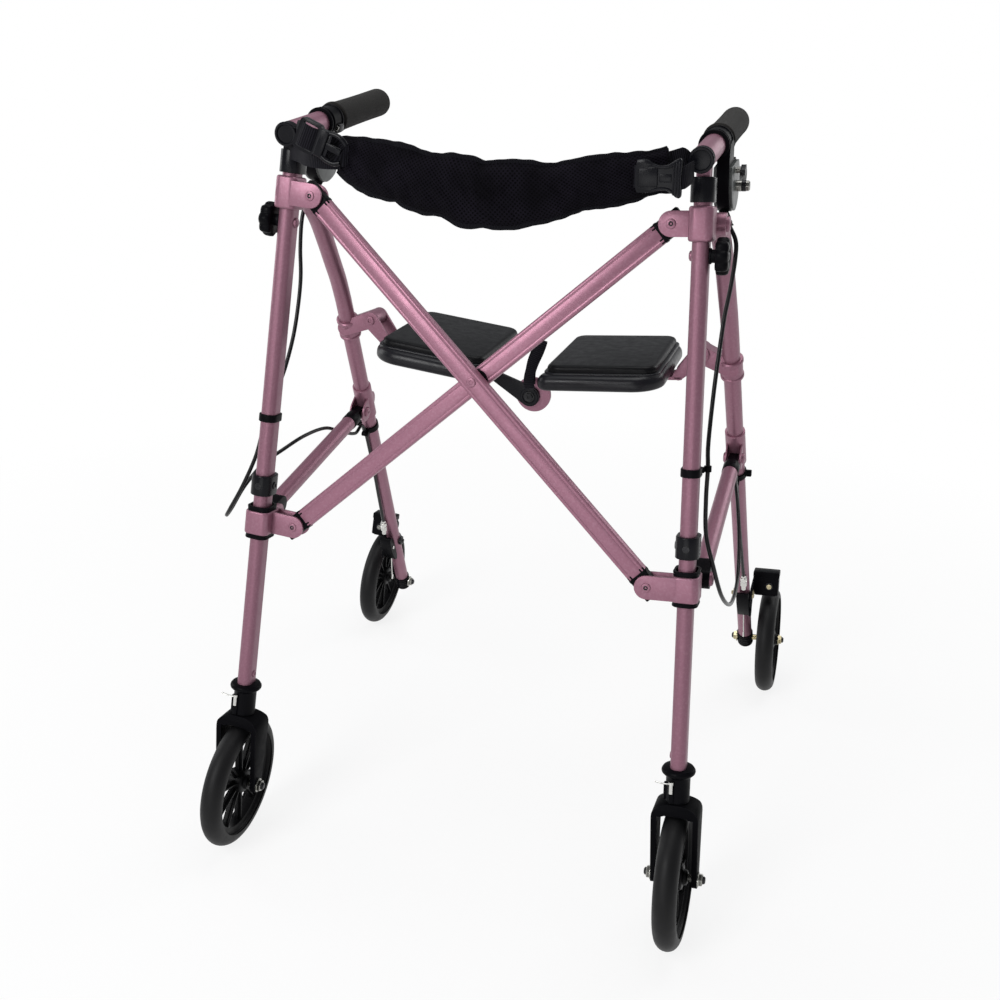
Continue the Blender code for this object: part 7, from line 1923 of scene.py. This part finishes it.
def pad_point(t, v, face):
    """Point of the pad: t along it, v up its face from -1 to 1, face 1 for its front and -1 for its back."""
    centre = backrest_middle(t)
    out, rise = backrest_axes(t)[1:]
    fall = min(1.0, max(0.0, t / 0.72))
    swell = max(0.0, 1 - abs(t)) ** 0.6 if t < 0 else 1 - 0.85 * fall * fall * (3 - 2 * fall)
    height = BACKREST_HEIGHT_ENDS + 0.001 + (BACKREST_HEIGHT_MIDDLE - BACKREST_HEIGHT_ENDS) * swell
    thick = BACKREST_THICK * (BACKREST_END_SHARE + (1 - BACKREST_END_SHARE) * max(0.0, 1 - t * t))
    hem = 0.87
    inner = min(1.0, max(0.0, (hem - abs(v)) / hem))
    ends = min(1.0, max(0.0, (PAD_LEFT - t) / 0.05), max(0.0, (t - PAD_RIGHT) / 0.05))
    round_off = math.sqrt(max(0.0, 1 - (1 - inner) ** 2.4)) * math.sqrt(max(0.0, 1 - (1 - ends) ** 2))
    half = 0.0013 + (thick / 2 - 0.0013) * round_off
    run = t * 0.155
    # gathers at both hems, slanting creases, and soft lumps of the filling
    edge = abs(v) ** 3
    gather = noise.noise(Vector((run * 95.0, v * 1.2, 3.1)))
    wave = noise.noise(Vector((run * 26.0, 0.4 * v, 7.7)))
    slant = noise.noise(Vector((run * 44.0 + v * 1.6, v * 0.7 - run * 6.0, 1.9)))
    crease = 1 - min(1.0, abs(slant) * 5.0)
    lump = noise.noise(Vector((run * 20.0, v * 1.3, 11.0)))
    half += round_off * (0.0022 * lump - 0.0022 * crease * crease + 0.0009 * gather)
    lie = 0.0024 * wave * edge + 0.0014 * gather * edge
    level = v * height / 2 + edge * math.copysign(1.0, v) * (0.0034 * wave + 0.0014 * gather)
    # the upper hem rises in bumps, and the lower one hangs in small scallops
    if v < 0:
        level -= edge * 0.0034 * (abs(math.sin(run * 62.0 + 0.9 * math.sin(run * 21.0))) - 0.5)
    else:
        level += edge * 0.0030 * (abs(math.sin(run * 38.0 + 1.1 * math.sin(run * 17.0))) - 0.5)
    return centre + rise * (level - 0.0015 * (t > 0) * min(1.0, t * 3)) + out * (face * half + lie)


def pad_share(index):
    """Place t of one of the pad's rings."""
    return PAD_RIGHT + (PAD_LEFT - PAD_RIGHT) * index / PAD_RINGS


def pad_middle(t, v):
    """Point between the pad's two faces."""
    return (pad_point(t, v, 1) + pad_point(t, v, -1)) / 2


def gathered(obj):
    """Give a soft piece a mesh of its own."""
    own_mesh(obj)


def dress_backrest():
    work = bmesh.new()
    layer = work.loops.layers.uv.new("UVMap")
    rows = [-1 + 2 * index / PAD_ROWS for index in range(PAD_ROWS + 1)]
    section = [(v, 1) for v in rows] + [(v, -1) for v in rows[::-1]]
    shares = [pad_share(index) for index in range(PAD_RINGS + 1)]
    loops = [[work.verts.new(pad_point(t, v, face)) for v, face in section] for t in shares]
    count = len(section)
    for index in range(PAD_RINGS):
        for step in range(count):
            after = (step + 1) % count
            spots = ((index, step), (index, after), (index + 1, after), (index + 1, step))
            face = work.faces.new([loops[ring][row] for ring, row in spots])
            for loop, (ring, row) in zip(face.loops, spots):
                loop[layer].uv = (shares[ring] * 0.158, section[row][0] * 0.031)
    work.faces.new(loops[0][::-1])
    work.faces.new(loops[-1])
    bmesh.ops.recalc_face_normals(work, faces=work.faces)
    pad = piece("backrest_cushion", [solid_object(mesh_of(work))], MESH, "handle_right", "backrest_pad", 60.0)
    gathered(pad)
    # Binding tape over both long edges and the ends
    tapes = []
    for v in (-1.0, 1.0):
        wide = [backrest_axes(t)[2] for t in shares[::2]]
        path = [pad_middle(t, v) - rise * v * 0.0030 for t, rise in zip(shares[::2], wide)]
        tapes.append(ribbon(path, wide, 0.0076, 0.0036))
    for t in (PAD_RIGHT, PAD_LEFT):
        ahead = backrest_axes(t)[0]
        path = [pad_middle(t, v) - ahead * t * 0.0030 for v in rows[1:-1]]
        tapes.append(ribbon(path, ahead, 0.0076, 0.0036))
    gathered(piece("backrest_binding", tapes, TAPE, "handle_right", smooth=40.0))


def cap_place(side):
    """Frame along the handle's tube, and the middle of its front cap's spigot in it."""
    return handle_frame(FRAMES[side]), HANDLE_FRONT - TOUCH_GAP - (CAP_LENGTH - CAP_FLANGE_THICK) / 2


def dress_strap(side):
    """Webbing wound round the handle's front cap, and its run to the pad's end, widening on the way."""
    tag = LABEL[side]
    along, middle = cap_place(side)
    thick = 0.0011
    rings = []
    for layer in (0, 1):
        radius = CAP_SPIGOT_RADIUS + TOUCH_GAP + thick / 2 + layer * 0.0010
        path = [along @ Vector((x, y, middle)) for x, y in arc(radius, 0.0, 0.0, 0.0, 2 * math.pi, 36)[:-1]]
        rings.append(ribbon(path, along.to_3x3() @ Vector((0.0, 0.0, 1.0)), STRAP_WIDTH - 0.0002,
                            thick, True))
    start = along @ Vector((-side * (CAP_SPIGOT_RADIUS + 0.0004), -0.001, middle))
    target = backrest_middle(float(side)) + Vector((-side * 0.004, -0.001, 0.0))
    shares = [index / 16 for index in range(17)]
    widths = [STRAP_WIDTH + (0.023 - STRAP_WIDTH) * min(1.0, share * 6.0) ** 0.7 for share in shares]
    wide = Vector((0.0, 0.10, 1.0)).normalized()
    runs = []
    for layer in (0, 1):
        path = [start.lerp(target, share)
                + Vector((0.0, 0.0015 * layer - 0.003 * math.sin(math.pi * share), 0.0))
                for share in shares]
        runs.append(ribbon(path, wide, widths, 0.0012))
    piece("strap_ring" + tag, rings, WEBBING, "handle" + tag, "backrest_strap" + tag, 50.0)
    gathered(piece("strap_run" + tag, runs, WEBBING, "handle" + tag, smooth=50.0))


def buckle_frame(place, tilt):
    """Frame with X to the left along the buckle, Y up across it, Z towards the front."""
    return Matrix.Translation(place) @ Matrix.Rotation(-tilt, 4, "Y") @ Matrix.Rotation(math.pi / 2, 4, "X")


def dress_left_buckle():
    """Closed buckle in front of the pad's end, and the webbing tabs that hold it."""
    spot = buckle_frame(Vector((0.1728, -0.2432, 0.7795)), math.radians(2.0))
    outline = closed_smooth([(-0.0205, 0.0120), (-0.0205, -0.0105), (-0.0150, -0.0130), (-0.0060, -0.0125),
                             (0.0020, -0.0108), (0.0100, -0.0120), (0.0150, -0.0160), (0.0190, -0.0165),
                             (0.0196, -0.0110), (0.0190, 0.0), (0.0196, 0.0130), (0.0178, 0.0168),
                             (0.0130, 0.0150), (0.0080, 0.0116), (0.0, 0.0104), (-0.0060, 0.0122),
                             (-0.0110, 0.0150), (-0.0170, 0.0150)], 3)
    parts = [eased(plate([outline], -0.0036, 0.0036, spot), 0.0012, 2, 50.0),
             block((-0.0185, -0.0080, 0.0030), (-0.0010, 0.0080, 0.0048), spot, 0.0014, 3),
             block((0.0000, -0.0035, 0.0030), (0.0110, 0.0035, 0.0044), spot, 0.0012, 3)]
    for x in (0.0128, 0.0152, 0.0176):
        parts.append(block((x - 0.0007, -0.0145, 0.0030), (x + 0.0007, 0.0145, 0.0044), spot, 0.0006, 2))
    for hand in (-1, 1):
        finger = [(-0.0060, hand * 0.0108, 0.0036), (0.0010, hand * 0.0092, 0.0044),
                  (0.0080, hand * 0.0096, 0.0042), (0.0130, hand * 0.0126, 0.0034)]
        parts.append(tube_along(smooth_path(finger, 4), 0.0013, spot, 3))
    piece("buckle_left", parts, GLOSS, "handle_left")
    tabs = []
    for line in (((-0.0170, 0.0, 0.0), (-0.0215, 0.0, -0.0010), (-0.0250, 0.0, -0.0080)),
                 ((0.0150, 0.0, 0.0), (0.0205, 0.0, -0.0012), (0.0250, 0.0030, -0.0100),
                  (0.0270, 0.0040, -0.0180))):
        run = smooth_path([spot @ Vector(point) for point in line], 4)
        tabs.append(ribbon(run, spot.to_3x3() @ Vector((0.0, 1.0, 0.0)), 0.0190, 0.0013))
    piece("buckle_webbing_left", tabs, WEBBING, "handle_left", smooth=50.0)


def dress_right_buckle():
    """Tilted buckle with its ladder frame in front, and the webbing round, below and behind it."""
    spot = buckle_frame(Vector((-0.1470, -0.2500, 0.7912)), math.radians(-23.0))
    ring = [rounded(0.0230, 0.0300, 0.0040, -0.0140, 0.0, 5),
            rounded(0.0160, 0.0236, 0.0020, -0.0140, 0.0, 5)]
    parts = [eased(plate(ring, -0.0034, 0.0034, spot), 0.0010, 2, 50.0),
             block((-0.0040, -0.0130, -0.0030), (0.0050, 0.0130, 0.0034), spot, 0.0014, 3)]
    for hand in (-1, 1):
        finger = [(0.0030, hand * 0.0112, 0.0), (0.0110, hand * 0.0128, 0.0004),
                  (0.0180, hand * 0.0122, 0.0006), (0.0235, hand * 0.0088, 0.0)]
        parts.append(tube_along(smooth_path(finger, 5), 0.0024, spot, 4))
    parts.append(block((0.0040, -0.0034, -0.0016), (0.0210, 0.0034, 0.0016), spot, 0.0012, 3))
    parts.append(block((0.0036, -0.0110, -0.0024), (0.0085, 0.0110, 0.0010), spot, 0.0008, 2))
    piece("buckle_right", parts, GLOSS, "handle_right")
    rise = spot.to_3x3() @ Vector((0.0, 1.0, 0.0))
    upright = Vector((0.0, 0.15, 1.0)).normalized()
    bulge = [(-0.0235, -0.0030), (-0.0220, 0.0030), (-0.0180, 0.0062), (-0.0130, 0.0066), (-0.0080, 0.0050),
             (-0.0050, 0.0010), (-0.0040, -0.0040)]
    path = [spot @ point for point in smooth_path([(x, 0.0, z) for x, z in bulge], 5)]
    along, middle = cap_place(RIGHT)
    cap = along @ Vector((CAP_SPIGOT_RADIUS, -0.002, middle))
    tail = smooth_path([cap, cap.lerp(path[0], 0.5) + Vector((0.0, -0.003, 0.0)), path[0]], 6)
    widths = [STRAP_WIDTH + 0.0130 * min(1.0, index / 6) for index in range(len(tail))]
    fold = smooth_path([(-0.2115, -0.1990, 0.7795), (-0.2030, -0.2020, 0.7790), (-0.1880, -0.2140, 0.7780),
                        (-0.1700, -0.2320, 0.7768), (-0.1500, -0.2385, 0.7762),
                        (-0.1340, -0.2370, 0.7765)], 5)
    back = path[-1]
    rest = smooth_path([back, back + Vector((0.010, 0.006, -0.004)), (-0.1330, -0.2400, 0.7800),
                        (-0.1260, -0.2360, 0.7790)], 5)
    webs = [ribbon(path, rise, 0.0215, 0.0015), ribbon(tail, upright, widths, 0.0013),
            ribbon(fold, upright, 0.0200, 0.0016), ribbon(rest, rise, 0.0200, 0.0013)]
    piece("strap_bulge_right", webs, WEBBING, "handle_right", smooth=50.0)


def dress_pull_strap():
    """Loop of webbing that folds the seat when it is pulled."""
    path = [(0.0190, -0.0735, 0.5235), (0.0182, -0.0760, 0.5300), (0.0190, -0.0765, 0.5400),
            (0.0225, -0.0760, 0.5530), (0.0275, -0.0750, 0.5660), (0.0300, -0.0730, 0.5750),
            (0.0300, -0.0700, 0.5785), (0.0280, -0.0670, 0.5760), (0.0235, -0.0650, 0.5660),
            (0.0190, -0.0650, 0.5530), (0.0172, -0.0660, 0.5400), (0.0178, -0.0690, 0.5270)]
    band = ribbon(smooth_path(path, 5), Vector((0.92, 0.25, -0.30)).normalized(), 0.0118, 0.0012)
    piece("pull_strap", [band], WEBBING, "seat_hinge", smooth=50.0)


make_camera()
make_stage()
FRAMES = {side: side_frame(side) for side in (LEFT, RIGHT)}
for each in (LEFT, RIGHT):
    dress_cable(each, FRAMES[each])
for each in (LEFT, RIGHT):
    dress_front_leg(each, FRAMES[each])
    dress_collars(each, FRAMES[each])
    dress_handle(each, FRAMES[each])
    dress_brake(each, FRAMES[each])
    dress_knob(each, FRAMES[each])
    dress_bar(each)
    dress_rear_leg(each, FRAMES[each])
    dress_link(each, FRAMES[each])
    dress_wheels(each, FRAMES[each])
    dress_caster(each, FRAMES[each])
    dress_rear_brake(each, FRAMES[each])
    dress_seat(each)
dress_rivet()
dress_seat_hinge()
dress_backrest()
dress_strap(LEFT)
dress_left_buckle()
dress_strap(RIGHT)
dress_right_buckle()
dress_pull_strap()
